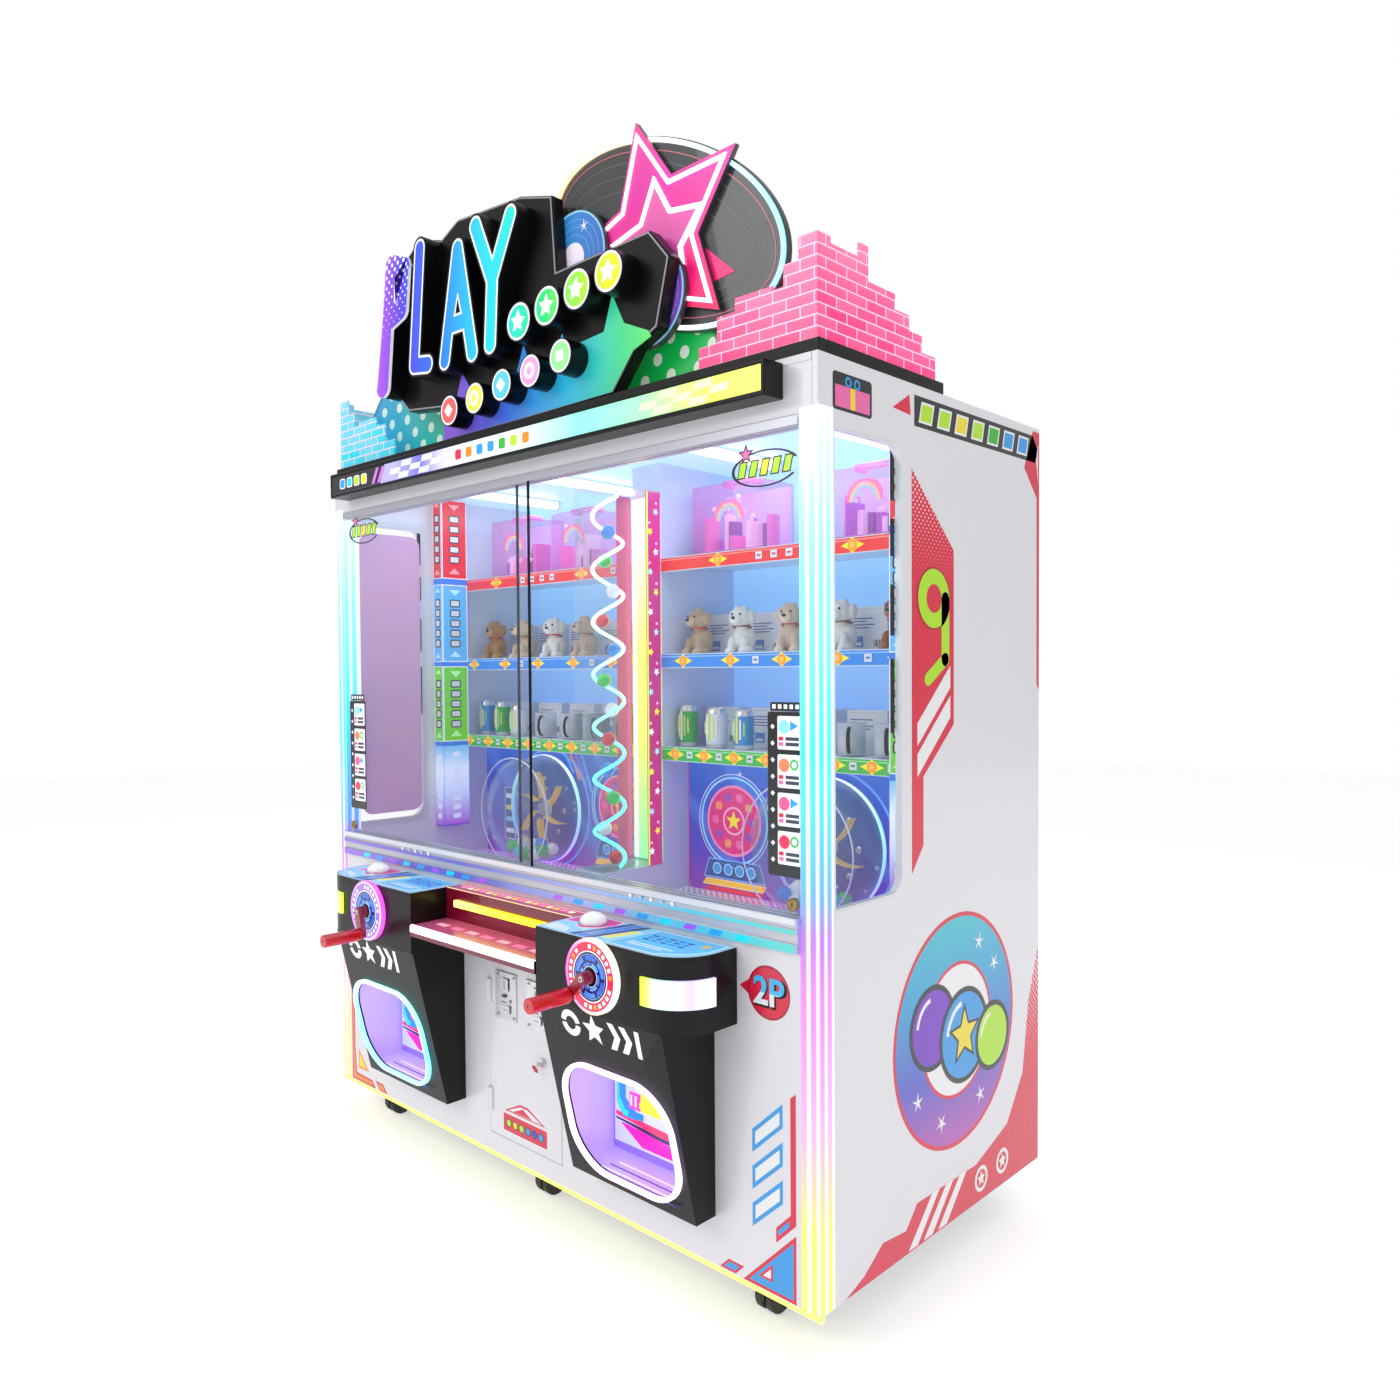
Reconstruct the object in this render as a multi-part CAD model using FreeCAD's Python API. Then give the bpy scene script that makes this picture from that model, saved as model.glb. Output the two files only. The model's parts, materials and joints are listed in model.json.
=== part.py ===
import FreeCAD, Part
import math
import os

# Two-player crank-and-ball prize cabinet. Millimetres, +Z up, the front faces -Y.
# The origin is on the floor, in the middle of the whole object's box.
# Depths (y) are measured back from the cabinet's front face and moved by V() to the object's frame.

# cabinet shell
cab_w = 1900.0
cab_d = 945.0
cab_h = 1900.0
ground_gap = 95.0
panel_t = 15.0
post = 48.0
fit_gap = 0.5
touch_gap = 0.3

# front zones, heights above the floor
front_top = 812.0
rail_top = 884.0
header_bottom = 1879.0
post_top = 1890.5

# sliding front panes
pane_t = 6.0
track_front = 1.0
track_rear = 19.0
groove_clear = 1.0
groove_deep = 12.0
pane_lap = 35.0
pane_travel_stop = 900.0

# side windows
window_y0 = 48.5
window_y1 = 297.0
window_z0 = 895.0
window_z1 = 1855.0
window_r = 45.0
window_t = 5.0
window_lap = 16.0

# display interior
floor_z = 750.0
floor_t = 15.0
liner_y = 760.0
liner_t = 8.0
ceiling_z = 1965.0
shelf_y = 452.0
shelf_t = 12.0
shelf_edge_t = 6.0
shelf_edge_h = 40.0
shelf_tops = (1692.0, 1422.0, 1162.0)
divider_w = 118.0
case_y0 = 227.0
case_z0 = 832.0
case_z1 = 1880.0
case_wall = 4.0
spiral_r = 42.0
spiral_tube_r = 5.5
spiral_pitch = 145.0
ball_r = 20.0

# ball drums
drum_x = 575.0
drum_z = 928.0
drum_r = 170.0
drum_wall = 4.0
drum_y0 = 400.0
drum_y1 = 536.0
drum_shaft_r = 10.0
backboard_y = 555.0
backboard_t = 6.0

# player consoles
pod_in = 265.0
pod_out = 734.0
box_out = 669.0
pod_top = 789.0
pod_bottom = 635.0
pod_depth = 165.0
pod_corner_r = 100.0
box_bottom = 203.0
box_foot_depth = 60.0
pod_wall = 5.0
deck_t = 8.0
dial_x = 472.0
dial_z = 722.0
dial_r = 82.0
dial_t = 14.0
mouth_x = 478.0
mouth_w = 340.0
mouth_h = 263.0
mouth_z = 365.0
mouth_r = 98.0
ring_out = 8.0
ring_lip = 10.0
chute_lap = 4.0
chute_back = 235.0
chute_wall = 3.0
flap_y = 30.0
flap_t = 4.0
flap_pin_r = 5.0
button_x = {"right": 348.0, "left": 608.0}
button_y = -62.0
button_r = 31.0
button_hole_r = 15.0
button_travel = 4.0

# crank
crank_r = 60.0
crank_shaft_r = 8.0
crank_arm_w = 26.0
crank_arm_t = 14.0
crank_arm_y = -200.0
grip_r = 17.0
grip_len = 106.0
grip_pin_r = 5.0
crank_angles = {"left": 285.0, "right": 225.0}
run_clear = 0.05

# service door
door_x = 149.0
door_z0 = 148.0
door_z1 = 620.0
door_gap = 2.0
lock_x = 78.0
lock_z = 387.0
hinge_r = 4.2
hinge_x = -door_x - 1.0
hinge_y = -hinge_r - touch_gap

# casters
caster_xs = (-760.0, 0.0, 760.0)
caster_ys = (60.0, 872.0)
wheel_r = 37.5
wheel_w = 18.0
wheel_gap = 12.0
caster_trail = 26.0
stem_r = 6.0
axle_r = 4.0

# topper
trim_h = 27.0
sign_front = -20.0
sign_y = 30.0
disc_y = 68.0
star_y = 82.0
record_y = 96.0
dot_y = 112.0
board_t = 12.0
stroke_r = 32.0

# rear
inlet_x = 700.0
inlet_z = 220.0

base_z = ground_gap
top_z = ground_gap + cab_h
half = cab_w / 2
inner = half - panel_t
post_in = half - post
crank_reach = -(crank_arm_y - crank_arm_t / 2 - grip_len)
y_front = (crank_reach - cab_d) / 2
pane_h0 = rail_top - groove_deep + touch_gap
pane_h1 = header_bottom - 8.0
chute_x0 = mouth_x - mouth_w / 2 - chute_lap
chute_x1 = mouth_x + mouth_w / 2 + chute_lap
chute_z0 = mouth_z - mouth_h / 2 - chute_lap
chute_z1 = mouth_z + mouth_h / 2 + chute_lap


def V(x, y, z):
    return FreeCAD.Vector(x, y + y_front, z)


def D(x, y, z):
    return FreeCAD.Vector(x, y, z)


def block(x0, x1, y0, y1, z0, z1):
    return Part.makeBox(x1 - x0, y1 - y0, z1 - z0, V(x0, y0, z0))


def rod(r, x, y0, y1, z):
    return Part.makeCylinder(r, y1 - y0, V(x, y0, z), D(0, 1, 0))


def pole(r, x, y, z0, z1):
    return Part.makeCylinder(r, z1 - z0, V(x, y, z0), D(0, 0, 1))


def plate(points, y0, y1):
    """A closed outline in x and z, drawn out in depth."""
    wire = Part.makePolygon([V(x, y0, z) for x, z in points] + [V(points[0][0], y0, points[0][1])])
    return Part.Face(wire).extrude(D(0, y1 - y0, 0))


def round_plate(cx, cz, w, h, r, y0, y1):
    """A plate with round corners, centred on cx, cz."""
    solid = block(cx - w / 2, cx + w / 2, y0, y1, cz - h / 2, cz + h / 2)
    long_edges = [e for e in solid.Edges if abs(e.tangentAt(e.FirstParameter).y) > 0.9]
    return solid.makeFillet(r, long_edges)


def turned(shape, centre, axis, angle):
    out = shape.copy()
    out.rotate(centre, axis, angle)
    return out


def mirrored(shape):
    return shape.mirror(D(0, 0, 0), D(1, 0, 0))


def both(shape):
    return [shape, mirrored(shape)]


def side(shape, name):
    return shape if name == "right" else mirrored(shape)


def save(name, *shapes):
    flat = []
    for s in shapes:
        flat += s if isinstance(s, list) else [s]
    solids = [one for s in flat for one in s.Solids]
    out = solids[0] if len(solids) == 1 else Part.makeCompound(solids)
    out.exportStep(f"parts/{name}.step")


# ---------------------------------------------------------------- shell

def base_frame():
    body = block(-inner, inner, panel_t, cab_d - panel_t, base_z, base_z + 20)
    for x in caster_xs:
        for y in caster_ys:
            body = body.fuse(block(x - 34, x + 34, y - 30, y + 30, base_z - 4, base_z))
    for x in caster_xs:
        for y in caster_ys:
            body = body.cut(pole(stem_r + run_clear, x, y, base_z - 6, base_z + 14))
    for notch in both(post_room()):
        body = body.cut(notch)
    return body.removeSplitter()


def post_room():
    """Space kept free for a corner post."""
    return block(post_in - fit_gap, half + 1, -1, post + fit_gap, base_z - 1, top_z)


def base_light_strip():
    return block(-half, half, 1, 13, base_z - 11, base_z)


def mouth_cut(y0, y1, grow=0.0):
    return round_plate(mouth_x, mouth_z, mouth_w + 2 * grow, mouth_h + 2 * grow, mouth_r + grow, y0, y1)


def front_panel():
    x = post_in - fit_gap
    body = block(-x, x, 0, panel_t, base_z, front_top)
    body = body.cut(block(-door_x - door_gap, door_x + door_gap, -1, panel_t + 1,
                          door_z0 - door_gap, door_z1 + door_gap))
    for hole in both(block(chute_x0 - 4, chute_x1 + 4, -1, panel_t + 1, chute_z0 - 4, chute_z1 + 4)):
        body = body.cut(hole)
    return body


def side_panel():
    lower = block(inner, half, post + fit_gap, cab_d, base_z, top_z)
    corner = block(inner, half, 0, post + 2, post_top + fit_gap, top_z)
    body = lower.fuse(corner)
    hole = block(inner - 1, half + 1, window_y0 - 80, window_y1, window_z0, window_z1)
    edges = [e for e in hole.Edges if abs(e.tangentAt(e.FirstParameter).x) > 0.9
             and e.CenterOfMass.y > window_y1 + y_front - 1]
    hole = hole.makeFillet(window_r, edges)
    return body.cut(hole).removeSplitter()


def corner_post():
    body = block(post_in, half, 0, post, base_z, post_top)
    edges = [e for e in body.Edges if abs(e.tangentAt(e.FirstParameter).z) > 0.9
             and e.CenterOfMass.x > half - 1 and e.CenterOfMass.y < y_front + 1]
    return body.makeFillet(14, edges)


def side_window():
    return block(inner - window_t, inner, post + 1, window_y1 + window_lap,
                 window_z0 - window_lap, window_z1 + window_lap)


def back_panel():
    x = inner - fit_gap
    body = block(-x, x, cab_d - panel_t, cab_d, base_z, top_z - panel_t)
    for bank in (-450, 450):
        for row in range(8):
            z = 300 + row * 26
            body = body.cut(block(bank - 110, bank + 110, cab_d - panel_t - 1, cab_d + 1, z, z + 8))
    return body.cut(block(inlet_x - 25, inlet_x + 25, cab_d - panel_t - 1, cab_d + 1, inlet_z - 16, inlet_z + 16))


def power_inlet():
    body = block(inlet_x - 24.7, inlet_x + 24.7, cab_d - 40, cab_d, inlet_z - 15.7, inlet_z + 15.7)
    socket = round_plate(inlet_x, inlet_z, 26, 18, 4, cab_d - 18, cab_d + 1)
    return body.cut(socket)


def roof_and_header():
    roof = block(-inner + fit_gap, inner - fit_gap, 0, cab_d, top_z - panel_t, top_z)
    x = post_in - fit_gap
    low = block(-x, x, 0, panel_t, header_bottom, post_top + 2)
    high = block(-inner + fit_gap, inner - fit_gap, 0, panel_t, post_top + fit_gap, top_z - panel_t)
    return [roof, low.fuse(high).removeSplitter()]


def window_rails():
    x = post_in - fit_gap
    low = block(-x, x, -12, 38, front_top, rail_top)
    low = low.cut(block(-x - 1, x + 1, -13, -8, front_top + 20, front_top + 38))
    low = low.cut(block(-x - 1, x + 1, -13, -9, front_top + 50, front_top + 56))
    high = block(-x, x, -2, 38, header_bottom - 20, header_bottom)
    for y in (track_front, track_rear):
        y0 = y - groove_clear
        y1 = y + pane_t + groove_clear
        low = low.cut(block(-x - 1, x + 1, y0, y1, rail_top - groove_deep, rail_top + 1))
        high = high.cut(block(-x - 1, x + 1, y0, y1, header_bottom - 21, header_bottom - 6))
    return [low, high]


def glass_pane(name):
    """A pane with its cam lock near the outer lower corner."""
    y = track_front if name == "left" else track_rear
    reach = pane_travel_stop - 1
    x0, x1 = (-reach, pane_lap) if name == "left" else (-pane_lap, reach)
    lock_x = -851.0 if name == "left" else 873.0
    lock_z = 905.0
    pane = block(x0, x1, y, y + pane_t, pane_h0, pane_h1).cut(rod(9.5, lock_x, y - 1, y + pane_t + 1, lock_z))
    head = rod(13, lock_x, y - 8, y, lock_z)
    barrel = rod(9, lock_x, y - 1, y + pane_t + 1, lock_z)
    nut = rod(12, lock_x, y + pane_t, y + pane_t + 4, lock_z)
    return [pane, head.fuse(barrel).fuse(nut).removeSplitter()]


# ---------------------------------------------------------------- display interior

def display_floor():
    body = block(-inner, inner, panel_t + fit_gap, liner_y, floor_z - floor_t, floor_z)
    for notch in both(post_room()):
        body = body.cut(notch)
    return body


def inner_liner():
    x = inner
    back = block(-x, x, liner_y, liner_y + liner_t, floor_z - floor_t, ceiling_z + liner_t)
    ceiling = block(-x, x, 39, liner_y, ceiling_z, ceiling_z + liner_t)
    return [back, ceiling]


def divider_wall():
    """The base block under the ball column and the wall behind it, hollow and open to the rear."""
    h = divider_w / 2
    low = block(-h, h, case_y0, liner_y, floor_z, case_z0)
    high = block(-h, h, shelf_y, liner_y, case_z0 - 1, ceiling_z)
    body = low.fuse(high)
    body = body.cut(block(-h + 12, h - 12, shelf_y + 12, liner_y + 1, floor_z + 12, ceiling_z - 12))
    return body.cut(block(-h + 12, h - 12, case_y0 + 12, shelf_y + 13, floor_z + 12, case_z0 - 12))


def divider_case():
    h = divider_w / 2
    outer = block(-h, h, case_y0, shelf_y - touch_gap, case_z0, case_z1)
    hollow = block(-h + case_wall, h - case_wall, case_y0 + case_wall, shelf_y + 1, case_z0 + case_wall,
                   case_z1 - case_wall)
    return outer.cut(hollow)


column_y = case_y0 + 75.0
spiral_z0 = case_z0 + case_wall + spiral_tube_r + touch_gap
spiral_turns = 7
ball_turn = 16.5
row_step = 43.0


def column_spiral():
    """LED tube wound round the ball column, one solid for each turn."""
    turns = []
    for n in range(spiral_turns):
        helix = Part.makeHelix(spiral_pitch, spiral_pitch, spiral_r)
        disc = Part.Wire(Part.makeCircle(spiral_tube_r, D(spiral_r, 0, 0), D(0, 1, 0)))
        tube = Part.Wire(helix.Edges).makePipeShell([disc], True, True)
        tube.translate(V(0, column_y, spiral_z0 + n * spiral_pitch))
        turns.append(tube)
    return turns


def light_tubes():
    tubes = column_spiral()
    for x in (-680, -300, 300, 680):
        tubes.append(Part.makeCylinder(13, 560, V(x, 110, ceiling_z - 13), D(0, 1, 0)))
    return tubes


def shelf_boards():
    out = []
    for z in shelf_tops:
        out += both(block(divider_w / 2 + fit_gap, inner, shelf_y, liner_y, z - shelf_t, z))
    return out


def shelf_edges():
    out = []
    for z in shelf_tops:
        x0 = divider_w / 2 + 3
        out += both(block(x0, inner, shelf_y - shelf_edge_t, shelf_y, z - shelf_edge_h + 4, z + 4))
    return out


def printed_boards():
    """Drum backboards under the lowest shelf, and the printed strips behind the ball column."""
    x0 = divider_w / 2 + fit_gap
    board = block(x0, inner, backboard_y, backboard_y + backboard_t, floor_z, shelf_tops[2] - shelf_t)
    board = board.cut(rod(drum_shaft_r + 4, drum_x, backboard_y - 1, backboard_y + 10, drum_z))
    strip = block(divider_w / 2, divider_w / 2 + 2.5, shelf_y - 62, shelf_y - shelf_edge_t - 1, case_z0, case_z1)
    return both(board) + both(strip)


def side_light_boxes():
    return both(block(inner - 50, inner, 345, shelf_y - shelf_edge_t - 0.5, 858, ceiling_z))


def drum(name):
    """Clear drum, a shell of revolution with a domed front, with its hub and shaft."""
    w = drum_wall
    length = drum_y1 - drum_y0
    outer = [(0, -26), (drum_r * 0.55, -19), (drum_r * 0.86, 0), (drum_r, 26), (drum_r, length), (0, length)]
    inner_pts = [(0, w - 26), (drum_r * 0.53, w - 19), (drum_r * 0.84, w), (drum_r - w, 26 + w),
                 (drum_r - w, length - w), (0, length - w)]

    def spun(pts):
        line = [V(drum_x + r, drum_y0 + y, drum_z) for r, y in pts]
        face = Part.Face(Part.makePolygon(line + [line[0]]))
        return face.revolve(V(drum_x, drum_y0, drum_z), D(0, 1, 0), 360)

    body = spun(outer).cut(spun(inner_pts))
    body = body.fuse(rod(34, drum_x, drum_y1 - w, drum_y1 + 10, drum_z))
    body = body.fuse(rod(drum_shaft_r, drum_x, drum_y1, backboard_y + backboard_t + 50, drum_z))
    rim = rod(drum_r + 5, drum_x, drum_y1 - 14, drum_y1, drum_z).cut(
        rod(drum_r + touch_gap, drum_x, drum_y1 - 15, drum_y1 + 1, drum_z))
    return side(body.removeSplitter(), name), side(rim, name)


def drive_units():
    """A gearmotor behind each backboard, and a crank encoder block inside each console."""
    y0 = backboard_y + backboard_t
    motor = block(drum_x - 55, drum_x + 55, y0, y0 + 70, drum_z - 55, drum_z + 55)
    motor = motor.fuse(rod(38, drum_x, y0 + 70, y0 + 150, drum_z))
    motor = motor.cut(rod(drum_shaft_r + run_clear, drum_x, y0 - 1, y0 + 56, drum_z))
    block_y = -100
    coder = block(dial_x - 40, dial_x + 40, block_y, -0.1, dial_z - 40, dial_z + 40)
    coder = coder.cut(rod(crank_shaft_r + run_clear, dial_x, block_y - 1, -30, dial_z))
    return both(motor) + both(coder)


def game_balls():
    """The balls of the column and the balls lying in the two drums."""
    out = []
    lean = spiral_r - spiral_tube_r - ball_r - touch_gap
    for n in range(12):
        z = case_z0 + case_wall + ball_r + 6 + n * 82
        a = 2 * math.pi * (z - spiral_z0) / spiral_pitch
        out.append(Part.makeSphere(ball_r, V(lean * math.cos(a), column_y + lean * math.sin(a), z)))
    rest = drum_r - drum_wall - ball_r - 2 * touch_gap
    row_y = drum_y0 + 53
    for k in range(5):
        a = math.radians(270 + (k - 2) * ball_turn)
        x = drum_x + rest * math.cos(a)
        z = drum_z + rest * math.sin(a)
        out += both(Part.makeSphere(ball_r, V(x, row_y, z)))
        out += both(Part.makeSphere(ball_r, V(x, row_y + row_step, z)))
    apart = 2 * ball_r + touch_gap
    for k in (-1.5, 0, 1.5):
        a = math.radians(270 + k * ball_turn)
        half_turn = math.radians(ball_turn / 2 if k else 0)
        flat = math.hypot(rest * math.sin(half_turn), row_step / 2)
        r = rest * math.cos(half_turn) - math.sqrt(apart ** 2 - flat ** 2)
        centre = V(drum_x + r * math.cos(a), row_y + row_step / 2, drum_z + r * math.sin(a))
        out += both(Part.makeSphere(ball_r, centre))
    return out


# ---------------------------------------------------------------- prizes on the shelves

def prize_boxes():
    """Gift boxes on flat stands on the top shelf, and the white cartons below."""
    out = []
    top = shelf_tops[0]
    for x, w, h in ((240, 250, 205), (690, 190, 190), (-740, 210, 205), (-425, 190, 200)):
        out.append(block(x - w / 2 - 25, x + w / 2 + 25, 500, 690, top, top + 14))
        out.append(block(x - w / 2, x + w / 2, 520, 670, top + 14, top + 14 + h))
    for z, h in ((shelf_tops[1], 118), (shelf_tops[2], 112)):
        for n in range(5):
            x = 150 + n * 165
            out += both(block(x - 62, x + 62, 610, 730, z, z + h))
    return out


def prize_plush():
    """Small sitting dogs, one plain solid each."""
    out = []
    z = shelf_tops[1]
    for x in (123, 285, 455, 620, 785, -850, -690, -530, -370):
        body = Part.makeSphere(40, V(x, 545, z + 40)).fuse(Part.makeSphere(38, V(x, 540, z + 98)))
        body = body.fuse(Part.makeCylinder(30, 60, V(x, 545, z + 20), D(0, 0, 1)))
        body = body.fuse(Part.makeSphere(20, V(x, 508, z + 90)))
        out.append(body.common(block(x - 60, x + 60, 460, 608, z, z + 200)))
    return out


def prize_tins():
    out = []
    z = shelf_tops[2]
    for x, r, h in ((95, 27, 118), (205, 30, 112), (305, 28, 108), (430, 28, 100),
                    (-880, 26, 118), (-790, 26, 115), (-700, 28, 105)):
        out.append(pole(r, x, 520, z, z + h))
    for x in (545, 655, 765, 860, -560, -430, -300, -180):
        out.append(pole(36, x, 525, z, z + 84))
    return out


# ---------------------------------------------------------------- consoles

def console_side_profile(x0, x1, shrink):
    """Side outline of the console's lower box, whose front slopes back towards its foot."""
    s = shrink
    z_top = pod_bottom + 2 + s
    slope = (pod_depth - box_foot_depth) / (pod_bottom + 18 - box_bottom)
    y_top = -box_foot_depth - slope * (z_top - box_bottom) + s
    pts = [(0, z_top), (y_top, z_top), (-box_foot_depth + s, box_bottom + s), (0, box_bottom + s)]
    line = [V(x0, y, z) for y, z in pts]
    return Part.Face(Part.makePolygon(line + [line[0]])).extrude(D(x1 - x0, 0, 0))


def pod_block(s):
    """Upper pod with its round outer corner."""
    body = block(pod_in + s, pod_out - s, -pod_depth + s, 0, pod_bottom + s, pod_top - s)
    edges = [e for e in body.Edges if abs(e.tangentAt(e.FirstParameter).z) > 0.9
             and e.CenterOfMass.x > pod_out - s - 1 and e.CenterOfMass.y < y_front - 1]
    return body.makeFillet(pod_corner_r - s, edges)


def console_pod(name):
    """Hollow black housing of one player's place, open towards the cabinet."""
    outer = console_side_profile(pod_in, box_out, 0).fuse(pod_block(0))
    hollow = console_side_profile(pod_in + pod_wall, box_out - pod_wall, pod_wall).fuse(pod_block(pod_wall))
    hollow = hollow.fuse(block(pod_in + pod_wall, box_out - pod_wall, -10, 1, box_bottom + pod_wall, pod_top - pod_wall))
    body = outer.cut(hollow)
    body = body.cut(mouth_cut(-pod_depth - 10, -20))
    body = body.cut(rod(crank_shaft_r + 3, dial_x, -pod_depth - 20, -pod_depth + 20, dial_z))
    body = body.cut(pole(button_hole_r, button_x[name], button_y, pod_top - 20, pod_top + 10))
    return side(body.removeSplitter(), name)


def console_deck(name):
    body = block(pod_in, pod_out, -pod_depth, -0.5, pod_top, pod_top + deck_t)
    edges = [e for e in body.Edges if abs(e.tangentAt(e.FirstParameter).z) > 0.9
             and e.CenterOfMass.x > pod_out - 1 and e.CenterOfMass.y < y_front - 2]
    body = body.makeFillet(pod_corner_r, edges)
    return side(body.cut(pole(button_hole_r, button_x[name], button_y, pod_top - 20, pod_top + 20)), name)


def arc_lamp():
    """Lamp that wraps the round outer corner of the pod."""
    grown = block(pod_in, pod_out + 8, -pod_depth - 8, 0, dial_z - 32, dial_z + 28)
    edges = [e for e in grown.Edges if abs(e.tangentAt(e.FirstParameter).z) > 0.9
             and e.CenterOfMass.x > pod_out + 7 and e.CenterOfMass.y < y_front - 1]
    grown = grown.makeFillet(pod_corner_r + 8, edges)
    body = grown.cut(pod_block(-touch_gap))
    return body.common(block(pod_out - 115, pod_out + 20, -pod_depth - 20, -72, 0, top_z))


def delivery_ring():
    """Lit ring round the mouth, following the slope of the housing."""
    shell = console_side_profile(pod_in - 50, box_out + 50, -ring_lip)
    shell = shell.cut(console_side_profile(pod_in - 60, box_out + 60, 0))
    ring = mouth_cut(-pod_depth - 40, 0, ring_out).cut(mouth_cut(-pod_depth - 41, 1, -2))
    return shell.common(ring).common(block(0, cab_w, -pod_depth - 40, -4, 0, pod_bottom - 40))


def console_lights():
    bar = block(-215, 215, -66, -56, 752, 770)
    return both(arc_lamp()) + both(delivery_ring()) + [bar]


def delivery_chute():
    """Open-fronted tray tunnel from the housing's mouth back into the cabinet."""
    y0 = -pod_depth + 20
    slope_room = console_side_profile(pod_in - 5, box_out + 5, pod_wall + touch_gap)
    outer = block(chute_x0, chute_x1, y0, chute_back, chute_z0, chute_z1)
    hollow = block(chute_x0 + chute_wall, chute_x1 - chute_wall, y0 - 1, chute_back - chute_wall,
                   chute_z0 + chute_wall, chute_z1 - chute_wall)
    body = outer.cut(hollow)
    keep = slope_room.fuse(block(chute_x0 - 1, chute_x1 + 1, -1, chute_back + 1, chute_z0 - 1, chute_z1 + 1))
    body = body.common(keep)
    drop = block(chute_x0 + 20, chute_x1 - 20, 90, chute_back - 15, chute_z1 - 10, chute_z1 + 10)
    return body.cut(drop).removeSplitter()


def delivery_flap(name):
    """Flap that hangs from a pin across the top of the chute."""
    axis_z = chute_z1 - chute_wall - flap_pin_r - 2
    mid_y = flap_y + flap_t / 2
    x0 = chute_x0 + chute_wall + touch_gap
    long = chute_x1 - chute_x0 - 2 * (chute_wall + touch_gap)
    body = block(x0 + 3, x0 + long - 3, flap_y, flap_y + flap_t, chute_z0 + 8, axis_z)
    roll = Part.makeCylinder(flap_pin_r, long - 6, V(x0 + 3, mid_y, axis_z), D(1, 0, 0))
    pin = Part.makeCylinder(flap_pin_r / 2, long, V(x0, mid_y, axis_z), D(1, 0, 0))
    return side(body.fuse(roll).fuse(pin).removeSplitter(), name)


def dial_plate():
    body = rod(dial_r, dial_x, -pod_depth - dial_t, -pod_depth, dial_z)
    return body.cut(rod(crank_shaft_r + 3, dial_x, -pod_depth - dial_t - 1, -pod_depth + 1, dial_z))


def centre_shelf():
    """The lit shelf between the consoles, with its riser and top strip, bent from one sheet."""
    x = pod_in - 1
    top = block(-x, x, -56, -0.2, pod_top - 2, pod_top + deck_t)
    riser = block(-x, x, -56, -52, 708, pod_top)
    shelf = block(-x, x, -168, -0.2, 708, 714)
    front = block(-x, x, -168, -162, 684, 714)
    return top.fuse(riser).fuse(shelf).fuse(front).removeSplitter()


def crank_arm(name):
    """Shaft, arm and grip pin, made as one casting. Built at the right-hand place, then put on its side."""
    angle = math.radians(crank_angles[name] if name == "right" else 180 - crank_angles[name])
    y0 = crank_arm_y - crank_arm_t / 2
    gx = dial_x + crank_r * math.cos(angle)
    gz = dial_z + crank_r * math.sin(angle)
    shaft = rod(crank_shaft_r, dial_x, crank_arm_y, -32, dial_z)
    collar = rod(15, dial_x, crank_arm_y, -pod_depth - dial_t - 1, dial_z)
    bar = block(dial_x, dial_x + crank_r, y0, y0 + crank_arm_t, dial_z - crank_arm_w / 2, dial_z + crank_arm_w / 2)
    bar = turned(bar, V(dial_x, 0, dial_z), D(0, -1, 0), math.degrees(angle))
    body = shaft.fuse(collar).fuse(bar)
    body = body.fuse(rod(crank_arm_w / 2, dial_x, y0, y0 + crank_arm_t, dial_z))
    body = body.fuse(rod(crank_arm_w / 2, gx, y0, y0 + crank_arm_t, gz))
    body = body.fuse(rod(grip_pin_r, gx, y0 - grip_len + 12, y0, gz))
    grip = rod(grip_r, gx, y0 - grip_len, y0 - touch_gap, gz)
    grip = grip.cut(rod(grip_pin_r + run_clear, gx, y0 - grip_len + 11, y0, gz))
    return side(body.removeSplitter(), name), side(grip, name)


def dome_button(name):
    z = pod_top + deck_t + button_travel + 0.5
    x = button_x[name]
    ball = Part.makeSphere(38, V(x, button_y, z - 15))
    dome = ball.common(block(x - 40, x + 40, button_y - 40, button_y + 40, z, z + 40))
    dome = dome.common(pole(button_r, x, button_y, z, z + 40))
    return side(dome.fuse(pole(button_hole_r - 0.4, x, button_y, z - 40, z)).removeSplitter(), name)


def service_door():
    """Door leaf with its hinge knuckles on the left edge."""
    body = block(-door_x, door_x, 0, panel_t, door_z0, door_z1)
    for x0, x1, z0, z1 in plate_places():
        body = body.cut(block(x0 + 8, x1 - 8, -1, panel_t + 1, z0 + 8, z1 - 8))
    body = body.cut(rod(10, lock_x, -1, panel_t + 1, lock_z))
    for z in (door_z0 + 60, door_z1 - 120):
        body = body.fuse(pole(hinge_r, hinge_x, hinge_y, z, z + 60))
        body = body.fuse(block(hinge_x, hinge_x + 14, hinge_y - 2, 0, z, z + 60))
    return body.removeSplitter()


def plate_places():
    return ((-117, -28, 465, 590), (14, 103, 464, 589))


def coin_acceptors():
    """Two coin mechanisms, each a plate with a slot and a return flap, and the door lock."""
    out = []
    for x0, x1, z0, z1 in plate_places():
        cx = (x0 + x1) / 2
        plate_body = block(x0, x1, -4, 0, z0, z1)
        unit = block(x0 + 9, x1 - 9, 0, 70, z0 + 9, z1 - 9)
        flap = block(cx - 16, cx + 16, -7, -3, z0 + 14, z0 + 46)
        body = plate_body.fuse(unit).fuse(flap)
        body = body.cut(block(cx - 1.5, cx + 1.5, -5, 8, z1 - 48, z1 - 16))
        out.append(body.removeSplitter())
    lock = rod(12, lock_x, -5, 0, lock_z).fuse(rod(9.7, lock_x, -1, 28, lock_z))
    return out + [lock.removeSplitter()]


# ---------------------------------------------------------------- casters

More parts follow.
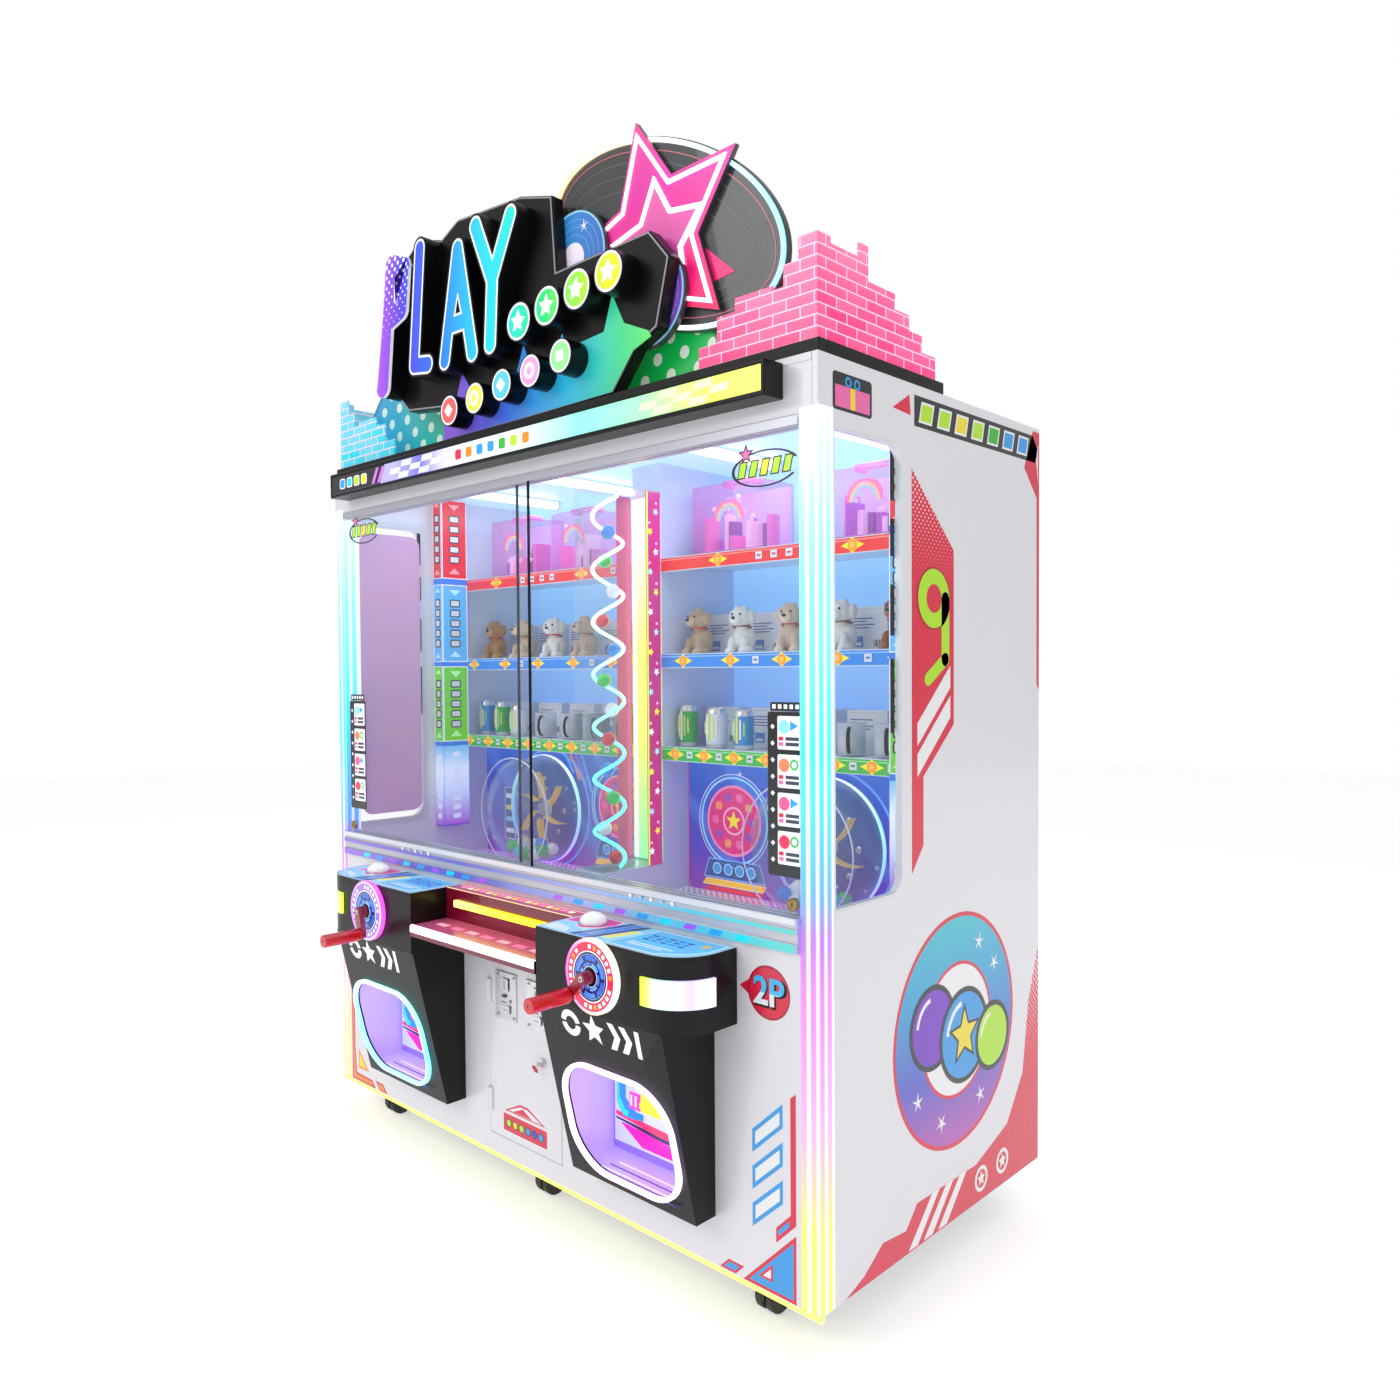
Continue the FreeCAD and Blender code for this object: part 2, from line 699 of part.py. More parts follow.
def caster_fork(x, y):
    """Stem, dark hood and axle. The wheel axle lies a little behind the stem."""
    axle_y = y + caster_trail
    z_axle = wheel_r
    top = base_z - 4 - 0.4
    stem = pole(stem_r, x, y, top - 12, base_z + 12)
    hood = block(x - 5, x + 5, y - 14, axle_y + 12, z_axle - 6, top)
    cap = pole(22, x, y, top - 8, top)
    axle = Part.makeCylinder(axle_r, wheel_gap + 2 * wheel_w + 2, V(x - wheel_w - wheel_gap / 2 - 1, axle_y, z_axle),
                             D(1, 0, 0))
    return stem.fuse(hood).fuse(cap).fuse(axle).removeSplitter()


def caster_wheel(x, y):
    out = []
    for sx in (-1, 1):
        x0 = x + wheel_gap / 2 if sx > 0 else x - wheel_gap / 2 - wheel_w
        centre = V(x0, y + caster_trail, wheel_r)
        tyre = Part.makeCylinder(wheel_r, wheel_w, centre, D(1, 0, 0))
        tyre = tyre.makeFillet(3, [e for e in tyre.Edges if e.Length > 2 * wheel_r])
        bore = Part.makeCylinder(axle_r + run_clear, wheel_w + 2, centre - D(1, 0, 0), D(1, 0, 0))
        out.append(tyre.cut(bore))
    return out


# ---------------------------------------------------------------- topper

def roof_trim():
    z1 = top_z + trim_h
    bars = [block(-half + 2, half - 2, 6, 34, top_z, z1)]
    bars += both(block(half - 22, half - 2, 34.2, 472, top_z, z1))
    for x in (-600, -150, 350):
        bars.append(block(x - 15, x + 15, dot_y + board_t, dot_y + board_t + 30, top_z, top_z + 260))
    return bars


def marquee_box():
    body = block(-865, 865, -60, 0, 1913, 1985)
    return body.cut(block(-855, 855, -61, -46, 1923, 1975))


def marquee_lens():
    return block(-854.5, 854.5, -58, -46, 1923.5, 1974.5)


def skyline():
    """Stepped city outline in clear sheet along the roof's corner, one sheet in front and one at the side."""
    z0 = top_z + trim_h
    front_steps = ((619, 2070), (672, 2124), (723, 2152), (825, 2143), (852, 2186), (890, 2232))
    ends = [s[0] for s in front_steps[1:]] + [938]
    pts = [(619, z0)]
    for (x0, h), x1 in zip(front_steps, ends):
        pts += [(x0, h), (x1, h)]
    pts.append((938, z0))
    front = plate(pts, 16, 22)
    side_steps = ((22.5, 2232), (60, 2218), (157, 2248), (190, 2177), (290, 2145), (345, 2112), (397, 2076))
    line = [V(half - 18, side_steps[0][0], z0)]
    ends = [s[0] for s in side_steps[1:]] + [453]
    for (y, h), y1 in zip(side_steps, ends):
        line += [V(half - 18, y, h), V(half - 18, y1, h)]
    line.append(V(half - 18, 453, z0))
    flank = Part.Face(Part.makePolygon(line + [line[0]])).extrude(D(6, 0, 0))
    return front, flank


def skyline_panels():
    front, flank = skyline()
    return both(front) + both(flank)


def dot_board():
    """Wide rounded board behind the sign."""
    left, right, z0 = -915.0, 590.0, top_z
    a = Part.makeLine(V(right, 0, z0), V(left, 0, z0))
    b = Part.makeLine(V(left, 0, z0), V(left, 0, 2190))
    c = Part.Arc(V(left, 0, 2190), V(-560, 0, 2440), V(-170, 0, 2500)).toShape()
    d = Part.Arc(V(-170, 0, 2500), V(380, 0, 2360), V(right, 0, 2120)).toShape()
    e = Part.makeLine(V(right, 0, 2120), V(right, 0, z0))
    face = Part.Face(Part.Wire([a, b, c, d, e]))
    out = face.extrude(D(0, board_t, 0))
    out.translate(D(0, dot_y, 0))
    return out


def star_points(cx, cz, r_out, r_in, turn):
    pts = []
    for n in range(10):
        r = r_out if n % 2 == 0 else r_in
        a = math.radians(turn + 36 * n)
        pts.append((cx + r * math.cos(a), cz + r * math.sin(a)))
    return pts


def sign_shapes():
    """Record disc, star and two ball discs behind the sign."""
    z_up = ground_gap
    star = plate(star_points(409, 2280 + z_up, 296, 150, 99.7), star_y, record_y)
    record = Part.Ellipse(D(0, 0, 0), 415, 205).toShape()
    record = Part.Face(Part.Wire([record])).extrude(D(0, 0, dot_y - record_y))
    record.rotate(D(0, 0, 0), D(1, 0, 0), 90)
    record.rotate(D(0, 0, 0), D(0, 1, 0), 27)
    record.translate(V(420, dot_y, 2302 + z_up))
    discs = [rod(118, 412, disc_y, star_y, 2147 + z_up), rod(122, 144, disc_y, star_y, 2305 + z_up)]
    return [star, record] + discs


def capsule(x0, z0, x1, z1, r, y0, y1):
    """A flat bar with round ends between two points."""
    length = math.hypot(x1 - x0, z1 - z0)
    angle = math.degrees(math.atan2(z1 - z0, x1 - x0))
    bar = block(x0, x0 + length, y0, y1, z0 - r, z0 + r)
    bar = turned(bar, V(x0, 0, z0), D(0, -1, 0), angle)
    return bar.fuse(rod(r, x0, y0, y1, z0)).fuse(rod(r, x1, y0, y1, z1)).removeSplitter()


def sign_strokes():
    """Middle lines of the sign's raised shapes: four tall ones, then a row of four, then a row of five."""
    return [
        [(-605, 2212, -560, 2548), (-560, 2548, -488, 2522), (-488, 2522, -502, 2412), (-502, 2412, -578, 2392)],
        [(-405, 2556, -440, 2240), (-440, 2240, -372, 2230)],
        [(-288, 2222, -222, 2505), (-222, 2505, -160, 2218), (-268, 2310, -180, 2308)],
        [(-140, 2540, -68, 2385), (10, 2525, -68, 2385), (-68, 2385, -80, 2222)],
    ]


def sign_letters():
    out = []
    for strokes in sign_strokes():
        shape = None
        for x0, z0, x1, z1 in strokes:
            piece = capsule(x0, z0, x1, z1, stroke_r, sign_front, sign_y)
            shape = piece if shape is None else shape.fuse(piece)
        out.append(shape.removeSplitter())
    return out


def sign_icons():
    """A row of three balls and a star, and the row of five small icons under them."""
    out = []
    for n in range(4):
        out.append(rod(50, 40 + n * 112, sign_front, sign_y, 2252 + 12 * n))
    for n in range(5):
        out.append(rod(42, -270 + n * 118, sign_front, sign_y, 2085 + 12 * n))
    return out


def sign_board():
    """Thick black body that carries the raised shapes."""
    pts = [(-640, 2215), (-655, 2330), (-600, 2560), (-500, 2622), (-380, 2590), (-300, 2622), (-20, 2598), (110, 2560),
           (125, 2370), (455, 2375), (520, 2300), (480, 2150), (410, 2120), (330, 2030), (-350, 2022), (-380, 2120),
           (-560, 2140)]
    return plate(pts, sign_y, disc_y)


def build():
    os.makedirs("parts", exist_ok=True)
    save("base_frame", base_frame())
    save("front_panel", front_panel())
    save("side_panels", both(side_panel()))
    save("corner_posts", both(corner_post()))
    save("side_windows", both(side_window()))
    save("back_panel", back_panel())
    save("power_inlet", power_inlet())
    save("roof_and_header", roof_and_header())
    save("window_rails", window_rails())
    save("display_floor", display_floor())
    save("inner_liner", inner_liner(), divider_wall())
    save("divider_case", divider_case())
    save("light_tubes", light_tubes())
    save("shelf_boards", shelf_boards())
    save("shelf_edges", shelf_edges())
    save("printed_boards", printed_boards(), side_light_boxes())
    save("drive_units", drive_units())
    save("game_balls", game_balls())
    save("prize_goods", prize_boxes(), prize_tins())
    save("prize_plush", prize_plush())
    save("console_pods", [console_pod("right"), console_pod("left")])
    save("console_decks", [console_deck("right"), console_deck("left")])
    save("front_lights", console_lights(), base_light_strip())
    save("delivery_chutes", both(delivery_chute()))
    save("dial_plates", both(dial_plate()))
    save("centre_shelf", centre_shelf())
    save("service_door", service_door())
    save("coin_acceptors", coin_acceptors())
    save("roof_trim", roof_trim())
    save("marquee_box", marquee_box())
    save("marquee_lens", marquee_lens())
    save("skyline_panels", skyline_panels())
    save("sign_dot_board", dot_board())
    save("sign_shapes", sign_shapes())
    save("sign_board", sign_board())
    save("sign_letters", sign_letters(), sign_icons())
    for name in ("left", "right"):
        save(f"glass_pane_{name}", glass_pane(name))
        arm, grip = crank_arm(name)
        save(f"crank_arm_{name}", arm)
        save(f"crank_grip_{name}", grip)
        shell, rim = drum(name)
        save(f"ball_drum_{name}", shell, rim)
        save(f"dome_button_{name}", dome_button(name))
        save(f"delivery_flap_{name}", delivery_flap(name))
    for row, y in zip(("front", "rear"), caster_ys):
        for place, x in zip(("left", "middle", "right"), caster_xs):
            save(f"caster_fork_{row}_{place}", caster_fork(x, y))
            save(f"caster_wheel_{row}_{place}", caster_wheel(x, y))


build()
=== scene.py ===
import json
import math
import random
import bpy
import bmesh
from mathutils import Matrix, Vector


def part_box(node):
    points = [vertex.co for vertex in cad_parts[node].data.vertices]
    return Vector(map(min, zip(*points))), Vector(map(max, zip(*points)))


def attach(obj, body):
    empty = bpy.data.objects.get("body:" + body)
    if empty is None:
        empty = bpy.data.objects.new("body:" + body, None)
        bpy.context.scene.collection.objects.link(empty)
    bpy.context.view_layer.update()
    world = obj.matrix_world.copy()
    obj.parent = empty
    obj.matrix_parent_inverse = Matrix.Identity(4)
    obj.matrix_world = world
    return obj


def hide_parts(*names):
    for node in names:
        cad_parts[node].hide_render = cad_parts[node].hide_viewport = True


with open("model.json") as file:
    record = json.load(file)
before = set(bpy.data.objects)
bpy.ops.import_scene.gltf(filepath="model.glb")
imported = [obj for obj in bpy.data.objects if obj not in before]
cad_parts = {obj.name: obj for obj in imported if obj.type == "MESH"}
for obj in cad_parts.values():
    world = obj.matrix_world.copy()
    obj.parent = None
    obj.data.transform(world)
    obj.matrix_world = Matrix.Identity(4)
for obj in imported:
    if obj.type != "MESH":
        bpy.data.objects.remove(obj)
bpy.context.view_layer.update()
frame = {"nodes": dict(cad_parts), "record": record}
nodes = frame["nodes"]
nodeBody = {n: b for b, ns in frame["record"]["behaviour"]["bodies"].items() for n in ns}
random.seed(11)
print("frame loaded:", len(nodes), "nodes")

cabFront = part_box("front_panel")[0][1]
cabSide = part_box("side_panels")[1][0]
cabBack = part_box("back_panel")[1][1]
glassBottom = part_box("window_rails")[0][2]


# drawing boards: u to the right, v up, w out of the surface

def board(origin, u, v):
    u, v = Vector(u).normalized(), Vector(v).normalized()
    m = Matrix((u, v, u.cross(v))).transposed().to_4x4()
    m.translation = Vector(origin)
    return m


frontBoard = board((0, cabFront, 0), (1, 0, 0), (0, 0, 1))
rightBoard = board((cabSide, cabFront, 0), (0, 1, 0), (0, 0, 1))
mirroredLeft = Matrix.Scale(-1, 4, (1, 0, 0)) @ rightBoard


def newShape():
    bm = bmesh.new()
    bm.loops.layers.float_color.new("ink")
    return bm


def paint(bm, faces, ink, slot=0):
    layer = bm.loops.layers.float_color["ink"]
    for f in faces:
        f.material_index = slot
        for corner in f.loops:
            corner[layer] = (ink[0], ink[1], ink[2], 1)


def thicken(bm, faces, low, high):
    # the faces lie at w = 0; they become a closed slab from low to high
    verts = list({v for f in faces for v in f.verts})
    bmesh.ops.translate(bm, verts=verts, vec=(0, 0, low))
    made = bmesh.ops.extrude_face_region(bm, geom=faces)
    tops = [g for g in made["geom"] if isinstance(g, bmesh.types.BMVert)]
    bmesh.ops.translate(bm, verts=tops, vec=(0, 0, high - low))


def insetBy(bm, faces, width):
    # border of one width round the faces; corners that would shoot away are held near their own corner
    rim = bmesh.ops.inset_region(bm, faces=faces, thickness=width, use_boundary=True,
                                 use_even_offset=True)["faces"]
    inside = {v for f in faces for v in f.verts}
    for v in inside:
        outer = [e.other_vert(v) for e in v.link_edges if e.other_vert(v) not in inside]
        if len(outer) == 1:
            step = v.co - outer[0].co
            if step.length > width * 2.6:
                v.co = outer[0].co + step.normalized() * width * 2.6
    return rim


def flat(bm, points, low, high, ink, slot=0, line=None, lineInk=None, lineSlot=None):
    # a printed patch with straight edges, and a border inside its edge if line is given
    verts = [bm.verts.new((p[0], p[1], 0)) for p in points]
    face = bm.faces.new(verts)
    face.normal_update()
    if face.normal.z < 0:
        face.normal_flip()
    faces = [face]
    if line:
        rim = insetBy(bm, [face], line)
        paint(bm, rim, lineInk, slot if lineSlot is None else lineSlot)
        faces += rim
    paint(bm, [face], ink, slot)
    thicken(bm, faces, low, high)


def rect(x0, x1, y0, y1):
    return [(x0, y0), (x1, y0), (x1, y1), (x0, y1)]


def ngon(cx, cy, r, count=40, squeeze=1.0, start=0.0):
    return [(cx + r * math.cos(start + 2 * math.pi * k / count),
             cy + squeeze * r * math.sin(start + 2 * math.pi * k / count))
            for k in range(count)]


def starPoints(cx, cy, big, small, turn=90):
    return [(cx + r * math.cos(math.radians(turn + 36 * k)), cy + r * math.sin(math.radians(turn + 36 * k)))
            for k in range(10) for r in [small if k % 2 else big]]


def softRect(cx, cy, w, h, r, count=6):
    out = []
    for sx, sy, a0 in ((1, 1, 0), (-1, 1, 90), (-1, -1, 180), (1, -1, 270)):
        for k in range(count + 1):
            a = math.radians(a0 + 90 * k / count)
            out.append((cx + sx * (w / 2 - r) + r * math.cos(a), cy + sy * (h / 2 - r) + r * math.sin(a)))
    return out


def disc(bm, cx, cy, r, low, high, ink, slot=0, count=40, **more):
    flat(bm, ngon(cx, cy, r, count), low, high, ink, slot, **more)


def ring(bm, cx, cy, inner, outer, low, high, ink, slot=0, a0=0.0, a1=360.0, steps=48, squeeze=1.0):
    # a band swept round its centre
    ends = [bm.verts.new((cx + r, cy, 0)) for r in (inner, outer)]
    edge = bm.edges.new(ends)
    bmesh.ops.rotate(bm, verts=ends, cent=(cx, cy, 0), matrix=Matrix.Rotation(math.radians(a0), 3, "Z"))
    full = abs(a1 - a0) >= 359.9
    bmesh.ops.spin(bm, geom=ends + [edge], cent=(cx, cy, 0), axis=(0, 0, 1), angle=math.radians(a1 - a0),
                   steps=max(3, int(steps * abs(a1 - a0) / 360)), use_merge=full)
    verts = {v for v in bm.verts if v.link_faces} & touched(ends)
    faces = list({f for v in verts for f in v.link_faces})
    if squeeze != 1.0:
        bmesh.ops.scale(bm, verts=list(verts), vec=(1, squeeze, 1), space=Matrix.Translation((-cx, -cy, 0)))
    for f in faces:
        f.normal_update()
        if f.normal.z < 0:
            f.normal_flip()
    paint(bm, faces, ink, slot)
    thicken(bm, faces, low, high)


def touched(seeds):
    # every vertex joined to the seeds
    seen, todo = set(seeds), list(seeds)
    while todo:
        for e in todo.pop().link_edges:
            for v in e.verts:
                if v not in seen:
                    seen.add(v)
                    todo.append(v)
    return seen


def stroke(bm, points, width, low, high, ink, slot=0):
    # a round-ended line
    for (ax, ay), (bx, by) in zip(points, points[1:]):
        a = math.atan2(by - ay, bx - ax)
        r = width / 2
        ends = [(bx + r * math.cos(a + math.radians(t)), by + r * math.sin(a + math.radians(t)))
                for t in range(-90, 91, 30)]
        ends += [(ax - r * math.cos(a + math.radians(t)), ay - r * math.sin(a + math.radians(t)))
                 for t in range(-90, 91, 30)]
        flat(bm, ends, low, high, ink, slot)


def brick(bm, x0, x1, y0, y1, z0, z1, ink, slot=0, ease=0.0, steps=2):
    made = bmesh.ops.create_cube(bm, size=1.0)["verts"]
    bmesh.ops.scale(bm, verts=made, vec=(x1 - x0, y1 - y0, z1 - z0))
    bmesh.ops.translate(bm, verts=made, vec=((x0 + x1) / 2, (y0 + y1) / 2, (z0 + z1) / 2))
    faces = list({f for v in made for f in v.link_faces})
    if ease:
        edges = list({e for v in made for e in v.link_edges})
        eased = bmesh.ops.bevel(bm, geom=edges, offset=ease, offset_type="OFFSET", segments=steps,
                                profile=0.5,
                                affect="EDGES", clamp_overlap=True, material=-1)
        for f in eased["faces"]:
            f.smooth = True
        faces = list({f for v in eased["verts"] for f in v.link_faces})
    paint(bm, faces, ink, slot)


def turnedShape(bm, profile, axisPoint, axisDir, ink, slot=0, steps=32):
    # profile is a list of (distance from the axis, place along it)
    axis = Vector(axisDir).normalized()
    side = axis.orthogonal().normalized()
    base = Vector(axisPoint)
    verts = [bm.verts.new(base + side * r + axis * t) for r, t in profile]
    edges = [bm.edges.new(pair) for pair in zip(verts, verts[1:])]
    bmesh.ops.spin(bm, geom=verts + edges, cent=base, axis=axis, angle=math.tau, steps=steps,
                   use_merge=True)
    joined = touched([v for v in verts if v.is_valid])
    bmesh.ops.remove_doubles(bm, verts=list(joined), dist=1e-6)
    joined = {v for v in joined if v.is_valid}
    faces = list({f for v in joined for f in v.link_faces})
    bmesh.ops.recalc_face_normals(bm, faces=faces)
    for f in faces:
        f.smooth = True
    for e in {e for f in faces for e in f.edges}:
        if len(e.link_faces) == 2 and e.calc_face_angle(0) > math.radians(35):
            e.smooth = False
    paint(bm, faces, ink, slot)


def keep(bm, name, mats, body="cabinet", matrix=None, replaces=(), recalc=True):
    # makes the finished object, in place, and lets it ride
    if matrix is not None:
        bm.transform(matrix)
    if recalc:
        bmesh.ops.recalc_face_normals(bm, faces=bm.faces[:])
    mesh = bpy.data.meshes.new(name)
    bm.to_mesh(mesh)
    bm.free()
    obj = bpy.data.objects.new(name, mesh)
    for m in mats if isinstance(mats, (list, tuple)) else [mats]:
        mesh.materials.append(m)
    bpy.context.scene.collection.objects.link(obj)
    if replaces:
        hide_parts(*replaces)
    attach(obj, body)
    return obj


def islands(node):
    # the boxes of a node's separate solids, as (low, high)
    bm = bmesh.new()
    bm.from_mesh(nodes[node].data)
    bmesh.ops.remove_doubles(bm, verts=bm.verts[:], dist=1e-6)
    left, out = set(bm.verts), []
    while left:
        group = touched([next(iter(left))])
        left -= group
        low = Vector([min(v.co[i] for v in group) for i in range(3)])
        high = Vector([max(v.co[i] for v in group) for i in range(3)])
        out.append((low, high))
    bm.free()
    return sorted(out, key=lambda b: tuple(round(c, 4) for c in b[0]))


def eased(node, width, mats, steps=2, angle=32, pick=None, slot=None):
    # a copy of a CAD piece with its sharp edges rounded; pick(face) gives the material number
    bm = bmesh.new()
    bm.from_mesh(nodes[node].data)
    bmesh.ops.remove_doubles(bm, verts=bm.verts[:], dist=1e-5)
    bmesh.ops.dissolve_limit(bm, angle_limit=math.radians(0.6), verts=bm.verts[:], edges=bm.edges[:])
    for f in bm.faces:
        low = [e for e in f.edges
               if e.is_manifold and math.radians(0.5) < e.calc_face_angle(0) < math.radians(angle)]
        f.smooth = len(low) >= 1
    sharp = [e for e in bm.edges if e.is_manifold and e.calc_face_angle(0) > math.radians(angle)]
    for e in sharp:
        e.smooth = False
    made = bmesh.ops.bevel(bm, geom=sharp, offset=width, offset_type="OFFSET", segments=steps, profile=0.5,
                           affect="EDGES", clamp_overlap=True, material=-1)["faces"]
    for f in made:
        f.smooth = True
    if pick:
        for f in bm.faces:
            f.material_index = pick(f)
    return keep(bm, node + "_shape", mats, nodeBody[node], replaces=(node,), recalc=False)


def dress(node, *mats):
    data = nodes[node].data
    data.materials.clear()
    for m in mats:
        data.materials.append(m)


# shader groups

def newGroup(name, inputs, outputs):
    tree = bpy.data.node_groups.new(name, "ShaderNodeTree")
    for label, kind, value in inputs:
        s = tree.interface.new_socket(name=label, in_out="INPUT", socket_type=kind)
        s.default_value = value
    for label, kind in outputs:
        tree.interface.new_socket(name=label, in_out="OUTPUT", socket_type=kind)
    gin = tree.nodes.new("NodeGroupInput")
    gout = tree.nodes.new("NodeGroupOutput")
    return tree, gin, gout


def addNode(tree, kind, settings=None, **links):
    # settings sets properties; links sets sockets, by value or by another node's output
    node = tree.nodes.new("ShaderNode" + kind)
    for key, value in (settings or {}).items():
        setattr(node, key, value)
    for key, value in links.items():
        socket = node.inputs[int(key[1:])] if key[0] == "i" and key[1:].isdigit() else node.inputs[key]
        if isinstance(value, bpy.types.NodeSocket):
            tree.links.new(value, socket)
        else:
            socket.default_value = value
    return node


def makeSurfaceGroup():
    # tone drift, fine mottling, smudged gloss and a faint bump for any painted, printed or moulded skin
    tree, gin, gout = newGroup("moulded skin",
                               [("Color", "NodeSocketColor", (1, 1, 1, 1)),
                                ("Roughness", "NodeSocketFloat", 0.3),
                                ("Drift", "NodeSocketFloat", 0.05), ("Smudge", "NodeSocketFloat", 0.1),
                                ("Grain Size", "NodeSocketFloat", 600.0),
                                ("Bump", "NodeSocketFloat", 0.03)],
                               [("Color", "NodeSocketColor"), ("Roughness", "NodeSocketFloat"),
                                ("Normal", "NodeSocketVector")])
    place = addNode(tree, "TexCoord").outputs["Object"]
    broad = addNode(tree, "TexNoise", Vector=place, Scale=2.6, Detail=3.0, Roughness=0.55)
    fine = addNode(tree, "TexNoise", Vector=place, Detail=2.0)
    tree.links.new(gin.outputs["Grain Size"], fine.inputs["Scale"])
    smear = addNode(tree, "TexNoise", Vector=place, Scale=9.0, Detail=5.0, Distortion=1.4)
    centred = addNode(tree, "Math", {"operation": "SUBTRACT"}, i0=broad.outputs["Fac"], i1=0.5)
    swing = addNode(tree, "Math", {"operation": "MULTIPLY"}, i0=centred.outputs[0])
    tree.links.new(gin.outputs["Drift"], swing.inputs[1])
    level = addNode(tree, "Math", {"operation": "ADD"}, i0=swing.outputs[0], i1=1.0)
    tone = addNode(tree, "VectorMath", {"operation": "SCALE"})
    tree.links.new(gin.outputs["Color"], tone.inputs[0])
    tree.links.new(level.outputs[0], tone.inputs["Scale"])
    tree.links.new(tone.outputs[0], gout.inputs["Color"])
    patch = addNode(tree, "Math", {"operation": "SUBTRACT"}, i0=smear.outputs["Fac"], i1=0.42)
    wipe = addNode(tree, "Math", {"operation": "MULTIPLY_ADD"}, i0=patch.outputs[0])
    tree.links.new(gin.outputs["Smudge"], wipe.inputs[1])
    tree.links.new(gin.outputs["Roughness"], wipe.inputs[2])
    tree.links.new(wipe.outputs[0], gout.inputs["Roughness"])
    bump = addNode(tree, "Bump", Distance=0.0006, Height=fine.outputs["Fac"])
    tree.links.new(gin.outputs["Bump"], bump.inputs["Strength"])
    tree.links.new(bump.outputs[0], gout.inputs["Normal"])
    return tree


def makeDotsGroup():
    # printed dots on a slanted square grid over two of the axes; the mask is 1 inside a dot
    tree, gin, gout = newGroup("printed dots",
                               [("Across", "NodeSocketFloat", 0.0), ("Up", "NodeSocketFloat", 0.0),
                                ("Pitch", "NodeSocketFloat", 0.01), ("Size", "NodeSocketFloat", 0.3)],
                               [("Mask", "NodeSocketFloat")])
    parts = []
    for sign in (1, -1):
        mix = addNode(tree, "Math", {"operation": "ADD" if sign > 0 else "SUBTRACT"})
        tree.links.new(gin.outputs["Across"], mix.inputs[0])
        tree.links.new(gin.outputs["Up"], mix.inputs[1])
        unit = addNode(tree, "Math", {"operation": "DIVIDE"}, i0=mix.outputs[0])
        tree.links.new(gin.outputs["Pitch"], unit.inputs[1])
        cell = addNode(tree, "Math", {"operation": "FRACT"}, i0=unit.outputs[0])
        mid = addNode(tree, "Math", {"operation": "SUBTRACT"}, i0=cell.outputs[0], i1=0.5)
        parts.append(addNode(tree, "Math", {"operation": "MULTIPLY"}, i0=mid.outputs[0],
                             i1=mid.outputs[0]).outputs[0])
    span = addNode(tree, "Math", {"operation": "ADD"}, i0=parts[0], i1=parts[1])
    away = addNode(tree, "Math", {"operation": "SQRT"}, i0=span.outputs[0])
    mask = addNode(tree, "Math", {"operation": "LESS_THAN"}, i0=away.outputs[0])
    tree.links.new(gin.outputs["Size"], mask.inputs[1])
    tree.links.new(mask.outputs[0], gout.inputs["Mask"])
    return tree


skinGroup = makeSurfaceGroup()
dotsGroup = makeDotsGroup()


def mixInks(tree, factor, first, second):
    # blends two colours; each input is a value or another node's output
    mixed = addNode(tree, "Mix", {"data_type": "RGBA"})
    for key, value in (("Factor", factor), ("A", first), ("B", second)):
        if isinstance(value, bpy.types.NodeSocket):
            tree.links.new(value, mixed.inputs[key])
        else:
            mixed.inputs[key].default_value = (*value[:3], 1)
    return mixed.outputs["Result"]


def addDots(tree, pitch, across, up, size):
    # the dots' mask over two directions; size is a value or another node's output
    dots = tree.nodes.new("ShaderNodeGroup")
    dots.node_tree = dotsGroup
    dots.inputs["Pitch"].default_value = pitch
    if isinstance(size, bpy.types.NodeSocket):
        tree.links.new(size, dots.inputs["Size"])
    else:
        dots.inputs["Size"].default_value = size
    tree.links.new(across, dots.inputs["Across"])
    tree.links.new(up, dots.inputs["Up"])
    return dots.outputs["Mask"]


def mapRange(tree, source, *ends):
    # ends are From Min, From Max, To Min and To Max, as far as given
    span = addNode(tree, "MapRange", i0=source)
    for key, value in zip(("From Min", "From Max", "To Min", "To Max"), ends):
        span.inputs[key].default_value = value
    return span.outputs[0]


def newMaterial(name, settings):
    mat = bpy.data.materials.new(name)
    mat.use_nodes = True
    shader = mat.node_tree.nodes["Principled BSDF"]
    for key, value in settings.items():
        shader.inputs[key].default_value = value
    return mat, mat.node_tree, shader


def wrapSkin(tree, shader, color, roughness, drift=0.05, smudge=0.1, grain=600.0, bump=0.03):
    # puts the skin group between a colour and the shader
    skin = tree.nodes.new("ShaderNodeGroup")
    skin.node_tree = skinGroup
    if isinstance(color, bpy.types.NodeSocket):
        tree.links.new(color, skin.inputs["Color"])
    else:
        skin.inputs["Color"].default_value = (*color[:3], 1)
    for key, value in (("Roughness", roughness), ("Drift", drift), ("Smudge", smudge),
                       ("Grain Size", grain), ("Bump", bump)):
        skin.inputs[key].default_value = value
    tree.links.new(skin.outputs["Color"], shader.inputs["Base Color"])
    tree.links.new(skin.outputs["Roughness"], shader.inputs["Roughness"])
    tree.links.new(skin.outputs["Normal"], shader.inputs["Normal"])
    return skin


def skinMaterial(name, color, roughness=0.3, settings=None, **more):
    mat, tree, shader = newMaterial(name, settings or {})
    wrapSkin(tree, shader, color, roughness, **more)
    mat.diffuse_color = (*color[:3], 1)
    return mat


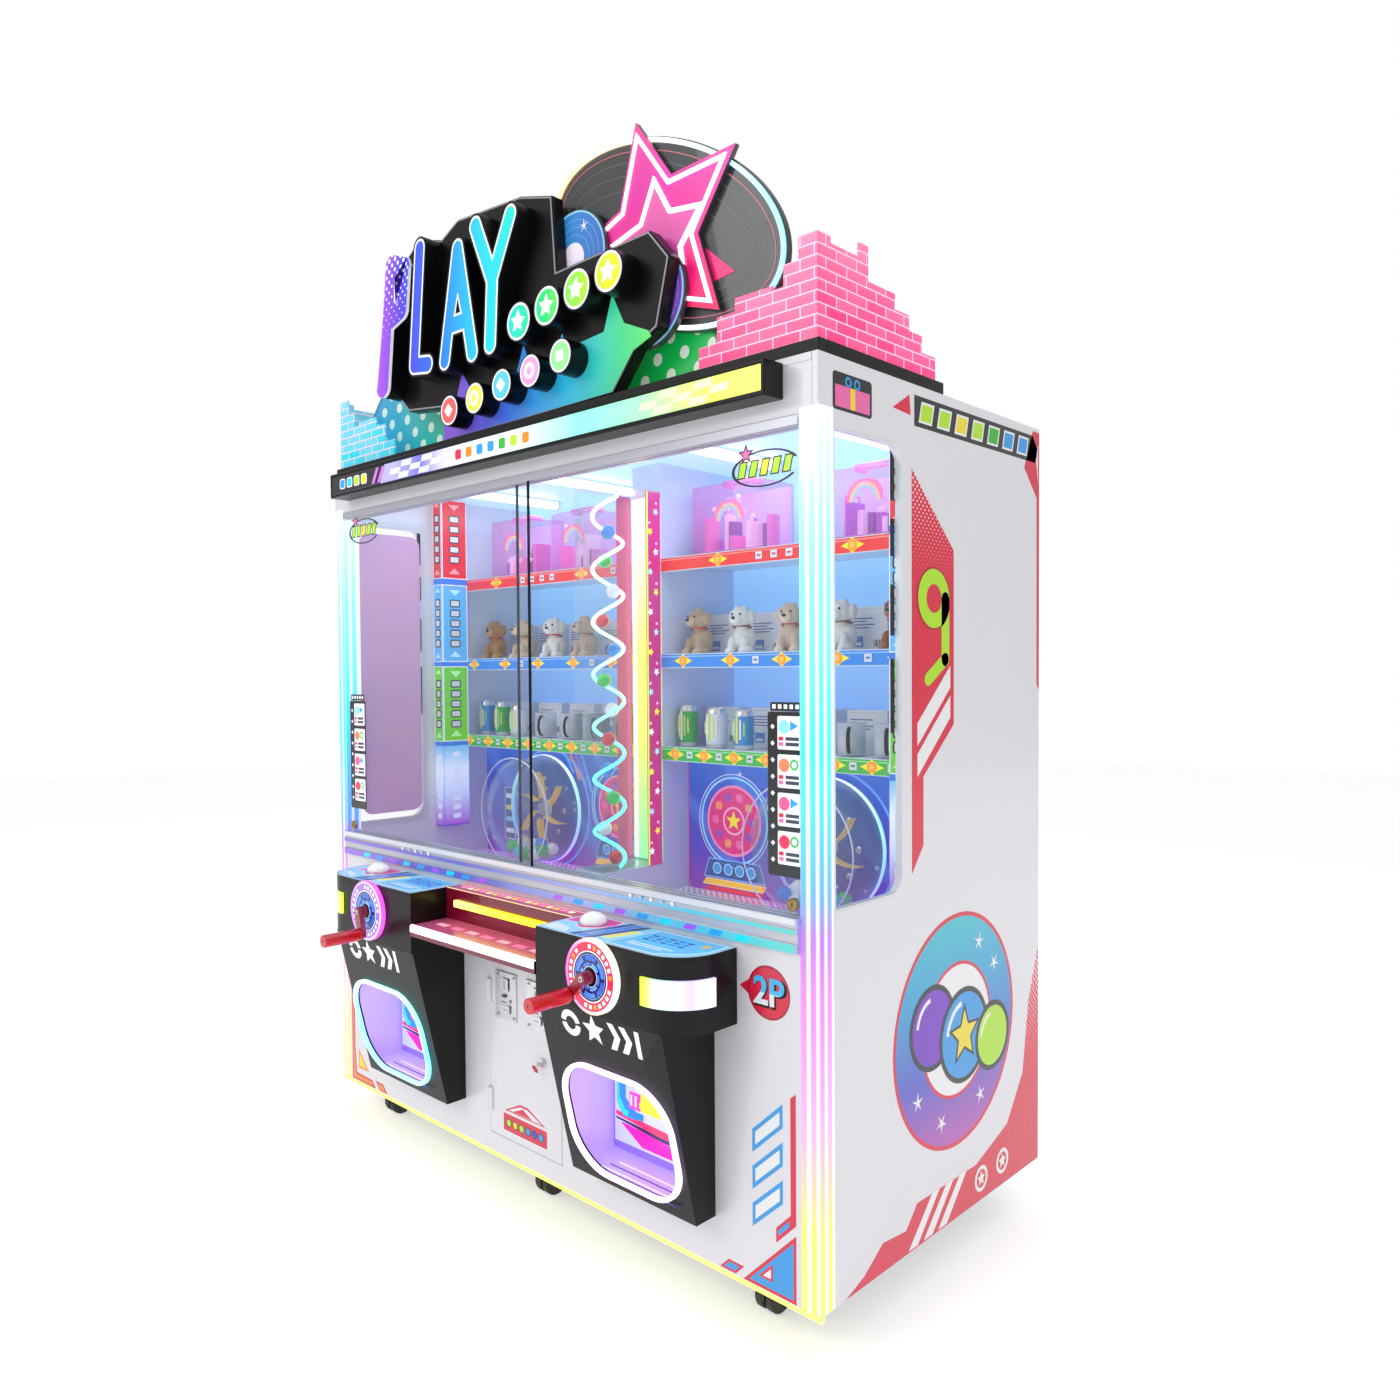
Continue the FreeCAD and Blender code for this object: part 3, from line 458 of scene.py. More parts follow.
def axisRamp(tree, axis, low, high, stops):
    # colour stops along one axis of the object, stops = [(place 0..1, colour)]
    place = addNode(tree, "TexCoord").outputs["Object"]
    parts = addNode(tree, "SeparateXYZ", Vector=place)
    ramp = addNode(tree, "ValToRGB", Fac=mapRange(tree, parts.outputs[axis], low, high))
    elements = ramp.color_ramp.elements
    while len(elements) < len(stops):
        elements.new(0.5)
    for e, (pos, color) in zip(elements, stops):
        e.position = pos
        e.color = (*color[:3], 1)
    return ramp.outputs["Color"], parts


def glowMaterial(name, axis, low, high, stops, strength, roughness=0.35, grain=400.0):
    # a lit diffuser whose colour runs along one axis
    mat, tree, shader = newMaterial(name, {"Emission Strength": strength, "Coat Weight": 0.3})
    color = axisRamp(tree, axis, low, high, stops)[0]
    skin = wrapSkin(tree, shader, color, roughness, drift=0.25, smudge=0.1, grain=grain, bump=0.05)
    tree.links.new(skin.outputs["Color"], shader.inputs["Emission Color"])
    return mat


def inkMaterial(name, roughness=0.28, glow=0.0, settings=None):
    # print whose colours come from the piece's own colour attribute
    mat, tree, shader = newMaterial(name, {"Coat Weight": 0.4, "Coat Roughness": 0.12,
                                           "Emission Strength": glow,
                                           **(settings or {})})
    ink = addNode(tree, "Attribute", {"attribute_name": "ink"})
    skin = wrapSkin(tree, shader, ink.outputs["Color"], roughness, drift=0.08, smudge=0.12, grain=900.0,
                    bump=0.02)
    if glow:
        tree.links.new(skin.outputs["Color"], shader.inputs["Emission Color"])
    return mat


def sheetMaterial(name, tint, clear=0.04, edge=0.5, roughness=0.03):
    # thin clear sheet: see-through face on, and denser where it is seen edge on
    mat, tree, shader = newMaterial(name, {"Coat Weight": 0.5, "Coat Roughness": 0.02})
    wrapSkin(tree, shader, tint, roughness, drift=0.05, smudge=0.05, grain=60.0, bump=0.004)
    facing = addNode(tree, "LayerWeight", Blend=0.28)
    tree.links.new(mapRange(tree, facing.outputs["Facing"], 0.35, 1.0, clear, edge), shader.inputs["Alpha"])
    return mat


# colours

white = (0.93, 0.93, 0.95)
black = (0.012, 0.012, 0.015)
red = (0.78, 0.008, 0.05)
deepRed = (0.42, 0.004, 0.02)
magenta = (0.85, 0.002, 0.24)
pink = (0.92, 0.16, 0.45)
skyBlue = (0.02, 0.36, 0.85)
paleBlue = (0.28, 0.66, 1.0)
cyan = (0.0, 0.72, 0.9)
blue = (0.01, 0.07, 0.68)
purple = (0.2, 0.02, 0.6)
violet = (0.42, 0.1, 0.9)
green = (0.03, 0.5, 0.02)
lime = (0.48, 0.85, 0.01)
yellow = (0.95, 0.78, 0.01)
orange = (1.0, 0.28, 0.0)


# materials

pearl = skinMaterial("pearlBoard", (0.83, 0.82, 0.86), 0.26, {"Coat Weight": 0.5, "Coat Roughness": 0.08},
                     drift=0.025, smudge=0.05, grain=260.0, bump=0.03)
blackGloss = skinMaterial("blackGloss", (0.003, 0.003, 0.004), 0.34,
                          {"Coat Weight": 0.12, "Coat Roughness": 0.12,
                          "Specular IOR Level": 0.22}, drift=0.3, smudge=0.15, grain=500.0, bump=0.03)
blackSatin = skinMaterial("blackSatin", (0.008, 0.008, 0.01), 0.42, {"Specular IOR Level": 0.3}, drift=0.3,
                          smudge=0.2, grain=900.0, bump=0.1)
steelBlack = skinMaterial("steelBlack", (0.025, 0.025, 0.028), 0.38, {"Metallic": 0.4}, drift=0.3,
                          grain=1500.0, bump=0.15)
railMetal = skinMaterial("railMetal", (0.62, 0.63, 0.7), 0.3, {"Metallic": 0.55}, drift=0.02, smudge=0.03,
                         grain=2400.0, bump=0.01)
brushedSteel = skinMaterial("brushedSteel", (0.72, 0.72, 0.74), 0.3, {"Metallic": 1.0, "Anisotropic": 0.5},
                            drift=0.12, smudge=0.25, grain=2600.0, bump=0.08)
gearMetal = skinMaterial("gearMetal", (0.2, 0.2, 0.22), 0.4, {"Metallic": 0.6}, drift=0.2, grain=1200.0,
                         bump=0.1)
shelfWhite = skinMaterial("shelfWhite", (0.86, 0.9, 0.97), 0.35, drift=0.05, grain=700.0, bump=0.03)
lavenderWall = skinMaterial("lavenderWall", (0.72, 0.76, 0.98), 0.32, {"Coat Weight": 0.2}, drift=0.06,
                            grain=300.0, bump=0.03)
crankRed = skinMaterial("crankRed", (0.33, 0.004, 0.018), 0.22,
                        {"Coat Weight": 0.8, "Coat Roughness": 0.06},
                        drift=0.15, smudge=0.15, grain=700.0, bump=0.06)
gripRed = skinMaterial("gripRed", (0.78, 0.006, 0.02), 0.2, {"Coat Weight": 0.6, "Coat Roughness": 0.08},
                       drift=0.1, smudge=0.2, grain=500.0, bump=0.05)
domeWhite = skinMaterial("domeWhite", (0.96, 0.95, 0.92), 0.15,
                         {"Coat Weight": 0.8, "Subsurface Weight": 0.2,
                         "Emission Color": (1, 0.98, 0.92, 1), "Emission Strength": 0.25}, drift=0.04,
                         grain=400.0, bump=0.02)
smokedFlap = sheetMaterial("smokedFlap", (0.4, 0.25, 0.85), 0.35, 0.7, 0.08)
# the chutes' lilac glow is painted light: they are no lamp
chuteLilac = skinMaterial("chuteLilac", (0.62, 0.5, 0.9), 0.3,
                          {"Emission Color": (0.55, 0.4, 0.95, 1), "Emission Strength": 0.35},
                          drift=0.15, smudge=0.2, grain=500.0, bump=0.05)
tyreBlack = skinMaterial("tyreBlack", (0.03, 0.03, 0.03), 0.62, drift=0.35, smudge=0.2, grain=1400.0,
                         bump=0.35)
printInk = inkMaterial("printInk")
litInk = inkMaterial("litInk", 0.3, 0.9)
softLitInk = inkMaterial("softLitInk", 0.3, 0.3)
paneGlass = sheetMaterial("paneGlass", (0.85, 0.92, 1.0), 0.03, 0.22)
drumGlass = sheetMaterial("drumGlass", (0.62, 0.86, 1.0), 0.09, 0.8)
mauveFilm = sheetMaterial("mauveFilm", (0.85, 0.5, 0.76), 0.86, 0.95, 0.12)
caseGlass = sheetMaterial("caseGlass", (0.8, 0.9, 1.0), 0.05, 0.5)
ledWhite = glowMaterial("ledWhite", "Z", 0.0, 2.0, [(0, (0.9, 0.95, 1)), (1, (1, 1, 1))], 2.5)


def makePostMaterial():
    # clear extrusion with a lit strip inside: bands along the height, bright cores across the width
    low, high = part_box("corner_posts")[0][2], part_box("corner_posts")[1][2]
    stops = [(0.0, (1.0, 0.72, 0.1)), (0.1, (1.0, 0.6, 0.12)), (0.2, (0.95, 0.35, 0.6)),
             (0.32, (0.75, 0.2, 0.95)),
             (0.42, (0.4, 0.15, 0.98)), (0.46, (0.1, 0.35, 1.0)), (0.62, (0.05, 0.75, 1.0)),
             (0.85, (0.3, 0.92, 1.0)),
             (1.0, (0.7, 0.97, 1.0))]
    mat, tree, shader = newMaterial("postAcrylic", {"Coat Weight": 1.0, "Coat Roughness": 0.03,
                                                    "Emission Strength": 0.6})
    color, parts = axisRamp(tree, "Z", low, high, stops)
    across = addNode(tree, "Math", {"operation": "ABSOLUTE"}, i0=parts.outputs["X"])
    both = addNode(tree, "Math", {"operation": "ADD"}, i0=across.outputs[0], i1=parts.outputs["Y"])
    wave = addNode(tree, "Math", {"operation": "MULTIPLY"}, i0=both.outputs[0], i1=2 * math.pi / 0.024)
    lobe = addNode(tree, "Math", {"operation": "SINE"}, i0=wave.outputs[0])
    lift = mapRange(tree, lobe.outputs[0], -0.2, 1.0, 0.0, 0.75)
    skin = wrapSkin(tree, shader, mixInks(tree, lift, color, (1, 1, 1)), 0.12, drift=0.1, smudge=0.05,
                    grain=200.0, bump=0.02)
    tree.links.new(skin.outputs["Color"], shader.inputs["Emission Color"])
    return mat


def makeLinerMaterial():
    # pale blue wall with a painted glow, painted brightest near the ceiling lamps
    mat, tree, shader = newMaterial("linerBlue", {"Emission Strength": 0.42, "Coat Weight": 0.2})
    color = axisRamp(tree, "Z", 0.75, 1.97, [(0, (0.3, 0.4, 0.92)), (0.35, (0.28, 0.52, 0.98)),
                                             (0.7, (0.3, 0.62, 1.0)),
                                             (1, (0.55, 0.85, 1.0))])[0]
    skin = wrapSkin(tree, shader, color, 0.35, drift=0.1, smudge=0.1, grain=300.0, bump=0.03)
    tree.links.new(skin.outputs["Color"], shader.inputs["Emission Color"])
    return mat


def makeFloorMaterial():
    # perforated pink and purple tray: its darker dots are painted shade in the holes, and the tray has a
    # faint painted glow
    mat, tree, shader = newMaterial("dottedFloor", {"Coat Weight": 0.3, "Emission Strength": 0.25})
    color, parts = axisRamp(tree, "X", -0.9, 0.9, [(0, (0.75, 0.55, 0.98)), (0.3, (0.95, 0.55, 0.85)),
                                                   (0.5, (0.6, 0.95, 0.8)),
                                                   (0.7, (0.95, 0.6, 0.85)), (1, (0.9, 0.6, 0.95))])
    mask = addDots(tree, 0.022, parts.outputs["X"], parts.outputs["Y"], 0.3)
    skin = wrapSkin(tree, shader, mixInks(tree, mask, color, (0.4, 0.03, 0.3)), 0.3, drift=0.1)
    tree.links.new(skin.outputs["Color"], shader.inputs["Emission Color"])
    return mat


def makeBrickMaterial():
    # pink or cyan clear sheet with an engraved, edge-lit brick pattern
    mat, tree, shader = newMaterial("skylineSheet",
                                    {"Emission Strength": 0.4, "Coat Weight": 0.3, "Alpha": 0.88})
    place = addNode(tree, "TexCoord").outputs["Object"]
    parts = addNode(tree, "SeparateXYZ", Vector=place)
    run = addNode(tree, "Math", {"operation": "ADD"}, i0=parts.outputs["X"], i1=parts.outputs["Y"])
    flatPlace = addNode(tree, "CombineXYZ", X=run.outputs[0], Y=parts.outputs["Z"])
    course = addNode(tree, "TexBrick", Vector=flatPlace.outputs[0])
    for key, value in (("Scale", 1.0), ("Mortar Size", 0.0016), ("Mortar Smooth", 0.2),
                       ("Brick Width", 0.07), ("Row Height", 0.023)):
        course.inputs[key].default_value = value
    course.inputs["Color1"].default_value = (0.0, 0.0, 0.0, 1)
    course.inputs["Color2"].default_value = (0.16, 0.16, 0.16, 1)
    course.inputs["Mortar"].default_value = (1, 1, 1, 1)
    rightSide = addNode(tree, "Math", {"operation": "GREATER_THAN"}, i0=parts.outputs["X"], i1=0.0)
    base = mixInks(tree, rightSide.outputs[0], (0.0, 0.6, 0.72), (0.88, 0.012, 0.2))
    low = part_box("skyline_panels")[0][2]
    lift = mapRange(tree, parts.outputs["Z"], low + 0.05, low + 0.3, 0.0, 0.28)
    faded = mixInks(tree, lift, base, (1, 0.75, 0.9))
    lines = mixInks(tree, course.outputs["Color"], faded, (1, 0.6, 0.82))
    skin = wrapSkin(tree, shader, lines, 0.2, drift=0.2, bump=0.02)
    tree.links.new(skin.outputs["Color"], shader.inputs["Emission Color"])
    return mat


def makePolkaMaterial():
    # green to blue board with white dots
    mat, tree, shader = newMaterial("polkaBoard", {"Coat Weight": 0.5, "Emission Strength": 0.2})
    color, parts = axisRamp(tree, "X", -0.92, 0.6, [(0, (0.03, 0.35, 0.75)), (0.25, (0.02, 0.5, 0.35)),
                                                    (0.6, (0.02, 0.45, 0.06)),
                                                    (1, (0.0, 0.55, 0.1))])
    mask = addDots(tree, 0.088, parts.outputs["X"], parts.outputs["Z"], 0.24)
    skin = wrapSkin(tree, shader, mixInks(tree, mask, color, (0.75, 0.9, 0.75)), 0.28, drift=0.15)
    tree.links.new(skin.outputs["Color"], shader.inputs["Emission Color"])
    return mat


postAcrylic = makePostMaterial()
linerBlue = makeLinerMaterial()
dottedFloor = makeFloorMaterial()
skylineSheet = makeBrickMaterial()
polkaBoard = makePolkaMaterial()
spiralGlow = glowMaterial("spiralGlow", "Z", 0.83, 1.9,
                          [(0, (0.1, 0.95, 0.75)), (0.25, (0.1, 0.9, 0.95)), (0.5, (0.35, 0.95, 0.9)),
                                                        (0.75, (0.8, 1, 1)), (1, (1, 1, 1))], 1.6)
print("materials ready")


# stage, light and camera

def makeStage():
    # pale floor and an even white sky
    bm = bmesh.new()
    bmesh.ops.create_circle(bm, cap_ends=True, segments=96, radius=14.0)
    mesh = bpy.data.meshes.new("stageFloor")
    bm.to_mesh(mesh)
    bm.free()
    floor = bpy.data.objects.new("stageFloor", mesh)
    mesh.materials.append(skinMaterial("stagePale", (0.94, 0.94, 0.95), 0.6,
                                       {"Emission Color": (1, 1, 1, 1), "Emission Strength": 0.5},
                                       drift=0.02, grain=40.0, bump=0.01))
    bpy.context.scene.collection.objects.link(floor)
    world = bpy.data.worlds.new("softSky")
    world.use_nodes = True
    sky = world.node_tree.nodes["Background"]
    sky.inputs["Color"].default_value = (1, 1, 1, 1)
    seen = addNode(world.node_tree, "LightPath").outputs["Is Camera Ray"]
    world.node_tree.links.new(mapRange(world.node_tree, seen, 0.0, 1.0, 0.5, 1.0), sky.inputs["Strength"])
    bpy.context.scene.world = world


def softLight(name, spot, target, size, power, tint=(1, 1, 1)):
    lamp = bpy.data.lights.new(name, "AREA")
    lamp.shape = "RECTANGLE"
    lamp.size, lamp.size_y = size
    lamp.energy = power
    lamp.color = tint
    obj = bpy.data.objects.new(name, lamp)
    obj.location = spot
    obj.rotation_euler = (Vector(target) - Vector(spot)).to_track_quat("-Z", "Y").to_euler()
    bpy.context.scene.collection.objects.link(obj)


cameraPlace = {"at": (2.1878, -1.9652, 1.3718), "yaw": 43.33, "pitch": 1.46, "roll": -0.35, "lens": 27.12}


def makeCamera():
    yaw, pitch, roll = (math.radians(cameraPlace[k]) for k in ("yaw", "pitch", "roll"))
    ahead = Vector((-math.sin(yaw) * math.cos(pitch), math.cos(yaw) * math.cos(pitch), -math.sin(pitch)))
    right = Vector((math.cos(yaw), math.sin(yaw), 0))
    up = right.cross(ahead)
    r = math.cos(roll) * right + math.sin(roll) * up
    u = -math.sin(roll) * right + math.cos(roll) * up
    data = bpy.data.cameras.new("viewCamera")
    data.sensor_width = 36
    data.lens = cameraPlace["lens"]
    data.clip_end = 100
    cam = bpy.data.objects.new("viewCamera", data)
    m = Matrix((r, u, -ahead)).transposed().to_4x4()
    m.translation = Vector(cameraPlace["at"])
    cam.matrix_world = m
    bpy.context.scene.collection.objects.link(cam)
    bpy.context.scene.camera = cam


makeStage()
makeCamera()
softLight("keyLight", (-1.5, -5.0, 4.2), (0, 0, 1.2), (3.5, 3.0), 85)
softLight("sideLight", (5.5, -1.0, 3.6), (0.5, 0.2, 1.1), (3.0, 3.0), 28)
softLight("backLight", (0.0, 5.0, 3.5), (0, 0.2, 1.3), (4.0, 2.5), 50)
bpy.context.scene.view_settings.view_transform = "Standard"
print("stage ready")


# cabinet

eased("front_panel", 0.0012, pearl)
eased("side_panels", 0.0015, pearl)
eased("back_panel", 0.0012, pearl)
eased("roof_and_header", 0.0012, pearl)
eased("service_door", 0.0012, pearl)
eased("corner_posts", 0.0015, postAcrylic)
eased("base_frame", 0.001, steelBlack)
eased("roof_trim", 0.002, blackSatin)
eased("console_pods", 0.004, blackGloss, steps=3)
eased("divider_case", 0.0012, caseGlass)
eased("drive_units", 0.003, gearMetal)
eased("skyline_panels", 0.0012, skylineSheet)
eased("power_inlet", 0.0008, blackSatin)
eased("shelf_boards", 0.001, shelfWhite)
dress("side_windows", paneGlass)
dress("display_floor", dottedFloor)
dress("delivery_chutes", chuteLilac)
dress("light_tubes", spiralGlow)

cabinetArt = {"thick": 0.0006}


def makeVents():
    # pressed louvre lips under each slot of the back panel, and screws round its edge
    bm = newShape()
    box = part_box("back_panel")
    y = box[1][1]
    for bank in (-0.45, 0.45):
        for row in range(8):
            z = 0.3 + row * 0.026
            brick(bm, bank - 0.108, bank + 0.108, y - 0.0005, y + 0.0035, z + 0.0085, z + 0.0125, white,
                  ease=0.0012)
    for x in (-0.9, -0.3, 0.3, 0.9):
        for z in (0.13, 0.7, 1.3, 1.93):
            turnedShape(bm, [(0, 0.0028), (0.003, 0.0028), (0.0062, 0.0016), (0.007, 0), (0, 0)], (x, y, z),
                        (0, 1, 0), white, 1, 20)
    keep(bm, "backLouvres", [pearl, brushedSteel])
    pins = newShape()
    low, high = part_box("power_inlet")
    mid = (Vector(low) + Vector(high)) / 2
    for dx in (-0.007, 0, 0.007):
        brick(pins, mid.x + dx - 0.001, mid.x + dx + 0.001, high[1] - 0.0178, high[1] - 0.004,
              mid.z - 0.002 + (0.003 if dx == 0 else -0.001),
              mid.z + 0.002 + (0.003 if dx == 0 else -0.001), white, ease=0.0004)
    keep(pins, "inletPins", brushedSteel)


def sideArt(side):
    # the printed side: slanted red panel with dots, stripes, a round badge and a red corner
    bm = newShape()
    t = cabinetArt["thick"]
    back = cabBack - cabFront

    def patch(points, ink, level=0, **more):
        flat(bm, points, t * level * 0.5, t * (level + 1) * 0.5, ink, **more)

    patch([(0.334, 1.812), (0.512, 1.648), (0.512, 1.251), (0.381, 1.14), (0.381, 0.988), (0.334, 0.93)],
          red, slot=1)
    for low in (1.141, 1.209):
        patch([(0.356, low + 0.05), (0.496, low + 0.176), (0.496, low + 0.126), (0.356, low)], white, 1)
    ring(bm, 0.425, 1.535, 0.032, 0.066, t, t * 1.5, lime)
    stroke(bm, [(0.474, 1.535), (0.474, 1.4)], 0.034, t, t * 1.5, lime)
    stroke(bm, [(0.474, 1.4), (0.4, 1.355)], 0.03, t, t * 1.5, lime)
    ring(bm, 0.425, 1.535, 0.066, 0.07, t, t * 1.5, deepRed)
    patch([(0.907, 1.984), (back - 0.002, 1.984), (back - 0.002, 1.322), (0.931, 1.338), (0.929, 1.816),
           (0.86, 1.885)], red)
    patch([(0.925, 1.91), (back - 0.01, 1.955), (back - 0.01, 1.88), (0.938, 1.85)], white, 1)
    patch([(0.26, 1.93), (0.325, 1.968), (0.33, 1.925)], red)
    patch([(0.084, 0.097), (0.15, 0.118), (0.219, 0.16), (0.309, 0.15), (0.354, 0.195), (0.617, 0.19),
           (0.773, 0.24),
           (0.856, 0.345), (0.889, 0.526), (back - 0.002, 0.66), (back - 0.002, 0.097)], red, slot=2)
    for k in range(3):
        x = 0.318 + 0.062 * k
        patch([(x, 0.101), (x + 0.038, 0.101), (x + 0.132, 0.196), (x + 0.1, 0.196)], white, 1)
    for x, z in ((0.641, 0.149), (0.747, 0.156)):
        ring(bm, x, z, 0.022, 0.031, t, t * 1.4, white)
        flat(bm, starPoints(x, z, 0.019, 0.009), t, t * 1.4, white)
    # title plate: a lettering-free bar of chunky blocks with a black edge
    inks = (lime, lime, yellow, lime, green, skyBlue, skyBlue)
    flat(bm, [(0.345, 1.905), (0.345, 1.972), (0.905, 1.972), (0.935, 1.94), (0.92, 1.905)], 0, t * 0.5,
         black)
    for k, ink in enumerate(inks):
        x = 0.362 + 0.076 * k
        flat(bm, [(x, 1.915), (x + 0.012, 1.962), (x + 0.066, 1.962), (x + 0.054, 1.915)], t * 0.5, t, ink,
             line=0.005, lineInk=white)
    # small corner mark: a parcel with a bow
    flat(bm, softRect(0.115, 1.928, 0.135, 0.075, 0.008), 0, t * 0.5, black)
    flat(bm, [(0.055, 1.897), (0.055, 1.94), (0.175, 1.94), (0.175, 1.897)], t * 0.5, t, pink)
    flat(bm, [(0.107, 1.897), (0.107, 1.94), (0.123, 1.94), (0.123, 1.897)], t, t * 1.3, yellow)
    ring(bm, 0.1, 1.95, 0.006, 0.011, t * 0.5, t, skyBlue)
    ring(bm, 0.13, 1.95, 0.006, 0.011, t * 0.5, t, skyBlue)
    # round badge: outer red line, blue to purple ring, white middle, three balls and a star
    cx, cz = 0.53, 0.54
    ring(bm, cx, cz, 0.262, 0.272, 0, t * 0.6, red, steps=72)
    ring(bm, cx, cz, 0.158, 0.262, 0, t * 0.6, skyBlue, slot=3, steps=72)
    ring(bm, cx, cz, 0.15, 0.158, 0, t * 0.6, red, steps=72)
    disc(bm, cx, cz, 0.15, 0, t * 0.5, white, count=64)
    for a in (35, 62, 215, 250, 300):
        x, z = cx + 0.212 * math.cos(math.radians(a)), cz + 0.212 * math.sin(math.radians(a))
        flat(bm, starPoints(x, z, 0.024, 0.006, 90 + a), t * 0.6, t, white)
    for k, (dx, dz, r, ink) in enumerate(((-0.11, 0.03, 0.085, purple), (0.03, -0.02, 0.1, skyBlue),
                                          (0.165, -0.055, 0.072, lime))):
        ring(bm, cx + dx, cz + dz, r, r + 0.012, t * (1 + 0.35 * k), t * (1.5 + 0.35 * k), black)
        disc(bm, cx + dx, cz + dz, r, t * (1 + 0.35 * k), t * (1.4 + 0.35 * k), ink)
        ring(bm, cx + dx, cz + dz, r * 0.72, r * 0.84, t * (1.4 + 0.35 * k), t * (1.6 + 0.35 * k), white,
             a0=100, a1=170, steps=60)
    flat(bm, starPoints(cx + 0.03, cz - 0.02, 0.075, 0.034), t * 1.75, t * 2.1, yellow, line=0.006,
         lineInk=black)
    keep(bm, "sideArt_" + side, [printInk, dottedRed, dottedCorner, badgeFade],
         matrix=(rightBoard if side == "right" else mirroredLeft))


def dottedPrint(name, ink, dotInk, axis, fadeLow, fadeHigh, pitch):
    # flat ink with pale dots that shrink along the height
    mat, tree, shader = newMaterial(name, {"Coat Weight": 0.4, "Coat Roughness": 0.12})
    place = addNode(tree, "TexCoord").outputs["Object"]
    parts = addNode(tree, "SeparateXYZ", Vector=place)
    size = mapRange(tree, parts.outputs["Z"], fadeLow, fadeHigh, 0.0, 0.36)
    mask = addDots(tree, pitch, parts.outputs[axis], parts.outputs["Z"], size)
    wrapSkin(tree, shader, mixInks(tree, mask, ink, dotInk), 0.28, drift=0.08, smudge=0.12, grain=900.0,
             bump=0.02)
    return mat


def fadePrint(name, axis, low, high, stops, glow=0.0):
    # print whose colour runs along one axis, lit from behind if glow is given
    mat, tree, shader = newMaterial(name, {"Coat Weight": 0.4, "Coat Roughness": 0.12,
                                           "Emission Strength": glow})
    color = axisRamp(tree, axis, low, high, stops)[0]
    skin = wrapSkin(tree, shader, color, 0.28, drift=0.08, smudge=0.12, grain=900.0, bump=0.02)
    if glow:
        tree.links.new(skin.outputs["Color"], shader.inputs["Emission Color"])
    return mat


dottedRed = dottedPrint("dottedRed", red, (0.98, 0.8, 0.82), "Y", 1.55, 1.85, 0.016)
dottedCorner = dottedPrint("dottedCorner", red, (0.98, 0.8, 0.82), "Y", 0.32, 0.6, 0.016)
badgeFade = fadePrint("badgeFade", "Z", 0.27, 0.81,
                      [(0, (0.55, 0.1, 0.5)), (0.35, (0.1, 0.12, 0.65)), (0.7, (0.03, 0.4, 0.75)),
                                                     (1, (0.05, 0.6, 0.7))])
sideArt("right")
sideArt("left")
makeVents()
print("cabinet sides printed")


def frontArt():
    # bubbles, outlined slats, corner triangles and the sticker on the door
    bm = newShape()
    t = cabinetArt["thick"]

    def patch(points, ink, level=0, sign=1, **more):
        flat(bm, [(sign * u, v) for u, v in points], t * level * 0.5, t * (level + 1) * 0.5, ink, **more)

    for k in range(3):
        z = 0.078 * k
        patch([(0.774, 0.219 + z), (0.774, 0.268 + z), (0.855, 0.342 + z), (0.855, 0.293 + z)], white,
              line=0.008, lineInk=skyBlue)
    patch([(0.875, 0.515), (0.889, 0.527), (0.889, 0.259), (0.837, 0.207), (0.837, 0.238), (0.875, 0.276)],
          red)
    patch([(0.843, 0.223), (0.843, 0.235), (0.872, 0.264), (0.872, 0.252)], skyBlue, 1)
    patch([(0.748, 0.098), (0.889, 0.239), (0.889, 0.098)], skyBlue, line=0.007, lineInk=red)
    patch([(0.79, 0.121), (0.828, 0.159), (0.828, 0.121)], white, 1, line=0.005, lineInk=red)
    patch([(0.682, 0.1), (0.706, 0.124), (0.75, 0.124), (0.726, 0.1)], skyBlue, line=0.005, lineInk=red)
    patch([(0.872, 0.52), (0.889, 0.54), (0.889, 0.098), (0.748, 0.098), (0.77, 0.12), (0.862, 0.122),
           (0.872, 0.2)],
          orange, 0, -1, line=0.006, lineInk=red)
    patch([(0.79, 0.14), (0.85, 0.2), (0.85, 0.14)], yellow, 0, -1, line=0.006, lineInk=orange)
    patch([(0.682, 0.1), (0.706, 0.124), (0.75, 0.124), (0.726, 0.1)], orange, 0, -1, line=0.005,
          lineInk=red)
    # speech bubbles behind the player numbers
    for sign, ink in ((1, red), (-1, magenta)):
        cx = 0.82 * sign
        patchPoints = [(cx - sign * 0.078, 0.72), (cx - sign * 0.045, 0.742)]
        flat(bm, ngon(cx, 0.718, 0.056, 36), 0, t * 0.5, ink, line=0.004, lineInk=deepRed)
        flat(bm, patchPoints + [(cx - sign * 0.045, 0.7)], 0, t * 0.45, ink)
    keep(bm, "frontArt", printInk, matrix=frontBoard)
    door = newShape()
    flat(door, softRect(0, 0.191, 0.19, 0.052, 0.008), 0, t * 0.5, red, line=0.003, lineInk=white)
    flat(door, [(-0.085, 0.222), (-0.02, 0.252), (0.012, 0.252), (0.085, 0.222)], 0, t * 0.5, white,
         line=0.006, lineInk=red)
    flat(door, [(-0.05, 0.226), (-0.008, 0.243), (0.03, 0.226)], t * 0.5, t, red)
    for k in range(6):
        flat(door, ngon(-0.068 + 0.027 * k, 0.191, 0.0115, 24), t * 0.5, t,
             (lime, yellow, lime, skyBlue, blue, skyBlue)[k],
             line=0.0025, lineInk=black)
    keep(door, "doorSticker", printInk, "service_door", frontBoard)


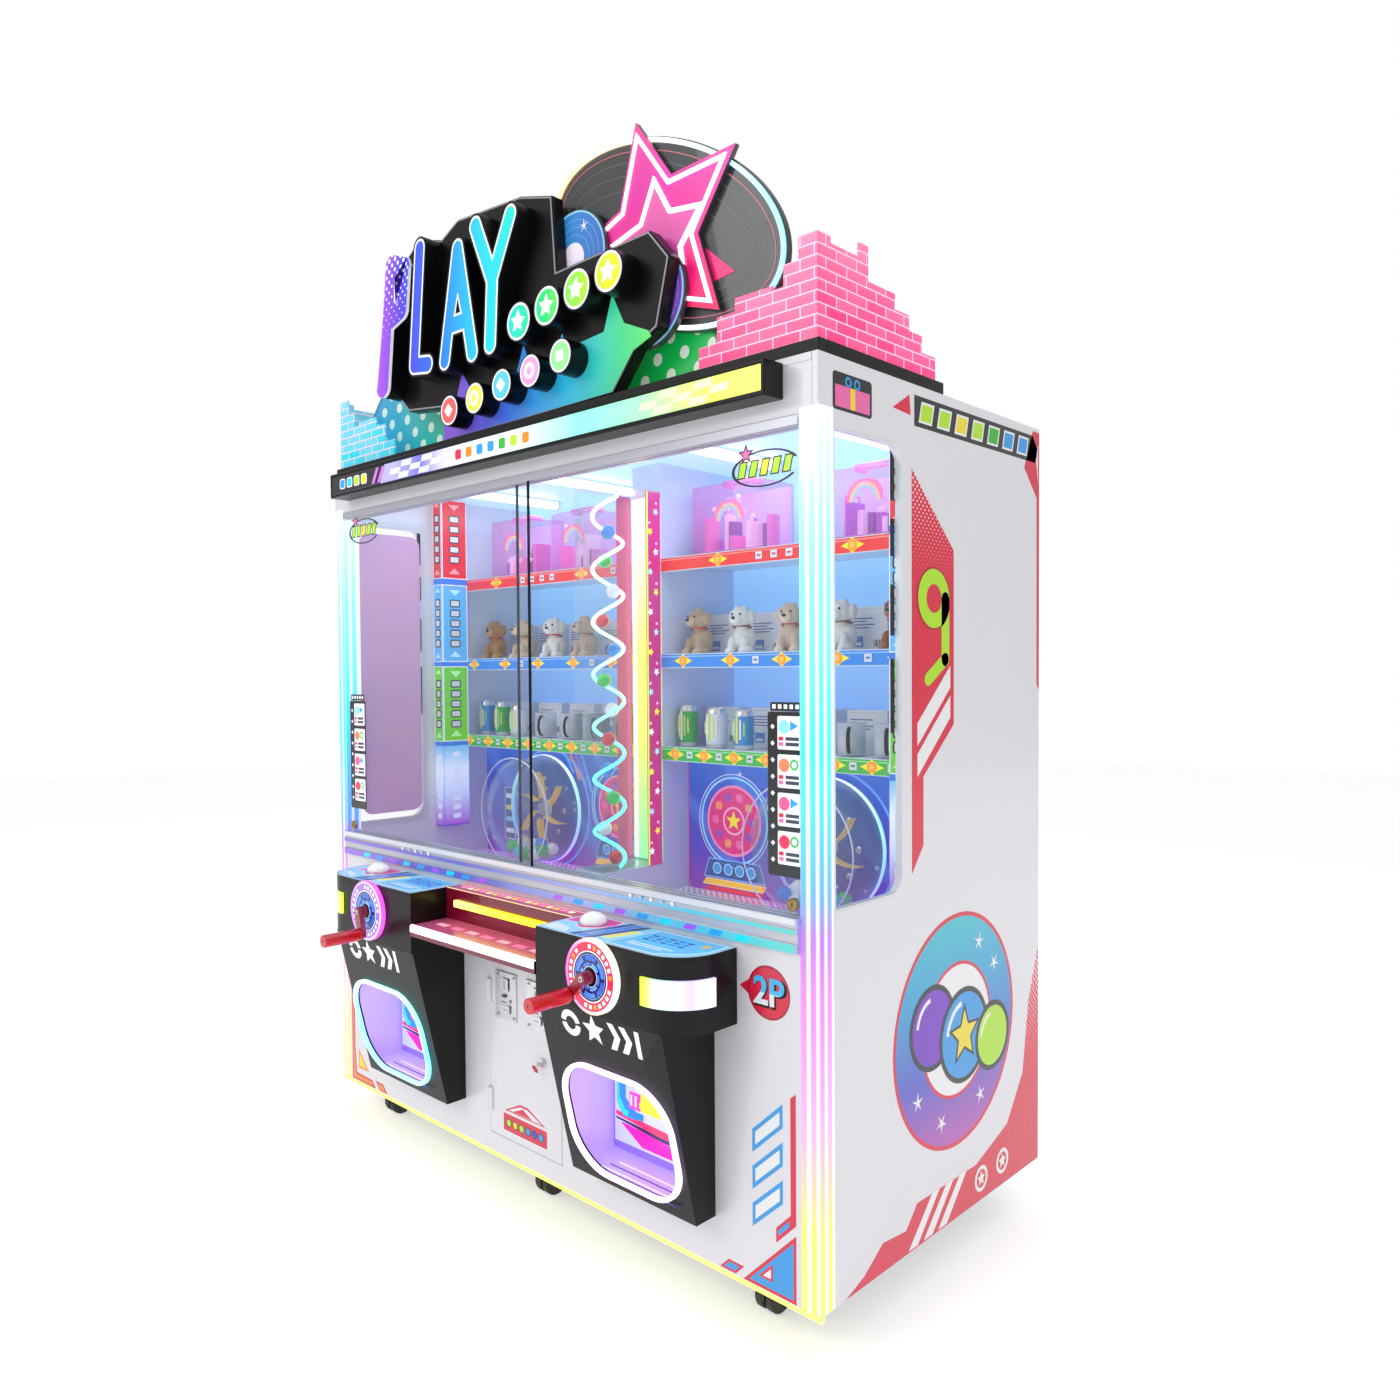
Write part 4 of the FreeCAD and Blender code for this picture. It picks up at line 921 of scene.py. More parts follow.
def numberPiece(name, text, place, height, thick, mat, body="cabinet"):
    # a plain number, from Blender's own font, made a mesh
    curve = bpy.data.curves.new(name + "Text", "FONT")
    curve.body = text
    curve.size = height
    curve.align_x, curve.align_y = "CENTER", "CENTER"
    curve.extrude = thick
    curve.offset = height * 0.025
    curve.resolution_u = 4
    holder = bpy.data.objects.new(name + "Text", curve)
    mesh = bpy.data.meshes.new_from_object(holder)
    bpy.data.objects.remove(holder)
    mesh.transform(place)
    mesh.materials.clear()
    mesh.materials.append(mat)
    obj = bpy.data.objects.new(name, mesh)
    bpy.context.scene.collection.objects.link(obj)
    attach(obj, body)
    return obj


numberFade = fadePrint("numberFade", "Z", 0.69, 0.745,
                       [(0, (0.9, 0.95, 1)), (0.45, (0.9, 0.95, 1)), (0.5, (0.05, 0.6, 0.95)),
                        (1, (0.05, 0.5, 0.9))])
frontArt()
for label, sx in (("1P", -0.82), ("2P", 0.82)):
    numberPiece("shadow" + label, label, frontBoard @ Matrix.Translation((sx + 0.003, 0.714, 0.0005)),
                0.086, 0.0003, blackSatin)
    numberPiece("number" + label, label, frontBoard @ Matrix.Translation((sx, 0.717, 0.0011)), 0.08, 0.0004,
                numberFade)
print("cabinet front printed")


# roof sign

def frontRegions(node, way=(0, -1, 0), matrix=None):
    # the faces of a CAD piece that look one way, laid on the drawing board: one list of faces for each solid
    bm = bmesh.new()
    bm.from_mesh(nodes[node].data)
    bmesh.ops.remove_doubles(bm, verts=bm.verts[:], dist=1e-5)
    away = [f for f in bm.faces if f.normal.dot(Vector(way)) < 0.99]
    bmesh.ops.delete(bm, geom=away, context="FACES")
    bmesh.ops.dissolve_limit(bm, angle_limit=math.radians(0.6), verts=bm.verts[:], edges=bm.edges[:])
    bmesh.ops.remove_doubles(bm, verts=bm.verts[:], dist=0.0012)
    bm.transform((matrix or frontBoard).inverted())
    bm.loops.layers.float_color.new("ink")
    left, out = set(bm.verts), []
    while left:
        group = touched([next(iter(left))])
        left -= group
        faces = list({f for v in group for f in v.link_faces})
        if faces:
            out.append(faces)
    return bm, sorted(out, key=lambda r: sum(f.calc_center_median().x for f in r) / len(r))


def tiers(bm, region, steps, lift):
    # borders from the edge inwards as (width, ink, slot); the last one, with no width, fills the middle
    parts = list(region)
    for width, ink, slot in steps:
        if width:
            rim = insetBy(bm, region, width)
            paint(bm, rim, ink, slot)
            parts += rim
        else:
            paint(bm, region, ink, slot)
    thicken(bm, [f for f in parts if f.is_valid], lift[0], lift[1])


def outlineOf(region):
    # the outer border of a one-face region as points
    return [(v.co.x, v.co.y) for v in region[0].verts]


def band(bm, points, inset, width, low, high, ink, slot=0):
    # a closed line of one width inside an outline
    face = bm.faces.new([bm.verts.new((p[0], p[1], 0)) for p in points])
    face.normal_update()
    if face.normal.z < 0:
        face.normal_flip()
    if inset:
        waste = insetBy(bm, [face], inset)
        bmesh.ops.delete(bm, geom=waste, context="FACES")
    rim = insetBy(bm, [face], width)
    bmesh.ops.delete(bm, geom=[face], context="FACES_ONLY")
    paint(bm, rim, ink, slot)
    thicken(bm, rim, low, high)


def shrink(points, amount):
    # the same outline, moved inwards
    bm = bmesh.new()
    face = bm.faces.new([bm.verts.new((p[0], p[1], 0)) for p in points])
    insetBy(bm, [face], amount)
    out = [(v.co.x, v.co.y) for v in face.verts]
    bm.free()
    return out


signArt = {"border": 0.006, "outline": 0.006, "raise": 0.005}
letterFade = fadePrint("letterFade", "X", -0.64, 0.03,
                       [(0, (0.4, 0.06, 0.75)), (0.22, (0.05, 0.02, 0.7)), (0.5, (0.0, 0.18, 0.85)),
                                                       (0.8, (0.0, 0.62, 0.85)), (1, (0.0, 0.72, 0.6))],
                                                       0.35)
rowFade = fadePrint("rowFade", "X", 0.0, 0.43, [(0, (0.0, 0.7, 0.6)), (0.35, (0.0, 0.7, 0.15)),
                                                (0.7, (0.4, 0.85, 0.0)), (1, (0.95, 0.85, 0.0))], 0.35)
boardFade = fadePrint("boardFade", "X", -0.42, 0.5,
                      [(0, (0.3, 0.05, 0.6)), (0.35, (0.05, 0.15, 0.8)), (0.65, (0.02, 0.5, 0.75)),
                                                    (0.85, (0.05, 0.65, 0.25)), (1, (0.15, 0.8, 0.1))], 0.3)
discFade = fadePrint("discFade", "X", -0.02, 0.55,
                     [(0, (0.05, 0.45, 0.8)), (0.35, (0.03, 0.2, 0.6)), (0.75, (0.05, 0.05, 0.4)),
                                                   (1, (0.35, 0.08, 0.6))], 0.25)
starFade = fadePrint("starFade", "Z", 2.2, 2.66, [(0, (0.85, 0.0, 0.12)), (0.3, (0.82, 0.004, 0.22)),
                                                  (0.65, (0.7, 0.015, 0.35)), (1, (0.8, 0.05, 0.3))], 0.3)
starHeart = fadePrint("starHeart", "Z", 2.2, 2.6, [(0, (0.6, 0.05, 0.4)), (1, (0.85, 0.12, 0.36))], 0.3)
recordDark = skinMaterial("recordDark", (0.035, 0.04, 0.042), 0.3, {"Coat Weight": 0.6}, drift=0.4,
                          smudge=0.2, grain=300.0, bump=0.05)
edgeGlow = glowMaterial("edgeGlow", "X", 0.1, 0.75,
                        [(0, (1, 0.75, 0.4)), (0.3, (1, 0.8, 0.6)), (0.55, (1, 0.9, 0.95)),
                         (0.8, (0.5, 0.9, 1)),
                                                    (1, (0.3, 0.85, 1))], 1.1)
starGlow = glowMaterial("starGlow", "X", 0.1, 0.72,
                        [(0, (1, 0.88, 0.65)), (0.45, (1, 0.7, 0.9)), (1, (1, 0.85, 1))], 1.2)


def spottedFade():
    # the first letter: the fade with a field of white dots over its upper half
    mat = letterFade.copy()
    mat.name = "spottedFade"
    tree = mat.node_tree
    skin = next(n for n in tree.nodes if n.type == "GROUP")
    source = skin.inputs["Color"].links[0].from_socket
    place = addNode(tree, "TexCoord").outputs["Object"]
    parts = addNode(tree, "SeparateXYZ", Vector=place)
    size = mapRange(tree, parts.outputs["Z"], 2.3, 2.6, 0.0, 0.34)
    mask = addDots(tree, 0.03, parts.outputs["X"], parts.outputs["Z"], size)
    tree.links.new(mixInks(tree, mask, source, (0.85, 0.9, 1)), skin.inputs["Color"])
    return mat


def makeLetters():
    eased("sign_letters", 0.003, blackGloss, steps=2)
    bm, regions = frontRegions("sign_letters")
    w = max(v.co.z for r in regions for f in r for v in f.verts)
    rowInks = ((0.9, 0.1, 0.1), (0.95, 0.85, 0.05), (0.1, 0.6, 0.95), (0.95, 0.35, 0.7), (0.3, 0.85, 0.3))
    small = 0
    tall = 0
    marks = []
    for region in regions:
        ys = [v.co.y for f in region for v in f.verts]
        xs = [v.co.x for f in region for v in f.verts]
        high, mid = max(ys) - min(ys), ((max(xs) + min(xs)) / 2, (max(ys) + min(ys)) / 2)
        if high > 0.15:
            edges = [(0.004, white, 0)] if tall == 0 else [(signArt["border"], black, 2),
                                                           (signArt["outline"], white, 0)]
            tiers(bm, region, [*edges, (0, white, 4 if tall == 0 else 1)], (0, signArt["raise"]))
            tall += 1
        elif high > 0.095:
            tiers(bm, region, [(0.004, black, 2), (0.006, white, 0), (0, white, 3)], (0, signArt["raise"]))
            marks.append((mid, 0.028, white))
        else:
            tiers(bm, region, [(0.003, black, 2), (0.005, white, 0), (0, rowInks[small % 5], 0)],
                  (0, signArt["raise"]))
            marks.append((mid, 0.0, small))
            small += 1
    top = w + signArt["raise"]
    for (cx, cy), r, extra in marks:
        if r:
            flat(bm, starPoints(cx, cy, r, r * 0.48, 84), top, top + 0.003, white)
        elif extra % 2:
            ring(bm, cx, cy, 0.011, 0.02, top, top + 0.003, white, steps=28)
        else:
            flat(bm, ngon(cx, cy, 0.018, 4, start=math.pi / 4 * (extra % 3)), top, top + 0.003, white)
    keep(bm, "signFaces", [softLitInk, letterFade, blackGloss, rowFade, spottedFade()], matrix=frontBoard)


def makeSignBoard():
    eased("sign_board", 0.006, blackGloss, steps=3)
    bm, regions = frontRegions("sign_board")
    outline = outlineOf(regions[0])
    w = regions[0][0].verts[0].co.z
    bmesh.ops.delete(bm, geom=bm.faces[:], context="FACES")
    bm.verts.ensure_lookup_table()
    lower = [(-0.375, 2.03), (-0.375, 2.115), (-0.31, 2.14), (-0.285, 2.2), (-0.235, 2.135), (-0.04, 2.15),
             (-0.01, 2.215), (0.02, 2.155),
             (0.12, 2.165), (0.145, 2.21), (0.165, 2.17), (0.3, 2.18), (0.33, 2.26), (0.37, 2.185),
             (0.45, 2.15), (0.46, 2.135),
             (0.4, 2.115), (0.325, 2.034)]
    flat(bm, lower, w, w + 0.002, white, slot=1)
    band(bm, outline, 0.004, 0.004, w, w + 0.0012, (0.25, 0.25, 0.27), 0)
    keep(bm, "signBoardPrint", [softLitInk, boardFade], matrix=frontBoard)


def makeShapes():
    # star, dark record and two blue discs, with their lit edges
    eased("sign_shapes", 0.0015, recordDark)
    bm, regions = frontRegions("sign_shapes")
    inks = newShape()
    for region in regions:
        xs = [v.co.x for f in region for v in f.verts]
        ys = [v.co.y for f in region for v in f.verts]
        w = region[0].verts[0].co.z
        cx, cy, wide = (max(xs) + min(xs)) / 2, (max(ys) + min(ys)) / 2, max(xs) - min(xs)
        line = outlineOf(region)
        if len(line) < 14:
            flat(inks, shrink(line, 0.006), w, w + 0.001, white, slot=1)
            band(inks, line, 0.012, 0.009, w + 0.001, w + 0.006, white, 2)
            inner = starPoints(cx + 0.035, cy - 0.03, 0.15, 0.079, 92)
            flat(inks, inner, w + 0.001, w + 0.003, white, slot=3)
            band(inks, starPoints(cx + 0.035, cy - 0.03, 0.162, 0.086, 92), 0, 0.01, w + 0.001, w + 0.008,
                 white, 2)
        elif wide > 0.4:
            band(inks, line, 0.004, 0.01, w, w + 0.006, white, 4)
            band(inks, line, 0.03, 0.0025, w, w + 0.001, (0.5, 0.12, 0.15), 0)
            for inset in (0.055, 0.085, 0.12):
                band(inks, line, inset, 0.0015, w, w + 0.0006, (0.12, 0.13, 0.14), 0)
            flat(inks, [(cx - 0.16, cy + 0.02), (cx - 0.08, cy + 0.12), (cx + 0.235, cy - 0.15),
                        (cx + 0.1, cy - 0.165)], w, w + 0.0016,
                 (0.95, 0.03, 0.25), slot=1)
        else:
            ring(inks, cx, cy, wide / 2 - 0.008, wide / 2 - 0.004, w, w + 0.002, paleBlue, 0, steps=64)
            ring(inks, cx, cy, 0.042, wide / 2 - 0.008, w, w + 0.001, blue, 5, steps=64)
            disc(inks, cx, cy, 0.042, w, w + 0.0016, (0.88, 0.8, 0.95))
            for r in (0.06, 0.078, 0.096):
                ring(inks, cx, cy, r, r + 0.001, w + 0.001, w + 0.0013, (0.2, 0.5, 0.95), 0, steps=56)
            for a in (60, 215):
                x, z = cx + 0.085 * math.cos(math.radians(a)), cy + 0.085 * math.sin(math.radians(a))
                flat(inks, starPoints(x, z, 0.016, 0.003, 90), w + 0.001, w + 0.002, white)
    bm.free()
    keep(inks, "signShapeLights", [softLitInk, starFade, starGlow, starHeart, edgeGlow, discFade],
         matrix=frontBoard)


def makePolka():
    eased("sign_dot_board", 0.0015, [polkaBoard, blackSatin], pick=lambda f: 0 if f.normal.y < -0.9 else 1)
    bm, regions = frontRegions("sign_dot_board")
    line, w = outlineOf(regions[0]), regions[0][0].verts[0].co.z
    bmesh.ops.delete(bm, geom=bm.faces[:], context="FACES")
    band(bm, line, 0.002, 0.005, w, w + 0.001, (0.05, 0.35, 0.12))
    keep(bm, "polkaEdge", printInk, matrix=frontBoard)


def makeMarquee():
    # black bar with a lit strip: stripes, chequers, a long fade and chequers again
    eased("marquee_box", 0.003, blackGloss, steps=3)
    low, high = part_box("marquee_lens")
    fade = fadePrint("marqueeFade", "X", -0.5, 0.85,
                     [(0, (0.42, 0.4, 0.9)), (0.1, (0.15, 0.15, 0.85)), (0.22, (0.85, 0.8, 1)),
                      (0.42, (0.75, 0.95, 0.95)),
                                                     (0.6, (0.25, 0.9, 0.7)), (0.75, (0.35, 0.9, 0.5)),
                                                     (0.9, (0.75, 0.93, 0.1)), (1, (0.95, 0.92, 0.1))],
                                                     0.55)
    dress("marquee_lens", fade)
    bm = newShape()
    w = cabFront - low[1]
    z0, z1 = low[2], high[2]
    flat(bm, [(low[0], z0), (-0.575, z0), (-0.55, z1), (low[0], z1)], w, w + 0.0008, black)
    for k in range(2):
        x = -0.6 + 0.032 * k
        flat(bm, [(x - 0.02, z0 + 0.004), (x - 0.006, z0 + 0.004), (x + 0.02, z1 - 0.004),
                  (x + 0.006, z1 - 0.004)], w + 0.0008, w + 0.0014,
             (0.7, 0.2, 0.85), 1)
    for start, ink in ((-0.53, (0.9, 0.85, 1)), (0.5, (0.95, 0.98, 0.6))):
        for row in range(3):
            for col in range(5):
                if (row + col) % 2:
                    x = start + col * 0.052 + row * 0.008
                    z = z0 + 0.002 + row * 0.0156
                    flat(bm, [(x, z), (x + 0.05, z), (x + 0.058, z + 0.0156), (x + 0.008, z + 0.0156)], w,
                         w + 0.0006, ink, 1)
    # plain colour blocks where a name would stand
    for k, ink in enumerate((red, orange, skyBlue, skyBlue, green, lime, orange)):
        x = -0.18 + k * 0.048
        flat(bm, softRect(x, (z0 + z1) / 2, 0.026, 0.026, 0.006), w, w + 0.0008, ink, 1)
    for k, ink in enumerate((skyBlue, cyan, lime, yellow)):
        x = -0.79 + 0.042 * k
        flat(bm, softRect(x, (z0 + z1) / 2, 0.032, 0.03, 0.007), w + 0.0008, w + 0.0018, ink, 1, line=0.003,
             lineInk=white)
    keep(bm, "marqueePrint", [printInk, softLitInk], matrix=frontBoard)


makeLetters()
makeSignBoard()
makeShapes()
makePolka()
makeMarquee()
print("roof sign ready")


# window frame, panes and their prints

def makeRails():
    # aluminium rails with a printed banner, lit from its purple end to its green one
    eased("window_rails", 0.0012, railMetal, steps=2)
    bm = newShape()
    low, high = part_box("window_rails")
    w = cabFront - low[1]
    x = high[0] - 0.004
    z = glassBottom
    flat(bm, rect(-x, x, z + 0.0395, z + 0.0485), w, w + 0.0006, white, 1)
    flat(bm, rect(-x, x, z + 0.0015, z + 0.019), w, w + 0.0006, white, 1)
    flat(bm, rect(-x, x, z + 0.058, z + 0.07), w, w + 0.0006, (0.9, 0.9, 0.96))
    # dashes and arrows along the banner
    for side in (-1, 1):
        for k in range(9):
            u = side * (0.16 + 0.075 * k)
            flat(bm, [(u - 0.022, z + 0.004), (u + 0.012, z + 0.004), (u + 0.022, z + 0.0165),
                      (u - 0.012, z + 0.0165)], w + 0.0006, w + 0.001,
                 (violet, skyBlue, cyan)[k % 3], 2)
        for k in range(5):
            u = side * (0.42 + 0.034 * k)
            flat(bm, ngon(u, z + 0.052, 0.0055, 4), w, w + 0.001, (white, paleBlue)[k % 2], 2)
    keep(bm, "railBanner", [printInk, railFade, softLitInk], matrix=frontBoard)


railFade = fadePrint("railFade", "X", -0.9, 0.9, [(0, (0.3, 0.15, 0.7)), (0.35, (0.1, 0.12, 0.6)),
                                                  (0.65, (0.35, 0.45, 0.85)), (0.85, (0.1, 0.6, 0.75)),
                                                 (1, (0.1, 0.65, 0.6))], 0.25)


def makePanes():
    # the glass keeps its CAD shape; locks get cylinders, and the prints ride with their pane
    t = 0.0006
    for name, sx in (("left", -1), ("right", 1)):
        node = "glass_pane_" + name
        parts = islands(node)
        paneBox = max(parts, key=lambda b: b[1].x - b[0].x)
        lockBox = min(parts, key=lambda b: b[1].x - b[0].x)
        dress(node, paneGlass)
        w = cabFront - paneBox[0].y
        bm = newShape()
        mid = (lockBox[0] + lockBox[1]) / 2
        front = lockBox[0].y
        turnedShape(bm, [(0.0, -0.0008), (0.0085, -0.0008), (0.0095, -0.0018), (0.0128, -0.0012),
                         (0.0132, 0.0006), (0.0132, 0.006)],
                    (mid.x, front, mid.z), (0, 1, 0), (0.3, 0.2, 0.08), 1, 28)
        # black bar: painted shade in the lock's keyway
        brick(bm, mid.x - 0.0012, mid.x + 0.0012, front - 0.0014, front - 0.0006, mid.z - 0.005,
              mid.z + 0.005, black, 2)
        # dark seal along the meeting stile
        x = paneBox[1].x if sx < 0 else paneBox[0].x
        brick(bm, x - 0.0018, x + 0.0018, paneBox[0].y - 0.0003, paneBox[1].y + 0.0003,
              paneBox[0].z + 0.001, paneBox[1].z - 0.001, black, 2, ease=0.0004)
        keep(bm, "paneTrim_" + name, [printInk, brushedBrass, blackSatin], "pane_" + name)
        art = newShape()
        cx = 0.852 if sx > 0 else -0.828
        flat(art, softRect(cx, 1.125, 0.094, 0.335, 0.006), w, w + t, black)
        for k, ink in enumerate(((0.3, 0.75, 1.0), (0.9, 0.25, 0.1), (0.95, 0.1, 0.3), (0.9, 0.02, 0.1))):
            z = 1.25 - 0.078 * k
            flat(art, softRect(cx + 0.01, z, 0.062, 0.068, 0.004), w + t, w + t * 1.5, (0.9, 0.93, 1.0), 1)
            disc(art, cx - 0.004, z + 0.012, 0.014, w + t * 1.5, w + t * 2, ink, 1, 24)
            if k % 2:
                ring(art, cx + 0.022, z + 0.014, 0.007, 0.011, w + t * 1.5, w + t * 2, green, 1, steps=24)
            else:
                flat(art, [(cx + 0.012, z + 0.004), (cx + 0.032, z + 0.014), (cx + 0.012, z + 0.024)],
                     w + t * 1.5, w + t * 2, skyBlue, 1)
            for r in range(2):
                flat(art, softRect(cx - 0.012, z - 0.012 - 0.011 * r, 0.012, 0.008, 0.001), w + t * 1.5,
                     w + t * 2, (red, pink)[r], 1)
                flat(art, softRect(cx + 0.017, z - 0.012 - 0.011 * r, 0.034, 0.007, 0.001), w + t * 1.5,
                     w + t * 2, (0.05, 0.05, 0.08), 1)
        for k in range(9):
            flat(art, ngon(cx - 0.034, 1.262 - 0.034 * k, 0.0055, 4), w + t, w + t * 1.5, white, 1)
        flat(art, softRect(cx, 1.303, 0.08, 0.018, 0.003), w, w + t, black)
        for k in range(5):
            flat(art, softRect(cx - 0.03 + 0.015 * k, 1.303, 0.009, 0.009, 0.001), w + t, w + t * 1.5,
                 white, 1)
        # upper mark: a comet ring round a lime bar and a star
        ux, uz = (0.80, 1.79) if sx > 0 else (-0.775, 1.812)
        ring(art, ux, uz, 0.082, 0.09, w, w + t, black, a0=20, a1=330, steps=60, squeeze=0.42)
        for k, ink in enumerate((lime, lime, yellow, lime, lime)):
            flat(art, [(ux - 0.075 + 0.03 * k, uz - 0.016), (ux - 0.066 + 0.03 * k, uz + 0.02),
                       (ux - 0.044 + 0.03 * k, uz + 0.02),
                       (ux - 0.053 + 0.03 * k, uz - 0.016)], w + t, w + t * 2, ink, 1, line=0.003,
                       lineInk=black)
        flat(art, starPoints(ux - 0.05, uz + 0.034, 0.022, 0.01), w + t, w + t * 2, pink, 1, line=0.003,
             lineInk=black)
        keep(art, "panePrint_" + name, [printInk, softLitInk], "pane_" + name, frontBoard)


brushedBrass = skinMaterial("brushedBrass", (0.42, 0.3, 0.12), 0.3, {"Metallic": 1.0}, drift=0.2,
                            smudge=0.2, grain=2000.0, bump=0.08)


def makeWindowTrim():
    # dark gasket round each side window and the small hinge-like blocks of its light box
    for side, m in (("right", rightBoard), ("left", mirroredLeft)):
        bm = newShape()
        y0, y1, z0, z1 = 0.0485, 0.297, 0.895, 1.855
        line = [(y0, z0), (y1 - 0.045, z0)]
        line += [(y1 - 0.045 + 0.045 * math.sin(math.radians(a)),
                  z0 + 0.045 - 0.045 * math.cos(math.radians(a))) for a in range(9, 90, 9)]
        line += [(y1, z0 + 0.045), (y1, z1 - 0.045)]
        line += [(y1 - 0.045 + 0.045 * math.cos(math.radians(a)),
                  z1 - 0.045 + 0.045 * math.sin(math.radians(a))) for a in range(9, 90, 9)]
        line += [(y1 - 0.045, z1), (y0, z1)]
        band(bm, line, 0.0006, 0.003, -0.0155, 0.0012, (0.85, 0.86, 0.9))
        for a, b in ((1.74, 1.845), (1.62, 1.70), (1.45, 1.56), (1.24, 1.40)):
            brick(bm, y1 - 0.016, y1 - 0.0045, a, b, -0.021, -0.0165, black, 1, ease=0.001)
        if side == "left":
            flat(bm, softRect((y0 + y1) / 2 + 0.006, (z0 + z1) / 2, y1 - y0 - 0.03, z1 - z0 - 0.05, 0.035),
                 -0.0212, -0.0205, (0.6, 0.3, 0.55), 2)
        keep(bm, "windowTrim_" + side, [printInk, blackSatin, mauveFilm], matrix=m)


makeRails()
makePanes()
makeWindowTrim()
print("window ready")


# inside the display

def makeLamps():
    # real light from the lit ceiling tubes, and their fittings
    for low, high in islands("light_tubes"):
        if high.z - low.z < 0.05:
            mid = (low + high) / 2
            softLight("tubeLight", (mid.x, mid.y, low.z - 0.01), (mid.x, mid.y, 0), (0.1, high.y - low.y),
                      0.55, (0.75, 0.9, 1))
    bm = newShape()
    for low, high in islands("light_tubes"):
        if high.z - low.z < 0.05:
            mid = (low + high) / 2
            brick(bm, mid.x - 0.022, mid.x + 0.022, low.y - 0.01, high.y + 0.01, high.z - 0.0008,
                  high.z - 0.004, white, ease=0.001)
            for y in (low.y - 0.012, high.y + 0.002):
                brick(bm, mid.x - 0.014, mid.x + 0.014, y, y + 0.01, low.z, high.z - 0.002,
                      (0.8, 0.8, 0.82), ease=0.002)
    keep(bm, "tubeFittings", [shelfWhite])
    nodes["light_tubes"].data.materials.clear()
    nodes["light_tubes"].data.materials.append(spiralGlow)


levelInks = ((0.02, 0.45, 0.03), (0.02, 0.22, 0.7), (0.82, 0.02, 0.02))


def makeShelfEdges():
    # printed strips: red at the top, blue, then green, with orange ball marks and pale tiles between them
    levels = sorted({round(b[0].z, 3) for b in islands("shelf_edges")})
    bm = newShape()
    t = 0.0008
    for low, high in islands("shelf_edges"):
        level = levels.index(round(low.z, 3))
        w = cabFront - low.y
        mid = (low.z + high.z) / 2
        long = high.x - low.x
        flat(bm, rect(low.x, high.x, low.z, high.z), w, w + t, levelInks[level], 1, line=0.0022,
             lineInk=(0.75, 0.85, 0.95), lineSlot=0)
        flat(bm, rect(low.x, high.x, high.z - 0.009, high.z - 0.0065), w + t, w + t * 1.3,
             [min(1, c + 0.3) for c in levelInks[level]], 1)
        step = (0.113, 0.156, 0.39)[level]
        count = max(1, int(long / step + 0.4))
        for k in range(count):
            x = low.x + long * (k + 0.5) / count
            flat(bm, [(x - 0.034, mid), (x - 0.012, mid - 0.009), (x, mid - 0.019),
                      (x + 0.012, mid - 0.009), (x + 0.034, mid),
                      (x + 0.012, mid + 0.009), (x, mid + 0.019), (x - 0.012, mid + 0.009)], w + t,
                      w + t * 1.5, yellow, 1)
            disc(bm, x, mid, 0.0135, w + t * 1.5, w + t * 3, orange, 1, 28)
            disc(bm, x, mid, 0.008, w + t * 3, w + t * 4, (1, 0.5, 0.05), 1, 20)
            if level != 1 or k % 2:
                gap = long / count / 2
                tiles = 4 if level == 2 else 1
                for n in range(tiles):
                    u = x + gap + (n - (tiles - 1) / 2) * 0.05
                    if u + 0.02 < high.x:
                        flat(bm, softRect(u, mid, 0.026, 0.024, 0.003), w + t, w + t * 1.4,
                             (0.85, 0.88, 0.95), 0, line=0.002, lineInk=levelInks[level])
                        flat(bm, softRect(u, mid, 0.012, 0.005, 0.001), w + t * 1.4, w + t * 1.8,
                             levelInks[level], 0)
    keep(bm, "shelfEdgePrint", [printInk, softLitInk], matrix=frontBoard)
    dress("shelf_edges", shelfWhite)


